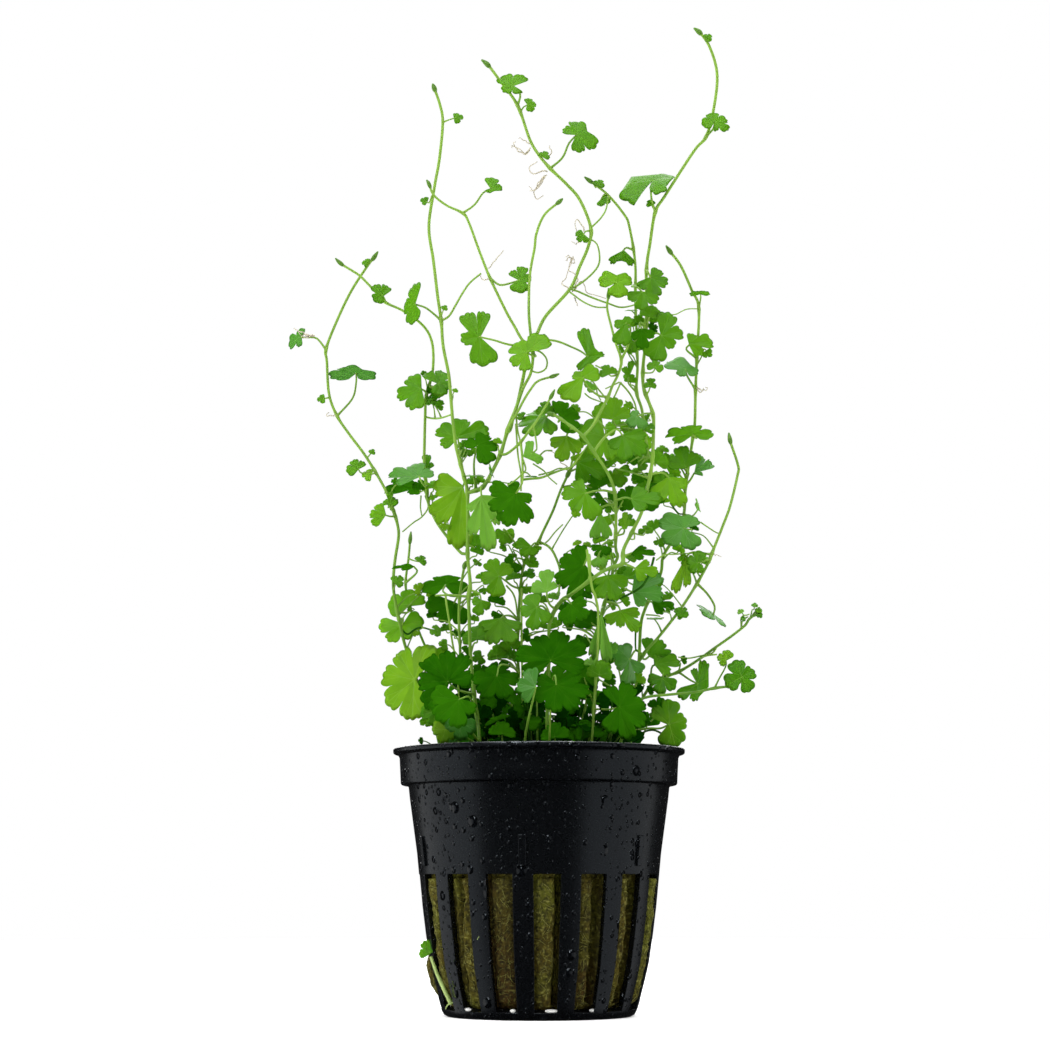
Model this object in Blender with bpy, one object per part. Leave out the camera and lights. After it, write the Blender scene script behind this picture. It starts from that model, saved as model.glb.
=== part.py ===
"""Hydrocotyle tripartita growing in a slotted net pot.

The pot stands on its flat base at the origin, +Z up, with the side seen in the
picture towards -Y. Lengths in the tables are millimetres. The plant is laid out
on the picture plane, an upright plane through the pot's axis as it is seen from
VIEWPOINT. A place on it is (across, up, depth): the point moves along the line of
sight to its depth behind that plane (negative is nearer to the viewer).
"""

import math
from collections import namedtuple

import bmesh
import bpy
from mathutils import Vector

MM = 0.001

# The picture's standpoint, level with the middle of the pot
VIEWPOINT = Vector((0.0, -460.0, 24.0))

# Pot
POT_HEIGHT = 49.4
LIP_RADIUS = 27.5
LIP_THICKNESS = 0.9
COLLAR_TOP_RADIUS = 26.3
COLLAR_FOOT_RADIUS = 26.0
COLLAR_FOOT = 42.8
COLLAR_EDGE = 0.3
LIP_SLOPE = 0.6
WALL_TOP_RADIUS = 24.6
WALL_PROFILE = ((22.9, 30.0), (21.9, 20.0), (20.5, 10.0), (19.0, 4.0))
CORNER_PROFILE = ((18.2, 1.0), (17.2, 0.0))
INNER_STEP = 1.0
WALL_THICKNESS = 1.2
BASE_THICKNESS = 1.0
POT_SIDES = 32
SLOT_COUNT = 16
FIRST_SLOT = -86.25
SLOT_TOP = 26.0
SLOT_TOP_WIDTH = 5.0
SLOT_FOOT_WIDTH = 4.0
SLOT_INNER_REACH = 13.0
SLOT_RUN_OUT = 1.0
RIB_COUNT = 6
FIRST_RIB = -7.5
RIB_WIDTH = 1.6
RIB_FOOT = 27.5
RIB_TOP = 33.0
RIB_DEPTH = 0.45
RIB_ROOT = 0.6
POT_SMOOTH = 35.0

# Rockwool plug
CLEARANCE = 0.3
WOOL_TOP = 45.5
WOOL_CROWN = 1.0
WOOL_LEVELS = (10.0, 20.0, 30.0)
WOOL_FOOT_HEIGHT = 2.5
WOOL_FOOT_SLOPE = 2.0
WOOL_SHOULDER = 2.5
WOOL_SLACK = 0.2
WOOL_SMOOTH = 40.0
WOOL_LUMP = ((14.0, 1.8, 3.4), (19.3, 1.5, 4.0), (21.2, 1.2, 6.2), (21.2, 1.2, 9.5), (19.8, 1.5, 12.0),
             (14.0, 1.8, 12.6))

# Plant
STEM_SIDES = 4
TIP_TAPER = 0.6
BLADE_THICKNESS = 0.5
STALK_WIDTH = 0.5
STALK_START = 0.7
LOBE_SHARE = 0.43
LOBE_CORNER = 0.86
SMALL_LOBE_CORNER = 0.96
LOBE_LEAST = math.radians(3.0)
STRAIGHT_WITHIN = 0.18
STALK_MARGIN = math.radians(18.0)
STEM_SMOOTH = 60.0
LEAF_SMOOTH = 50.0

Stem = namedtuple("Stem", "name radius foot route")
Leaf = namedtuple("Leaf", "name stem hub facing lobes stalk cleft own spread",
                  defaults=(0.35, False, 40.0))


STEMS = (
    Stem("stem_left_tall", 0.38, (-10.5, -9.0), (
        (-11.3, 52, -8), (-12.3, 60, -6), (-13, 67.5, -5), (-13.3, 75, -5), (-13.4, 78.5, -5),
        (-13.1, 81, -4.8), (-13.6, 86.2, -4), (-13.6, 91, -4), (-13.7, 98.5, -4), (-14.2, 101, -4),
        (-15, 104, -4), (-15.9, 107.5, -4), (-16.5, 112, -3.5), (-17, 117.6, -3), (-17.4, 121.8, -3),
        (-18.5, 127.4, -2.5), (-18.9, 132.4, -2), (-19.6, 137.2, -2), (-20.5, 144.5, -1.5),
        (-21.4, 151.2, -1), (-20.4, 158.9, -0.5), (-19.4, 165, 0), (-18.8, 172.3, 0),
        (-19.4, 176, 0), (-20.7, 179.8, 0))),
    Stem("stem_left_second", 0.34, (-13.5, 0.5), (
        (-14.3, 55, 0), (-14.8, 62, 0), (-15, 69, 0), (-15.2, 73, -0.5), (-15.2, 77, -1),
        (-14.8, 81, -2), (-14.1, 85.1, -3.2))),
    Stem("stem_left_inner", 0.32, None, (
        (-14.7, 86.8, -3.2), (-16.3, 88.5, -1), (-18.5, 91.3, 0.5), (-20, 93.7, 1), (-21.3, 97, 1.5),
        (-21.5, 99.8, 2), (-22, 103, 2.5), (-22, 108, 2.2), (-21.9, 113.4, 2), (-21.7, 117.6, 2),
        (-20.5, 122.4, 2), (-20.6, 127.8, 2), (-22.3, 131.3, 2), (-26.2, 134.3, 2), (-29.8, 136.1, 2),
        (-32.1, 138.6, 2.5), (-34.6, 141.2, 3), (-36, 142.2, 3), (-39.1, 144.1, 3))),
    Stem("stem_far_left", 0.34, (-17.5, 1.0), (
        (-19.2, 52, 1), (-20.3, 54.5, 1), (-21.5, 57.5, 2), (-23, 62, 3), (-24.9, 67.5, 3),
        (-25.7, 70, 2), (-26.4, 73, 1), (-27.3, 77, 1), (-27.8, 81, 1), (-27.5, 85.5, 1.5),
        (-26.9, 89.5, 2), (-26.9, 91.5, 2), (-27.5, 94, 2.5), (-28.6, 97, 3), (-30, 100.2, 4),
        (-33.3, 105.7, 5), (-36.5, 110, 5.5), (-38.9, 113.6, 6), (-40.5, 117.9, 6), (-41, 124.3, 6),
        (-41.2, 126.7, 6), (-39.6, 131.3, 6), (-36.6, 138, 6), (-33.2, 143.5, 6), (-31.7, 145.4, 6))),
    Stem("stem_left_pale", 0.3, (-14.0, 9.0), (
        (-16, 55, 9.5), (-19, 63, 9.5), (-22.5, 71, 8.5), (-24.4, 76, 7), (-25.3, 79.5, 6), (-25.4, 82, 4.5),
        (-24.9, 86, 1.5), (-24.6, 90, 1))),
    Stem("stem_centre_tall", 0.38, None, (
        (-12.5, 98.9, -4.6), (-10.8, 99.6, -5), (-9.3, 102, -5), (-7.4, 106, -5), (-6.5, 109, -5),
        (-5.6, 112, -5), (-4.2, 115.6, -5), (-3.3, 119.6, -4.8), (-2.8, 122.1, -4.5), (-1.8, 127.5, -4),
        (-0.4, 129.6, -3.5), (1.4, 133.3, -3), (6.1, 138.7, -2.5), (8, 143.1, -2), (9.7, 147.2, -2),
        (10.2, 150.9, -2), (8.1, 156.5, -1.5), (5.5, 159.7, -1), (2.3, 162.9, -1), (0.1, 165.6, -0.5),
        (-1.7, 168.8, 0), (-4.1, 175.7, 0), (-7.3, 180.4, 0), (-10.3, 184.6, 0))),
    Stem("stem_left_centre", 0.3, None, (
        (-3, 128.4, -3.5), (-4.7, 131.3, -3), (-6.4, 134.4, -3), (-9.4, 140.8, -3), (-11.4, 145.9, -3),
        (-13.6, 152, -3), (-14.8, 153.9, -3), (-18, 155.5, -3), (-20.6, 157.7, -3), (-21.5, 160.3, -3))),
    Stem("stem_centre_short", 0.32, None, (
        (-5.6, 110.8, -6.5), (-4.4, 114.8, -7), (-3, 119, -7), (-1.5, 122.1, -7), (-1.1, 126, -6.8),
        (-1.6, 130.2, -6.2), (-1.9, 134.4, -6), (-1.7, 141.4, -5), (-0.8, 146.7, -5), (-0.4, 149.8, -5),
        (1.2, 153.6, -5), (4.5, 156.5, -5))),
    Stem("stem_centre_shoot", 0.28, None, (
        (-5.8, 111.2, -8.1), (-4, 114.5, -8.6), (-2.8, 116.8, -8.6), (-1.4, 119, -8.6), (0, 120.5, -8.6),
        (3.4, 121.5, -8.6))),
    Stem("stem_centre_bud", 0.28, None, (
        (-6.3, 106.1, -6.2), (-5, 107, -7), (-3.5, 108.4, -8), (-2.3, 110, -9), (-0.8, 112, -9.5),
        (0.6, 114.2, -9.5), (2.8, 118, -9.5))),
    Stem("stem_right_tall", 0.38, (1.5, -11.0), (
        (1.6, 58, -11), (1.9, 66, -11), (1.9, 71, -11), (2.2, 74, -11), (3.9, 77.2, -12), (6, 78.8, -13),
        (9.5, 81.4, -14), (12, 83.2, -14), (14.3, 84.2, -14), (16, 84.9, -13), (16.2, 87.5, -11.5),
        (17.8, 90.8, -10), (19.8, 95, -8), (21, 100, -5), (21.8, 104.5, -4), (22.1, 110, -3),
        (22, 114, -2.5), (20.3, 119, -2), (20.2, 123.2, -1.5), (20.6, 127.1, -1), (20.9, 133, 0.5),
        (21, 142.5, 1.5), (21.7, 147.6, 1), (22.8, 154.1, 0), (24.7, 157.3, 0), (30.5, 166.4, 0),
        (32.9, 169.3, 0), (34.4, 174.7, 0), (35.2, 181.9, 0), (33.8, 187.6, 0), (31.5, 191.2, 0))),
    Stem("stem_arch", 0.32, None, (
        (21.2, 105.4, -2.6), (20.5, 110, -0.5), (19.9, 114.8, 0.8), (18.9, 118.2, 1.5), (19.1, 122.5, 2.2),
        (19.1, 126.6, 3), (18.8, 136, 4), (18.8, 143.9, 4), (17.7, 151.2, 3), (16.7, 153.6, 2.5),
        (13.5, 157.6, 2), (9.6, 160.7, 2))),
    Stem("stem_right", 0.36, (13.0, 11.0), (
        (15.5, 54, 11.5), (17, 58, 11.5), (18.5, 62, 12), (19, 66, 12), (19.4, 73, 11.5), (20.2, 76, 11),
        (21.5, 79, 10.5), (23.3, 83, 9), (23.7, 86, 8), (25, 88.3, 8), (27, 91, 8.5), (27.9, 95, 9),
        (28.2, 100, 10), (29, 105, 10.5), (29.8, 110, 10.5), (30.1, 112.3, 10), (30.3, 118.7, 9.5),
        (30.6, 124.9, 9.5), (31.1, 134.7, 9.5), (29.8, 138.3, 9.5), (27.6, 143.4, 9.5), (25.2, 146.6, 9.5))),
    Stem("stem_far_right", 0.34, (12.0, -2.5), (
        (14, 54, -2), (16, 60, -2), (18, 64.5, -1.5), (20.3, 68, -1.5), (22.4, 70.3, -1.5),
        (24.6, 73, -1), (27.3, 76.5, 0), (30.2, 81, 0.5), (32.3, 84.8, 1), (33.1, 86.8, 1.5),
        (35.2, 92, 2), (36.7, 96, 2), (38.2, 102, 3), (38.3, 103.9, 3), (36.6, 109.3, 3))),
    Stem("stem_low_right", 0.34, (14.5, 4.5), (
        (16.5, 53, 4), (19, 58, 4), (22, 62.2, 3.5), (26.5, 64.1, 3), (30, 66.2, 3),
        (33.5, 68.7, 3), (36.5, 70.8, 3), (39.3, 73, 3), (39.9, 74, 3), (41.8, 75.6, 3))),
    Stem("stem_bottom_right", 0.32, (14.0, -9.5), (
        (16, 53, -10), (18.5, 58, -10), (20.5, 59.3, -10), (25, 59.8, -9), (30, 60.3, -8),
        (33.3, 61, -8), (37, 61.4, -8))),
    Stem("stem_centre_right", 0.36, (9.5, -3.0), (
        (10.6, 60, -4), (11.3, 70, -4.5), (12.2, 76, -5), (13.8, 81, -5.5), (14.2, 84, -6),
        (15.1, 86.2, -6.5), (14.7, 88, -6.5), (14.8, 95, -6.5), (14.5, 99, -7), (13.2, 102.5, -9),
        (11.3, 105.5, -10), (8.5, 109.6, -10), (6.5, 111.3, -9.5), (3.3, 113.6, -8.5),
        (2.2, 114, -7.5))),
    Stem("stem_right_middle", 0.3, None, (
        (9.5, 110.5, -8.9), (10.6, 111.9, -8), (12, 114.5, -7), (13.4, 117.3, -6), (14.3, 119.6, -5.5),
        (15.4, 121.8, -5), (16, 124.5, -5), (15, 127.7, -5), (14.2, 130.8, -5), (13.3, 135, -4.5),
        (13.8, 138, -4.5))),
    Stem("stem_centre_low", 0.34, (-3.5, 3.5), (
        (-3.6, 56, 3), (-3.9, 64, 3), (-4, 72, 3), (-3.5, 80, 3), (-3, 84, 2.5), (-1.8, 87, 2),
        (-0.3, 88.6, 2), (0.8, 91, 2), (2.7, 95, 2), (4.2, 99, 2), (5.9, 102.7, 2))),
    Stem("stem_centre_arc", 0.28, None, (
        (0.9, 88.7, 1.5), (1.8, 88.2, 0), (2.8, 87, -1), (3.9, 84.3, -3.5), (4, 82.5, -5),
        (3.9, 80.2, -8.5), (3.7, 78.7, -11))),
)


# Each leaf: its stem, the hub where the stalk meets the blade, the way the upper
# face looks (turn, tilt), the places of the lobe tips as seen, and the stalk's way
# from the hub to its joint on the stem. A leaf seen on edge gives its lobes as
# (bearing, reach) pairs in a LobeSet, because their places can't be seen.
LobeSet = namedtuple("LobeSet", "pairs")

LEAVES = (
    Leaf("leaf_left_edge", "stem_left_tall", (-24.1, 135.7, -2), (-50, 10),
         ((-24.5, 139.8), (-26.3, 135.6), (-24.9, 131.7)),
         ((-22, 135, -2), (-20.3, 133.7, -2), (-18.9, 132.4, -2))),
    Leaf("leaf_left_bright", "stem_left_tall", (-15.6, 109.4, -1), (0, 20),
         ((-19.9, 111), (-19, 108), (-14, 113.1), (-9.7, 111.7)),
         ((-15.2, 106.8, -1.2), (-15, 104, -4)), own=True),
    Leaf("leaf_left_yellow", "stem_left_tall", (-14.6, 99.6, -2.4), (-5, 5),
         ((-20.3, 100), (-19.4, 92.6), (-15.6, 87.8)),
         ((-14.2, 101, -2.5), (-14.3, 101.5, -4)), 0.6, True),
    Leaf("leaf_left_dark", "stem_centre_tall", (-11.8, 107.8, -4), (10, 35),
         ((-14.3, 108.6), (-9.5, 109.8), (-7.6, 107.9), (-10, 104.2)),
         ((-12.4, 105, -3.8), (-12.4, 102.3, -3.8), (-12, 99.2, -4.6)), own=True),
    Leaf("leaf_left_light", "stem_centre_tall", (-11.2, 97.8, -7.5), (10, 0),
         ((-12.8, 92.8), (-9.6, 87.6), (-7.6, 92.5)),
         ((-11.2, 99.5, -7), (-10.9, 99.6, -5)), 0.5, True),
    Leaf("leaf_centre_left_dark", "stem_centre_bud", (-4.4, 98.4, -10), (10, 15),
         ((-9.6, 100), (-7.6, 92.6), (-2.2, 93.2), (-1.5, 96.6)),
         ((-3.2, 100.5, -10), (-3.1, 103.5, -9.5), (-3.2, 106, -9), (-3.5, 108.4, -8)), own=True),
    Leaf("leaf_centre_hub", "stem_centre_short", (-2.4, 126, -9.5), (-15, 30),
         ((1.5, 129.6), (-4.9, 127.9), (-4.9, 123.4), (-2.9, 122.3)),
         ((-0.6, 125.3, -8.8), (-1.1, 126, -6.8))),
    Leaf("leaf_centre_long", "stem_centre_tall", (-10.4, 129, -5), (10, 15),
         ((-12, 134.3), (-14.8, 129.9), (-13.6, 125.6), (-11, 123.3)),
         ((-8.6, 128.5, -5), (-5.5, 127.6, -4.6), (-1.8, 127.5, -4)), own=True),
    Leaf("leaf_centre_upper", "stem_right_middle", (15.3, 140, -6), (0, 20),
         ((11.6, 140.8), (18.1, 141), (15.6, 136.9)),
         ((14, 138.7, -5.5), (13.8, 138, -4.5))),
    Leaf("leaf_middle", "stem_left_centre", (-3.6, 140.5, -4), (0, 25),
         ((-5.4, 142.4), (-3.2, 143.4), (-1.4, 141.2), (-3.3, 137.9)),
         ((-5, 140, -3.8), (-7.5, 139.5, -3.4), (-9.4, 140.8, -3))),
    Leaf("leaf_left_high", "stem_left_centre", (-9.3, 159.2, -3.5), (10, 30),
         ((-10, 161), (-7.3, 160.4), (-8.2, 157.9)),
         ((-10.8, 158, -3.3), (-12.5, 155.6, -3.1), (-14.8, 153.9, -3))),
    Leaf("leaf_top_centre", "stem_centre_tall", (-4.9, 179.3, -1.5), (-5, 30),
         ((-7.4, 181), (-2.5, 181), (-5.6, 177.4)),
         ((-3.6, 178, -1), (-4.1, 175.7, 0))),
    Leaf("leaf_top_middle", "stem_centre_tall", (7.9, 170, -2), (10, 25),
         ((7.6, 173.1), (4.8, 170.4), (8, 166.7), (10.9, 168.6)),
         ((6, 168, -1.6), (4.7, 165.1, -1.3), (2.3, 162.9, -1))),
    Leaf("leaf_left_tip", "stem_left_inner", (-30.4, 137.5, 1), (20, 20),
         ((-31.8, 139.8), (-29.4, 139.6), (-32, 136.4)),
         ((-30, 136.9, 1.4), (-29.8, 136.1, 2))),
    Leaf("leaf_left_upper", "stem_left_inner", (-22.9, 119, 0), (-15, 25),
         ((-26.2, 120.9), (-27.4, 117.7), (-24.7, 115.1)),
         ((-21.9, 118.4, 0.5), (-21.7, 117.6, 2))),
    Leaf("leaf_left_upper_dark", "stem_left_inner", (-19.4, 120, -0.5), (10, 35),
         ((-21.9, 122.3), (-18.8, 122.5), (-16.8, 119.3), (-18.8, 117.5)),
         ((-20.6, 119.2, 0.2), (-21.2, 119.6, 2))),
    Leaf("leaf_left_sprout", "stem_left_inner", (-21.4, 103.3, 3.6), (0, 10),
         ((-21.6, 106.2), (-20.3, 104.4), (-22.5, 104.1)),
         ((-21.3, 102.2, 3.4), (-21.8, 101.4, 2.3))),
    Leaf("leaf_left_bluish", "stem_left_inner", (-23, 101.8, -2), (-10, 42),
         ((-29, 102.3), (-24.3, 104.3), (-20.3, 102.9), (-27.5, 100.5)),
         ((-22.6, 100.8, -3), (-21.9, 99.9, -0.6), (-21.5, 99.8, 2)), 0.5, True),
    Leaf("leaf_left_under", "stem_left_inner", (-22.8, 99.6, 6), (180, 75),
         ((-29.6, 99.2), (-24.6, 98.3), (-26.5, 100.8)),
         ((-22, 99.2, 5), (-21.4, 98.5, 1.8)), 0.5, True),
    Leaf("leaf_far_left_edge", "stem_far_left", (-46.2, 129.1, 6), (-40, 10),
         ((-46.2, 131), (-48.7, 127.6), (-46.6, 127.2)),
         ((-44.7, 129.1, 6), (-43, 128.9, 6), (-41.2, 126.7, 6))),
    Leaf("leaf_far_left_flat", "stem_far_left", (-35.3, 122.1, 6), (180, 79),
         ((-40.4, 121.4), (-38.3, 123.5), (-31.6, 121.3)),
         ((-35.3, 120, 6.5), (-36, 117, 6), (-38.9, 113.6, 6))),
    Leaf("leaf_left_joint", "stem_far_left", (-29.6, 94.3, 1.2), (-10, 15),
         ((-31.2, 96.4), (-32.6, 94.5), (-32, 92.4)),
         ((-28.6, 94, 1.8), (-27.5, 94, 2.5))),
    Leaf("leaf_left_narrow", "stem_far_left", (-28.6, 96.2, 1), (0, 5),
         ((-28.4, 98.9), (-29.5, 97.2), (-27.6, 97.6)),
         ((-28.4, 95.3, 1.4), (-28, 95.4, 2.7))),
    Leaf("leaf_left_low_bright", "stem_far_left", (-24.8, 76.9, 3.8), (-5, 20),
         ((-28.9, 77.1), (-24.4, 80.1), (-21.8, 78.6)),
         ((-25, 75.5, 3.4), (-27, 75.5, 1)), 0.5, True),
    Leaf("leaf_left_low_wide", "stem_far_left", (-26, 73, 3.8), (-5, 20),
         ((-30.6, 72.7), (-28.7, 70), (-24.6, 70.4), (-21.9, 74)),
         ((-25.9, 74.3, 3), (-26.6, 74, 1)), 0.5, True),
    Leaf("leaf_left_blade", "stem_left_pale", (-23.9, 84.3, -6.5), (180, 83),
         LobeSet(((-5, 4.2), (40, 3.0), (-45, 3.2))),
         ((-23.3, 83.2, -4.4), (-25.38, 81.2, 4.9))),
    Leaf("leaf_left_low_dark", "stem_left_tall", (-17.8, 80.7, 2), (0, 55),
         ((-22.7, 80.4), (-17.6, 83.1), (-13.3, 80.3)),
         ((-18.3, 79.6, 0), (-17, 78.7, -3.5), (-15, 78.6, -5), (-13.4, 78.5, -5)), 0.5, True),
    Leaf("leaf_left_low_shade", "stem_left_second", (-16.2, 77.2, 2.5), (0, 15),
         ((-21.7, 76.8), (-18.9, 73.7), (-14.3, 73.3)),
         ((-15.6, 78.3, 2), (-15.1, 78.3, -1.3)), 0.6, True),
    Leaf("leaf_low_yellow", "stem_far_left", (-23.6, 62.6, -3), (-25, 15),
         ((-21.6, 69.8), (-27.2, 68.3), (-30.2, 64.2), (-29.4, 58.2), (-24.3, 55.1)),
         ((-22.4, 62, -2), (-21.8, 59, 0), (-21.5, 57.5, 2)), 0.5, True),
    Leaf("leaf_low_crinkled", "stem_left_tall", (-17.3, 62.3, -14.5), (-20, 20),
         ((-13.2, 66.6), (-17.5, 68.4), (-22.3, 66.8), (-22.8, 59.4)),
         ((-15.8, 60.9, -13.5), (-13.8, 60.2, -10), (-12.3, 60, -6)), 0.6, True),
    Leaf("leaf_low_left_green", "stem_left_tall", (-14.5, 60, -18.5), (0, 25),
         ((-19.8, 59.5), (-18.8, 55.8), (-14.4, 55.2)),
         ((-13.2, 59.4, -17), (-12.4, 58, -11), (-11.8, 56, -7)), 0.5, True),
    Leaf("leaf_centre_low_bright", "stem_centre_low", (-7.6, 82.4, -2), (0, 15),
         ((-5.6, 84.9), (-9.6, 85.8), (-11.1, 82), (-8.8, 78.7)),
         ((-6.3, 81.5, -1.5), (-5, 80.5, 1), (-3.5, 80, 3)), 0.5, True),
    Leaf("leaf_centre_joint", "stem_centre_low", (-1.6, 88, 0.5), (0, 20),
         ((-4.6, 88.9), (-3.6, 86.6), (-0.9, 86.3)),
         ((-0.8, 88.8, 0.8), (-0.3, 88.6, 2))),
    Leaf("leaf_centre_pale", "stem_right_tall", (1.5, 79.6, -13.8), (0, 15),
         ((-1.3, 81), (1.9, 83.8), (3.4, 81.2)),
         ((1.6, 78.2, -13.5), (2.2, 76.8, -12.8), (3.3, 76.1, -11.6))),
    Leaf("leaf_centre_low_green", "stem_right_tall", (-0.4, 76.4, -15.5), (0, 20),
         ((-2.2, 78.9), (-3.3, 75), (-1.2, 72.2), (1.9, 73.6)),
         ((0.8, 76.6, -14.8), (2.4, 74.4, -11.1))),
    Leaf("leaf_low_centre_arch", "stem_centre_low", (-7.3, 73.4, -1), (0, 30),
         ((-12.2, 72), (-8.6, 69.3), (-4.6, 71.4)),
         ((-6.6, 74.4, 0), (-5.4, 74.6, 2), (-3.95, 74, 3)), 0.6, True),
    Leaf("leaf_low_centre_dark", "stem_centre_low", (-7.8, 63.8, -8), (0, 35),
         ((-12.4, 63.6), (-9.5, 59.5), (-5.2, 59.7), (-3.9, 62.8)),
         ((-7.3, 65.4, -6), (-5, 65, 0), (-3.9, 64, 3)), 0.6, True),
    Leaf("leaf_centre_big", "stem_right_tall", (2.3, 66.3, -17), (5, 25),
         ((-4.2, 68.5), (0.3, 71.6), (6, 71.4), (9.3, 67.2)),
         ((1.6, 64.6, -16), (1.8, 62.5, -11)), 0.65, True),
    Leaf("leaf_centre_round", "stem_right_tall", (3.3, 62, -21), (0, 15),
         ((-1.4, 60), (2.8, 56.7), (8.2, 57.8), (9.4, 61.6)),
         ((3, 63.4, -20), (2.4, 61.5, -15), (1.7, 60.3, -11)), 0.65, True),
    Leaf("leaf_centre_sheen", "wool", (-2.8, 59.3, -22), (-10, 10),
         ((-4, 62.2), (-1.6, 64.8), (-0.4, 61)),
         ((-3, 57, -21), (-3, 52, -18), (-3, 47.6, -16)), 0.6, True),
    Leaf("leaf_centre_large_dark", "stem_right_tall", (8.6, 85.4, -8.6), (-15, 10),
         ((6, 87.3), (4.1, 82.6), (5.6, 78.8), (8.6, 79.2)),
         ((9.4, 86.6, -9.5), (9.6, 85, -12.5), (9.6, 83, -13.5), (9.5, 81.4, -14)), 0.6, True),
    Leaf("leaf_centre_right_green", "stem_right_tall", (13.2, 82.4, -12.2), (5, 20),
         ((10.5, 81), (11, 78.2), (14.8, 77.8), (17, 80.8)),
         ((13.7, 83.9, -12.8), (14.3, 84.2, -14)), 0.5),
    Leaf("leaf_right_low_bluish", "stem_centre_right", (18, 79.3, -9), (15, 20),
         ((19.5, 83), (23.6, 83.4), (24, 79.3), (20.2, 76.8)),
         ((16.8, 79.8, -8), (15, 80.7, -6.5), (13.8, 81, -5.5)), 0.6, True),
    Leaf("leaf_right_low_leaf", "stem_right_tall", (18.6, 83.8, -12), (0, 15),
         ((21.2, 85.2), (22.9, 83.4), (20.2, 81.6)),
         ((17.4, 84.4, -12.6), (16, 84.9, -13))),
    Leaf("leaf_right_low_bright", "stem_centre_right", (15.6, 75.6, -8), (0, 25),
         ((12.8, 73.4), (15.6, 72.6), (18.8, 71.8), (19.3, 75.2)),
         ((14.9, 76.9, -7), (12.7, 77.6, -5.1)), 0.6, True),
    Leaf("leaf_right_low_shade", "stem_far_right", (17.6, 66.8, -5.5), (0, 15),
         ((14.6, 68.8), (15.2, 63.6), (18.4, 62.2)),
         ((18.8, 68, -4), (19.8, 67.3, -1.5)), 0.6),
    Leaf("leaf_low_right_dark", "stem_centre_right", (14.8, 57.4, -14), (15, 25),
         ((12.8, 61.5), (19.4, 60.8), (19.8, 54.9), (15.5, 51.7)),
         ((13.4, 57, -12), (11.6, 57, -6.5), (10.4, 57, -3.8)), 0.6, True),
    Leaf("leaf_centre_hanging", "stem_centre_right", (11.9, 75, -12), (0, 0),
         ((10.8, 65.4), (13.1, 64.6)),
         ((12, 76.2, -11.5), (12.3, 76.4, -5)), 0.85, False, 9.0),
    Leaf("leaf_right_low_light", "stem_far_right", (21.1, 67.1, 1), (10, 15),
         ((21.2, 70.8), (24, 69.4), (25.2, 66.8)),
         ((20.2, 66.5, 0.2), (19.5, 66.8, -1.5))),
    Leaf("leaf_right_low_green", "stem_low_right", (22.2, 65.5, -1), (10, 30),
         ((22.9, 67.3), (26.9, 66.6), (25, 63.9)),
         ((21.4, 64.8, 0), (21.2, 61.4, 3.6))),
    Leaf("leaf_right_low_fork", "stem_low_right", (23.4, 62.8, -2.5), (0, 20),
         ((20.6, 62.4), (22.6, 59.9), (25.9, 61)),
         ((23.7, 64, -1), (24.2, 63.1, 3.3))),
    Leaf("leaf_right_low_curled", "stem_low_right", (29.9, 61.8, 0.5), (0, 15),
         ((31.3, 66.4), (28.8, 65.1), (26.1, 59), (28.8, 58.3)),
         ((28.6, 62.6, 1), (26.5, 64.1, 3))),
    Leaf("leaf_far_right_fork", "stem_bottom_right", (38.7, 63.4, -9.5), (5, 15),
         ((34.9, 62.2), (39.2, 66.1), (41, 61.6)),
         ((38.2, 62.1, -9), (37, 61.4, -8)), own=True),
    Leaf("leaf_rim_right", "stem_far_right", (24.4, 53, -1.5), (5, 10),
         ((22, 57.4), (25, 58.6), (27.2, 54.2), (25.2, 50.2)),
         ((23, 53, -1.8), (20.8, 53.4, -2.4), (17.5, 53, -2.8), (13.95, 53.8, -2)), 0.5, True),
    Leaf("leaf_right_low_edge", "stem_far_right", (33.7, 76.3, 0.6), (60, 52),
         LobeSet(((-80, 3.2), (95, 4.2), (175, 3.0))),
         ((34.2, 77.3, 0.7), (32.2, 78.9, 0.6), (30.2, 81, 0.5))),
    Leaf("leaf_right_low_small", "stem_right", (21.7, 77.4, 8.5), (0, 35),
         ((24, 78.2), (26, 76.6), (23.6, 75.3)),
         ((20.9, 77.6, 9.5), (20.9, 77.6, 10.7))),
    Leaf("leaf_right_hanging", "stem_far_right", (28.2, 86.2, 0), (0, 5),
         ((26.2, 79), (28, 80.2)),
         ((29.4, 87, 0.2), (33, 86.6, 1.4)), 0.5, False, 14.0),
    Leaf("leaf_right_bluish", "stem_right", (27.7, 91.6, 2.5), (10, 25),
         ((30.4, 93.6), (23, 93.2), (24.2, 88.8), (29.4, 87.6)),
         ((29.2, 91.4, 3.5), (28.6, 92.2, 6.5), (27.3, 92.3, 8.6)), 0.6, True),
    Leaf("leaf_right_shelf", "stem_centre_right", (17.8, 97.3, -12), (0, 35),
         ((20.3, 99.6), (23.8, 97.4), (20.4, 95.2)),
         ((16.6, 97.6, -11), (14.7, 97, -6.8)), 0.6, True),
    Leaf("leaf_right_bright", "stem_right_tall", (25, 101.4, -3.5), (5, 20),
         ((28.6, 99.8), (27.3, 96), (22.6, 97.2)),
         ((23.8, 102.4, -3.8), (21.4, 102.2, -4.5)), 0.6, True),
    Leaf("leaf_right_round", "stem_right", (28.2, 103.6, 6.5), (5, 15),
         ((24.8, 104.9), (27.3, 107.9), (30.6, 106.3)),
         ((28.8, 102.3, 7.5), (28.4, 101.8, 10.1)), 0.6, True),
    Leaf("leaf_right_slant", "stem_right", (29.9, 102.4, 8.1), (30, 20),
         ((33.4, 104.8), (31.8, 105.6), (31.6, 102.2)),
         ((29.1, 101, 8.7), (28.2, 100, 10))),
    Leaf("leaf_right_bar", "stem_right", (29.7, 110, 6.9), (180, 72),
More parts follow.
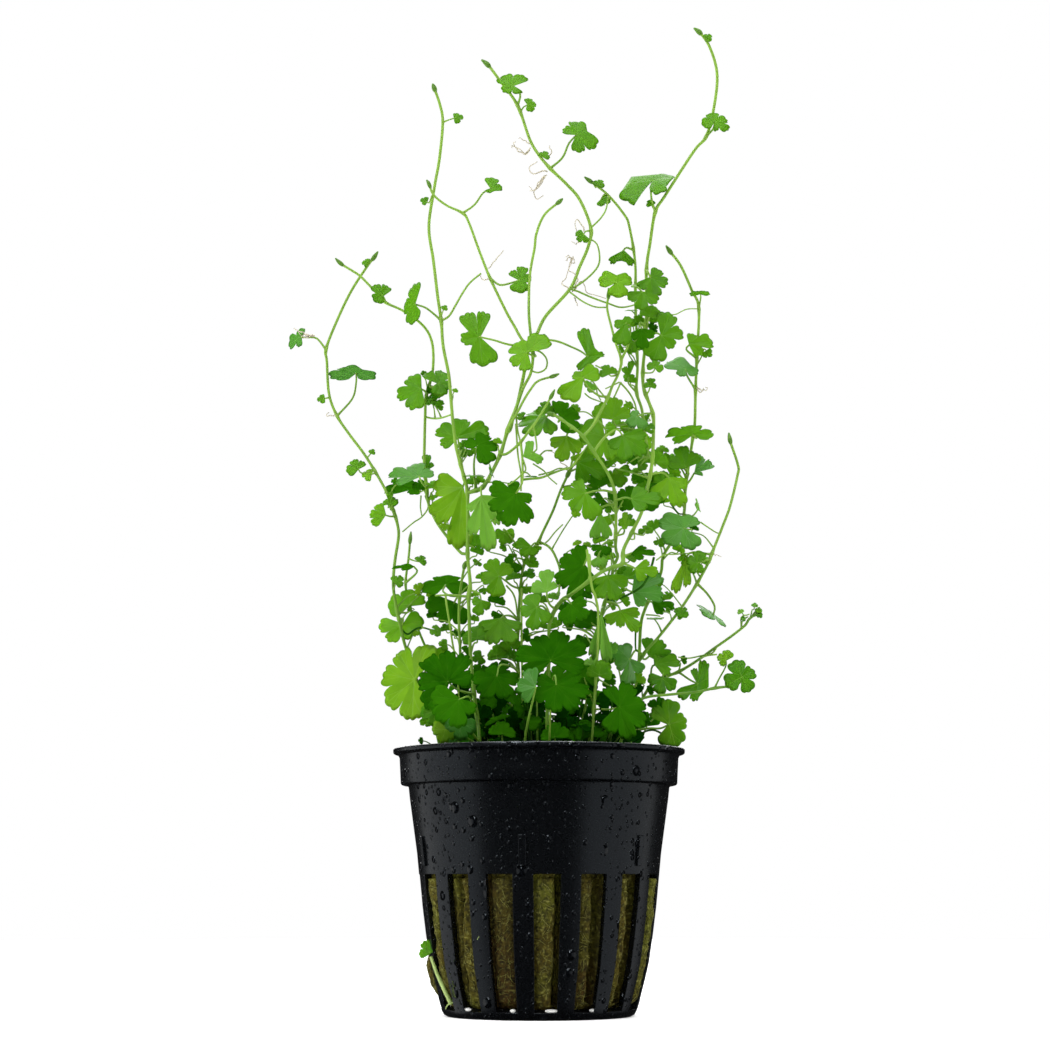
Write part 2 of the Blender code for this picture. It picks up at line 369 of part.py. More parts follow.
         ((33.7, 109.8), (29.2, 112), (24.3, 109.9), (26, 108.5)),
         ((30.4, 109.2, 8.5), (29.75, 109.6, 10.5)), own=True),
    Leaf("leaf_right_dark", "stem_right_tall", (20, 130.6, -4), (0, 20),
         ((17.8, 128.6), (20, 126.7), (22.3, 129)),
         ((19.7, 131.9, -3), (20.8, 131.5, 0.2))),
    Leaf("leaf_right_upper_big", "stem_right_tall", (23.9, 129.3, -2), (10, 15),
         ((25.6, 134), (28, 130.4), (26.2, 127), (22.2, 124.4)),
         ((22.7, 129.9, -1.5), (20.7, 129, -0.4)), own=True),
    Leaf("leaf_right_upper_bluish", "stem_right_tall", (21.8, 140.8, -1.5), (0, 25),
         ((19.6, 138.7), (22.4, 136.9), (25.2, 139.7), (23.9, 142.5)),
         ((21.3, 142, -1), (21, 142.5, 1.5)), own=True),
    Leaf("leaf_right_upper_low", "stem_arch", (20.2, 138, -5), (0, 20),
         ((17.4, 136.6), (20, 134.5), (22.9, 135.8)),
         ((19.2, 139, -4), (18.1, 139.2, 0), (18.8, 139.5, 4))),
    Leaf("leaf_right_upper_small", "stem_right_middle", (16.9, 131.9, -7.5), (0, 15),
         ((14.7, 131.2), (15.5, 127.6), (17.6, 133.2)),
         ((17.8, 130.9, -7), (17.3, 127.4, -5.8), (16, 124.7, -5))),
    Leaf("leaf_upper_thin", "stem_centre_tall", (9.8, 125, -5.5), (0, 10),
         ((8.8, 130.8), (7.2, 123.6), (13.1, 124.5)),
         ((8.3, 126.2, -5), (6.5, 127.1, -4.6), (3.1, 128.4, -4), (-1.1, 128.5, -3.7))),
    Leaf("leaf_upper_yellow", "stem_right_middle", (8.6, 121.2, -7), (0, 15),
         ((4.5, 116.9), (6.4, 121.4), (11.5, 122.9)),
         ((9.2, 119.6, -6.8), (11.5, 117.6, -6.2), (13.4, 117.3, -6))),
    Leaf("leaf_right_centre_bright", "stem_arch", (14.3, 113, -3.2), (0, 15),
         ((10.9, 115.6), (15, 117.3), (17.7, 114.8)),
         ((15, 111.6, -2.5), (18, 112.3, -1), (20.2, 112.4, 0.1)), 0.6, True),
    Leaf("leaf_right_centre_green", "stem_centre_right", (16.2, 109.6, -9), (0, 15),
         ((20.8, 109.9), (20.9, 106.4), (16.8, 104.8), (13.8, 107.2)),
         ((15, 110.9, -9), (12.6, 109.2, -9.8), (10.6, 106.6, -10)), 0.6, True),
    Leaf("leaf_centre_right_light", "stem_right_middle", (12.6, 109.4, -5.2), (-10, 15),
         ((8, 111.2), (11, 105.2), (14.2, 105)),
         ((12.9, 110.8, -5.6), (11.2, 113, -7.6)), 0.6, True),
    Leaf("leaf_centre_bright", "stem_centre_right", (5.3, 109.4, -6), (0, 10),
         ((2.3, 107.8), (4.3, 104.8), (7.9, 106.4)),
         ((5.8, 110.7, -6.8), (6.6, 111.2, -9.5)), 0.6),
    Leaf("leaf_centre_right_dark", "stem_centre_low", (7.6, 104.4, 1), (0, 20),
         ((10.5, 106.2), (13, 102.2), (9, 100.6)),
         ((6.6, 103.8, 1.4), (5.9, 102.7, 2))),
    Leaf("leaf_centre_right_low", "stem_centre_right", (8.9, 98.4, -8), (0, 15),
         ((6.7, 101.1), (4.3, 98.6), (6.3, 95.2), (10.4, 93.4)),
         ((10.5, 98.8, -7.8), (12.5, 99, -7.3), (14.5, 98.5, -6.9))),
    Leaf("leaf_right_level", "stem_right_tall", (17.8, 86.9, -10), (0, 45),
         ((20.6, 88.2), (22.4, 87.2), (20, 85.8)),
         ((16.9, 86.5, -10.8), (16.1, 86.4, -12.1))),
    Leaf("leaf_right_upper_round", "stem_right", (29.3, 127.7, 7.5), (10, 15),
         ((30, 129.9), (33.9, 128.6), (31.8, 125.7)),
         ((28.6, 126.6, 8.1), (30.6, 124.9, 9.5))),
    Leaf("leaf_right_upper_slant", "stem_right", (28.4, 122.7, 8.1), (0, 40),
         ((25, 124.8), (30.8, 121.9), (27.4, 121.4)),
         ((28.7, 121.4, 7.5), (30.3, 118.7, 9.5))),
    Leaf("leaf_right_top", "stem_right_tall", (34.6, 172.1, -1.6), (0, 25),
         ((32, 172.8), (33.5, 174.4), (36, 174.1), (37.1, 172.4)),
         ((34.3, 170.7, -1), (32.9, 169.3, 0))),
    Leaf("leaf_right_side", "stem_right_tall", (21.7, 159, -1), (-75, 60),
         LobeSet(((80, 5.0), (-125, 3.8), (170, 2.6))),
         ((22, 158, -2), (22.2, 156, -1), (22.8, 154.1, 0))),
    Leaf("leaf_right_edge", "stem_right", (31.4, 137.7, 8.1), (180, 80),
         LobeSet(((5, 2.2), (175, 2.0), (90, 1.8))),
         ((31.5, 137, 9.1), (31.1, 134.7, 9.5))),
    Leaf("leaf_right_cluster", "stem_far_right", (30.4, 84.9, -1.5), (0, 15),
         ((30.6, 87.5), (28.2, 85.8), (29, 83), (31, 83)),
         ((31.6, 85.3, -0.8), (32.6, 85.6, 1.2))),
    Leaf("leaf_far_right_yellow", "stem_bottom_right", (35.5, 66.5, -8.5), (0, 10),
         ((33.8, 66.9), (34.5, 65.3), (36, 68.3)),
         ((35.5, 65.2, -8.3), (34.2, 62.8, -8), (33.3, 61, -8))),
    Leaf("leaf_low_centre_veined", "stem_right_tall", (6.2, 77, -15.5), (5, 15),
         ((9.2, 77.6), (9.2, 74.3), (5.2, 73.2)),
         ((5.4, 78, -15), (4.8, 77.9, -12.6)), 0.6),
    Leaf("leaf_right_pale_edge", "stem_centre_right", (11.6, 94.6, -4.5), (10, 0),
         ((10.7, 89.4), (13.2, 89.6)),
         ((12.2, 95.8, -4.8), (14.75, 96.4, -6.7)), 0.7, False, 14.0),
    Leaf("leaf_low_left_rim", "stem_left_pale", (-15.2, 53.2, 3), (0, 15),
         ((-18.2, 53.4), (-16, 50.8), (-13, 51.6)),
         ((-15.1, 54.3, 3.6), (-16, 55, 9.5)), 0.6),
    Leaf("leaf_right_small_flat", "stem_right_tall", (20.5, 91.2, -8.6), (0, 30),
         ((19, 90.8), (20.6, 92.3), (22, 91.3)),
         ((20, 90.3, -9.1), (17.8, 90.8, -10))),
    Leaf("leaf_right_upright", "stem_centre_right", (16.4, 91.5, -8.6), (0, 5),
         ((15.5, 93.6), (16.5, 94.9), (17.5, 93.4)),
         ((16.2, 90.6, -8.2), (14.7, 90.2, -6.5)), 0.5),
    Leaf("leaf_right_shade", "stem_centre_right", (12, 88.2, -8.8), (0, 20),
         ((10, 87.6), (11.2, 86), (13.6, 86.6)),
         ((12.9, 89, -8.4), (14.72, 89.5, -6.5))),
    Leaf("leaf_centre_low_shade", "stem_centre_low", (-4.9, 85, 0.4), (0, 15),
         ((-6.6, 85.8), (-6, 83.2), (-3.8, 83.3)),
         ((-4, 85.9, 0.8), (-2.5, 85.4, 2.25))),
    Leaf("leaf_low_centre_small", "stem_centre_low", (-5.4, 70.4, 0.5), (0, 20),
         ((-7.2, 71.3), (-6.6, 68.2), (-3.9, 68.5)),
         ((-4.9, 71.6, 1.2), (-4, 72, 3)), 0.5),
    Leaf("leaf_left_low_small", "stem_left_tall", (-11, 77.6, -6.5), (0, 10),
         ((-12.8, 77.6), (-11.6, 74.9), (-9.4, 76.2)),
         ((-11.4, 79.1, -6), (-13.25, 79.8, -4.9)), 0.5),
    Leaf("leaf_right_centre_flat", "stem_right_tall", (18.9, 113.4, -5.5), (0, 20),
         ((17.6, 111.3), (20.3, 111), (18, 114.6)),
         ((20.4, 114, -4.8), (22, 114, -2.6)), 0.5),
    Leaf("leaf_right_bud_leaf", "stem_right_tall", (21.6, 119.5, -4), (0, 20),
         ((20.3, 119.8), (21.6, 121.2), (22.8, 119.6)),
         ((21.3, 118.5, -3.4), (20.8, 117.8, -2.2))),
    Leaf("leaf_right_upper_low_bright", "stem_right_tall", (22.6, 123.2, -5), (0, 20),
         ((20.9, 123.6), (22.8, 124.6), (24.2, 122.8)),
         ((22, 122.1, -4.8), (20.25, 122, -1.65))),
    Leaf("leaf_arch_upright", "stem_arch", (17.4, 121.2, -0.5), (-10, 5),
         ((16.6, 123.4), (17.9, 124.6), (16.3, 121.4)),
         ((17.4, 119.9, 0), (18.9, 118.2, 1.5)), 0.5),
    Leaf("leaf_arch_folded", "stem_arch", (16.4, 146, 1.4), (0, 20),
         ((14.2, 146.6), (14.2, 143.5), (17.8, 143.6)),
         ((17.1, 146.9, 2), (18.4, 146.5, 3.7)), 0.6),
    Leaf("leaf_top_small", "stem_centre_tall", (-2, 175.9, -0.8), (10, 20),
         ((-2.4, 177), (-0.7, 176.4), (-1.4, 174.8)),
         ((-2.9, 175.4, -0.4), (-3.6, 174.2, 0))),
    Leaf("leaf_upper_joint", "stem_centre_tall", (8.7, 149.4, -3), (0, 20),
         ((7.2, 150), (7.8, 148.2), (9.4, 148)),
         ((9.2, 150.2, -2.6), (10.1, 150.3, -2))),
    Leaf("leaf_far_left_cluster", "stem_far_left", (-34.8, 103.4, 4.4), (0, 20),
         ((-37.1, 102.9), (-35.6, 105.2), (-33.6, 104.8)),
         ((-34, 102.4, 4.2), (-31.7, 102.9, 4.5))),
    Leaf("leaf_centre_narrow", "stem_centre_bud", (-1.4, 106.4, -10.6), (0, 10),
         ((-2, 108.8), (0.5, 104.4)),
         ((-0.4, 107, -10.6), (-0.7, 110, -9.8), (-1.1, 111.4, -9.4)), 0.6, False, 20.0),
    Leaf("leaf_centre_dark_flat", "stem_centre_right", (1.4, 113.2, -3.6), (-20, 50),
         ((-4.2, 112.9), (-1.9, 114.8), (-1.4, 109.9), (2.2, 110.6)),
         ((2, 114, -4.6), (2.2, 114, -7.5)), 0.5, True),
    Leaf("leaf_centre_dark_right", "stem_centre_right", (4.4, 113.2, -7), (15, 30),
         ((4.4, 116.8), (7.6, 114.6), (7.3, 110.6)),
         ((3.8, 112.4, -7.6), (4.2, 113, -8.8)), 0.5),
)


def place(across, up, depth):
    """Point of the picture plane, moved along the line of sight to its depth."""
    on_plane = Vector((across, 0.0, up))
    return VIEWPOINT + (on_plane - VIEWPOINT) * ((-VIEWPOINT.y + depth) / -VIEWPOINT.y)


def principled(name, colour, roughness, metallic=0.0):
    """Principled material of one colour."""
    material = bpy.data.materials.new(name)
    material.use_nodes = True
    shader = material.node_tree.nodes["Principled BSDF"]
    shader.inputs["Base Color"].default_value = (*colour, 1.0)
    shader.inputs["Roughness"].default_value = roughness
    shader.inputs["Metallic"].default_value = metallic
    return material


def add_object(name, bm, material, smooth_angle=None):
    """Object from a bmesh whose places are in millimetres."""
    bmesh.ops.scale(bm, vec=(MM, MM, MM), verts=bm.verts)
    bmesh.ops.recalc_face_normals(bm, faces=bm.faces)
    mesh = bpy.data.meshes.new(name)
    bm.to_mesh(mesh)
    bm.free()
    mesh.materials.append(material)
    if smooth_angle:
        mesh.shade_smooth()
        mesh.set_sharp_from_angle(angle=math.radians(smooth_angle))
    thing = bpy.data.objects.new(name, mesh)
    bpy.context.scene.collection.objects.link(thing)
    return thing


def add_ring(bm, radius, height, sides):
    """Level ring of points round the pot's axis."""
    ring = []
    for index in range(sides):
        angle = math.tau * index / sides
        ring.append(bm.verts.new((radius * math.sin(angle), -radius * math.cos(angle), height)))
    return ring


def bridge(bm, first, second):
    """Quads between two rings of points that match one to one."""
    count = len(first)
    for index in range(count):
        after = (index + 1) % count
        bm.faces.new((first[index], first[after], second[after], second[index]))


def turned(profile, sides):
    """Closed solid turned from a profile that starts and ends on the axis."""
    bm = bmesh.new()
    rings = [add_ring(bm, radius, height, sides) for radius, height in profile]
    for lower, upper in zip(rings, rings[1:]):
        bridge(bm, lower, upper)
    for ring in (rings[0], rings[-1]):
        bm.faces.new(ring)
    return bm


def wall_radius(height):
    """Outer radius of the pot's wall at a height, read from its profile."""
    profile = ((WALL_TOP_RADIUS, COLLAR_FOOT),) + WALL_PROFILE + CORNER_PROFILE
    for (upper_radius, upper), (lower_radius, lower) in zip(profile, profile[1:]):
        if lower <= height <= upper:
            share = (height - lower) / (upper - lower)
            return lower_radius + share * (upper_radius - lower_radius)
    return profile[0][0]


def cutting_guide(thing, target, operation):
    """Make a solid cut from, or join, a target and leave it out of the model."""
    thing.hide_render = True
    thing.display_type = "WIRE"
    modifier = target.modifiers.new(thing.name, "BOOLEAN")
    modifier.operation = operation
    modifier.solver = "EXACT"
    modifier.object = thing


def make_pot(material):
    """Net pot: lip, collar, slotted wall and base, with short ribs above the slots."""
    inner_top = COLLAR_TOP_RADIUS - WALL_THICKNESS
    profile = [(radius, height) for radius, height in reversed(CORNER_PROFILE)]
    profile += [(radius, height) for radius, height in reversed(WALL_PROFILE)]
    profile += [(WALL_TOP_RADIUS, COLLAR_FOOT - COLLAR_EDGE), (COLLAR_FOOT_RADIUS, COLLAR_FOOT),
                (COLLAR_TOP_RADIUS, POT_HEIGHT - LIP_THICKNESS - LIP_SLOPE),
                (LIP_RADIUS, POT_HEIGHT - LIP_THICKNESS), (LIP_RADIUS, POT_HEIGHT),
                (inner_top, POT_HEIGHT), (COLLAR_FOOT_RADIUS - WALL_THICKNESS, COLLAR_FOOT + INNER_STEP),
                (WALL_TOP_RADIUS - WALL_THICKNESS, COLLAR_FOOT - INNER_STEP)]
    profile += [(radius - WALL_THICKNESS, height) for radius, height in WALL_PROFILE]
    profile += [(CORNER_PROFILE[0][0] - WALL_THICKNESS, BASE_THICKNESS)]
    pot = add_object("pot", turned(profile, POT_SIDES), material, POT_SMOOTH)
    cutting_guide(make_slots(material), pot, "DIFFERENCE")
    cutting_guide(make_ribs(material), pot, "UNION")
    return pot


def add_wedge(bm, angle, corners):
    """Block from eight corners given as (outward, sideways, height)."""
    out = Vector((math.sin(angle), -math.cos(angle), 0.0))
    side = Vector((math.cos(angle), math.sin(angle), 0.0))
    points = [bm.verts.new(out * o + side * s + Vector((0, 0, h))) for o, s, h in corners]
    for face in ((0, 1, 2, 3), (7, 6, 5, 4), (0, 4, 5, 1), (1, 5, 6, 2), (2, 6, 7, 3), (3, 7, 4, 0)):
        bm.faces.new([points[index] for index in face])


def make_slots(material):
    """Cutters of the slots, which run down the wall and round under the base."""
    bm = bmesh.new()
    outer = LIP_RADIUS
    for index in range(SLOT_COUNT):
        angle = math.radians(FIRST_SLOT + index * 360.0 / SLOT_COUNT)
        foot, top = SLOT_FOOT_WIDTH / 2, SLOT_TOP_WIDTH / 2
        add_wedge(bm, angle, (
            (SLOT_INNER_REACH, -foot, -SLOT_RUN_OUT), (outer, -foot, -SLOT_RUN_OUT),
            (outer, foot, -SLOT_RUN_OUT), (SLOT_INNER_REACH, foot, -SLOT_RUN_OUT),
            (SLOT_INNER_REACH, -top, SLOT_TOP),
            (outer, -top, SLOT_TOP), (outer, top, SLOT_TOP), (SLOT_INNER_REACH, top, SLOT_TOP)))
    return add_object("slot_cutters", bm, material)


def make_ribs(material):
    """Short upright ribs on the wall above the slots."""
    bm = bmesh.new()
    half = RIB_WIDTH / 2
    for index in range(RIB_COUNT):
        angle = math.radians(FIRST_RIB + index * 360.0 / RIB_COUNT)
        low, high = wall_radius(RIB_FOOT), wall_radius(RIB_TOP)
        add_wedge(bm, angle, (
            (low - RIB_ROOT, -half, RIB_FOOT), (low + RIB_DEPTH, -half, RIB_FOOT),
            (low + RIB_DEPTH, half, RIB_FOOT), (low - RIB_ROOT, half, RIB_FOOT),
            (high - RIB_ROOT, -half, RIB_TOP), (high + RIB_DEPTH, -half, RIB_TOP),
            (high + RIB_DEPTH, half, RIB_TOP), (high - RIB_ROOT, half, RIB_TOP)))
    return add_object("rib_blocks", bm, material)


def make_wool(material):
    """Rockwool plug that fills the pot up to just below its lip."""
    def inner(height):
        return wall_radius(height) - WALL_THICKNESS - CLEARANCE

    foot = BASE_THICKNESS + CLEARANCE
    low = inner(foot + WOOL_FOOT_HEIGHT)
    profile = [(low - WOOL_FOOT_SLOPE, foot), (low, foot + WOOL_FOOT_HEIGHT)]
    profile += [(inner(height), height) for height in WOOL_LEVELS]
    profile += [(WALL_TOP_RADIUS - WALL_THICKNESS - CLEARANCE - WOOL_SLACK, WOOL_TOP - WOOL_CROWN)]
    profile += [(WALL_TOP_RADIUS - WALL_THICKNESS - WOOL_SHOULDER, WOOL_TOP)]
    wool = add_object("rockwool_plug", turned(profile, POT_SIDES), material, WOOL_SMOOTH)
    cutting_guide(make_lump(material), wool, "UNION")
    return wool


def make_lump(material):
    """Lump of wool that swells out through the slot at the left."""
    bm = bmesh.new()
    angle = math.radians(FIRST_SLOT)
    out = Vector((math.sin(angle), -math.cos(angle), 0.0))
    side = Vector((math.cos(angle), math.sin(angle), 0.0))
    rings = []
    for sign in (-1, 1):
        rings.append([bm.verts.new(out * o + side * s * sign + Vector((0, 0, h))) for o, s, h in WOOL_LUMP])
    bridge(bm, *rings)
    for ring in rings:
        bm.faces.new(ring)
    return add_object("wool_lump", bm, material)


def sweep(bm, rings_from, path, half_width, taper=1.0, sides=4):
    """Carry a ring of points along a path and return the last ring.

    rings_from is the starting ring, or None to start with a new one.
    """
    forward = (path[1] - path[0]).normalized()
    if rings_from is None:
        across = forward.orthogonal().normalized()
    else:
        across = rings_from[0].co - path[0]
        across = (across - forward * across.dot(forward)).normalized()
    ring = rings_from
    for index, point in enumerate(path):
        after = path[min(index + 1, len(path) - 1)]
        before = path[max(index - 1, 0)]
        forward = (after - before).normalized()
        across = (across - forward * across.dot(forward)).normalized()
        side = forward.cross(across)
        if index == 0 and rings_from is not None:
            continue
        size = half_width * (1.0 - (1.0 - taper) * index / (len(path) - 1))
        corners = []
        for step in range(sides):
            angle = math.tau * step / sides
            corners.append(bm.verts.new(point + (across * math.cos(angle) + side * math.sin(angle)) * size))
        if ring is not None:
            bridge(bm, ring, corners)
        else:
            bm.faces.new(corners)
        ring = corners
    bm.faces.new(ring)
    return ring


def straightened(points):
    """The points of a path without those that lie nearly straight between their neighbours."""
    if len(points) < 3:
        return points
    along = (points[-1] - points[0]).normalized()
    offsets = [(point - points[0] - along * along.dot(point - points[0])).length for point in points]
    widest = max(range(len(points)), key=offsets.__getitem__)
    if offsets[widest] < STRAIGHT_WITHIN:
        return [points[0], points[-1]]
    return straightened(points[:widest + 1])[:-1] + straightened(points[widest:])


def stem_path(stem):
    """Points of a stem in space, from its foot to its tip."""
    points = [place(*spot) for spot in stem.route]
    if stem.foot:
        points.insert(0, Vector((*stem.foot, WOOL_TOP + CLEARANCE)))
    return straightened(points)


def leaf_axes(facing):
    """Sideways, upward and facing directions of a blade from its turn and tilt."""
    turn, tilt = (math.radians(value) for value in facing)
    normal = Vector((math.sin(turn) * math.cos(tilt), -math.cos(turn) * math.cos(tilt), math.sin(tilt)))
    upward = Vector((-math.sin(turn) * math.sin(tilt), math.cos(turn) * math.sin(tilt), math.cos(tilt)))
    return upward.cross(normal), upward, normal


def lobe_polar(leaf):
    """Angle and reach of each lobe in the plane of its blade."""
    if isinstance(leaf.lobes, LobeSet):
        return [(math.radians(bearing), reach) for bearing, reach in leaf.lobes.pairs]
    sideways, upward, normal = leaf_axes(leaf.facing)
    hub = place(*leaf.hub)
    polar = []
    for across, up in leaf.lobes:
        sight = Vector((across, 0.0, up)) - VIEWPOINT
        reach = sight * (normal.dot(hub - VIEWPOINT) / normal.dot(sight)) + VIEWPOINT - hub
        polar.append((math.atan2(reach.dot(upward), reach.dot(sideways)), reach.length))
    return polar


def blade_outline(leaf):
    """Outline of a blade about its hub, as (angle, reach), from the stalk round to it."""
    sideways, upward, _ = leaf_axes(leaf.facing)
    way = place(*leaf.stalk[0]) - place(*leaf.hub)
    stalk_angle = math.atan2(way.dot(upward), way.dot(sideways))
    lobes = sorted(((angle - stalk_angle) % math.tau, reach) for angle, reach in lobe_polar(leaf))
    angles = [0.0] + [angle for angle, _ in lobes] + [math.tau]
    outline = []
    for index, (angle, reach) in enumerate(lobes, start=1):
        spans = []
        for other in (angles[index - 1], angles[index + 1]):
            gap = abs(angle - other)
            at_stalk = other in (0.0, math.tau)
            reach_of_side = gap - STALK_MARGIN if at_stalk else gap * LOBE_SHARE
            spans.append(max(min(reach_of_side, math.radians(leaf.spread)), LOBE_LEAST))
        if index > 1:
            middle = (angle + angles[index - 1]) / 2
            outline.append((middle, leaf.cleft * (reach + lobes[index - 2][1]) / 2))
        corner = reach * (LOBE_CORNER if leaf.own else SMALL_LOBE_CORNER)
        outline.append((angle - spans[0], corner))
        if leaf.own:
            outline.append((angle, reach))
        outline.append((angle + spans[1], corner))
    return stalk_angle, outline


def stalk_path(leaf, start, radii):
    """Points of a stalk from the blade to the stem, which it meets or stops short of."""
    points = [start] + [place(*spot) for spot in leaf.stalk]
    if leaf.own:
        step = points[-2] - points[-1]
        short = radii.get(leaf.stem, 0.0) + CLEARANCE + STALK_WIDTH
        points[-1] = points[-1] + step.normalized() * min(short, step.length * 0.7)
    return points


def leaf_mesh(leaf, radii):
    """One leaf: a lobed blade, thickest at the hub, whose edge there runs on as the stalk."""
    bm = bmesh.new()
    sideways, upward, normal = leaf_axes(leaf.facing)
    hub = place(*leaf.hub)
    stalk_angle, outline = blade_outline(leaf)
    lift = normal * BLADE_THICKNESS / 2
    rim = []
    for angle, distance in outline:
        turn = angle + stalk_angle
        rim.append(bm.verts.new(hub + (sideways * math.cos(turn) + upward * math.sin(turn)) * distance))
    ahead = (sideways * math.cos(stalk_angle) + upward * math.sin(stalk_angle)) * STALK_START
    beside = normal.cross(ahead).normalized() * STALK_WIDTH / 2
    ends = {}
    for sign in (1, -1):
        sheet = [bm.verts.new(hub + ahead + beside + lift * sign)] + rim
        sheet.append(bm.verts.new(hub + ahead - beside + lift * sign))
        centre = bm.verts.new(hub + lift * sign)
        for first, second in zip(sheet, sheet[1:] + sheet[:1]):
            bm.faces.new((centre, first, second) if sign > 0 else (centre, second, first))
        ends[sign] = (sheet[0], sheet[-1])
    bm.faces.new((ends[1][0], ends[-1][0], rim[0]))
    bm.faces.new((ends[1][1], rim[-1], ends[-1][1]))
    ring = [ends[1][1], ends[-1][1], ends[-1][0], ends[1][0]]
    start = sum((point.co for point in ring), Vector()) / len(ring)
    path = stalk_path(leaf, start, radii)
    sweep(bm, ring, path, STALK_WIDTH / 2)
    return bm


def make_stems(material):
    """Every stem as a tube that narrows towards its tip."""
    stems = {}
    for stem in STEMS:
        bm = bmesh.new()
        sweep(bm, None, stem_path(stem), stem.radius, TIP_TAPER, STEM_SIDES)
        stems[stem.name] = add_object(stem.name, bm, material, STEM_SMOOTH)
    return stems


def make_leaves(stems, material):
    """Leaves: the large ones as pieces, the small ones joined to their stems."""
    radii = {stem.name: stem.radius for stem in STEMS}
    for leaf in LEAVES:
        blade = add_object(leaf.name, leaf_mesh(leaf, radii), material, LEAF_SMOOTH)
        if not leaf.own:
            cutting_guide(blade, stems[leaf.stem], "UNION")


def main():
    for thing in list(bpy.data.objects):
        bpy.data.objects.remove(thing)
    make_pot(principled("pot_plastic", (0.012, 0.014, 0.018), 0.35))
    make_wool(principled("wool", (0.12, 0.13, 0.035), 0.95))
    stems = make_stems(principled("stem_green", (0.22, 0.42, 0.08), 0.5))
    make_leaves(stems, principled("leaf_green", (0.09, 0.32, 0.02), 0.5))


main()
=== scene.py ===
"""Looks of a Hydrocotyle tripartita in its slotted net pot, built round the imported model.

Lengths in the tables are millimetres, and a mesh turns them into metres when it is made.
The plant is laid out on the picture plane, an upright plane through the pot's axis as it is
seen from EYE. A spot (across, up, depth) lies on the line of sight through its place on that
plane, depth behind it (negative is nearer to the viewer).
"""

import logging
import math
from collections.abc import Sequence
from dataclasses import dataclass, field
from enum import Enum

import bmesh
import bpy
import numpy as np
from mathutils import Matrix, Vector, noise


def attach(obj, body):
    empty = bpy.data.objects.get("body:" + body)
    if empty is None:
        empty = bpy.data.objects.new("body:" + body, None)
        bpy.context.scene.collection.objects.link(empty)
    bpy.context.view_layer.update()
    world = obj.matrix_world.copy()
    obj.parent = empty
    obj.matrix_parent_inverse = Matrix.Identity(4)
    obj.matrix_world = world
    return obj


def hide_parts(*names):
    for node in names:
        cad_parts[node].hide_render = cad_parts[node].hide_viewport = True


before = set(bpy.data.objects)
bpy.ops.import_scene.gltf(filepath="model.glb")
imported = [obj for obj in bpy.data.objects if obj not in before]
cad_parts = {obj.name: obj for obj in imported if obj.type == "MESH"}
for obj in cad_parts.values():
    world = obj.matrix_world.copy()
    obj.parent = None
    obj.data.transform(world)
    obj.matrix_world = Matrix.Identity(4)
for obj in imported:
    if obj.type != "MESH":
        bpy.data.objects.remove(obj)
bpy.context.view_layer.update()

log = logging.getLogger("potted_plant")

MM = 0.001
EYE = np.array((0.0, -460.0, 24.0))
AIM = np.array((-2.64, 0.0, 92.3))
SEED = 7

Colour = tuple[float, float, float]
Spot = tuple[float, float, float]


def colour(red: float, green: float, blue: float) -> Colour:
    """Linear colour from screen values of 0 to 255.

    Args:
        red: Red on the screen.
        green: Green on the screen.
        blue: Blue on the screen.

    Returns:
        The three channels as light.
    """
    channels = (value / 255.0 for value in (red, green, blue))
    return tuple(c / 12.92 if c <= 0.04045 else ((c + 0.055) / 1.055) ** 2.4 for c in channels)


def place(across: float, up: float, depth: float) -> np.ndarray:
    """Point of the picture plane, moved along the line of sight to its depth."""
    return EYE + (np.array((across, 0.0, up)) - EYE) * ((depth - EYE[1]) / -EYE[1])


def read_off(across: float, up: float, depth: float) -> np.ndarray:
    """Point whose place was measured on the picture itself, level and square to the line of sight.

    Args:
        across: Millimetres to the right on the picture, at the scale of its middle.
        up: Millimetres above the base, at the same scale.
        depth: Depth behind the picture plane.

    Returns:
        The point.
    """
    rise = AIM[2] - EYE[2]
    pitch, reach = math.atan2(rise, -EYE[1]), math.hypot(rise, EYE[1])
    turn = math.atan2(up - AIM[2], reach)
    stretch = -EYE[1] / math.cos(pitch + turn) * math.cos(turn) / reach
    return place(AIM[0] + (across - AIM[0]) * stretch, EYE[2] - EYE[1] * math.tan(pitch + turn), depth)


def unit(vector: np.ndarray) -> np.ndarray:
    """The same direction with a length of one."""
    return vector / max(np.linalg.norm(vector), 1e-9)


def smooth_path(points: Sequence[np.ndarray], step: float) -> np.ndarray:
    """Closely spaced points of a smooth curve.

    Args:
        points: The points that the curve passes through.
        step: Longest distance between two points of the result.

    Returns:
        The points of the curve, one to a row.
    """
    given = np.asarray(points, float)
    if len(given) == 2:
        given = np.vstack((given[0], given.mean(0), given[1]))
    ghosts = np.vstack((2 * given[0] - given[1], given, 2 * given[-1] - given[-2]))
    runs = []
    for a, b, c, d in zip(ghosts, ghosts[1:], ghosts[2:], ghosts[3:]):
        count = max(1, math.ceil(np.linalg.norm(c - b) / step))
        t = np.linspace(0.0, 1.0, count, endpoint=False)[:, None]
        runs.append(0.5 * (2 * b + (c - a) * t + (2 * a - 5 * b + 4 * c - d) * t**2
                           + (3 * b - a - 3 * c + d) * t**3))
    runs.append(given[-1:])
    return np.vstack(runs)


def band(low: int, high: int, count: int) -> list[tuple[int, int, int, int]]:
    """Faces between two closed rings of count points, by the numbers of their first points."""
    return [(low + k, low + (k + 1) % count, high + (k + 1) % count, high + k) for k in range(count)]


def fan(middle: int, ring: int, count: int) -> list[tuple[int, int, int]]:
    """Faces from a middle point to a closed ring of count points."""
    return [(middle, ring + k, ring + (k + 1) % count) for k in range(count)]


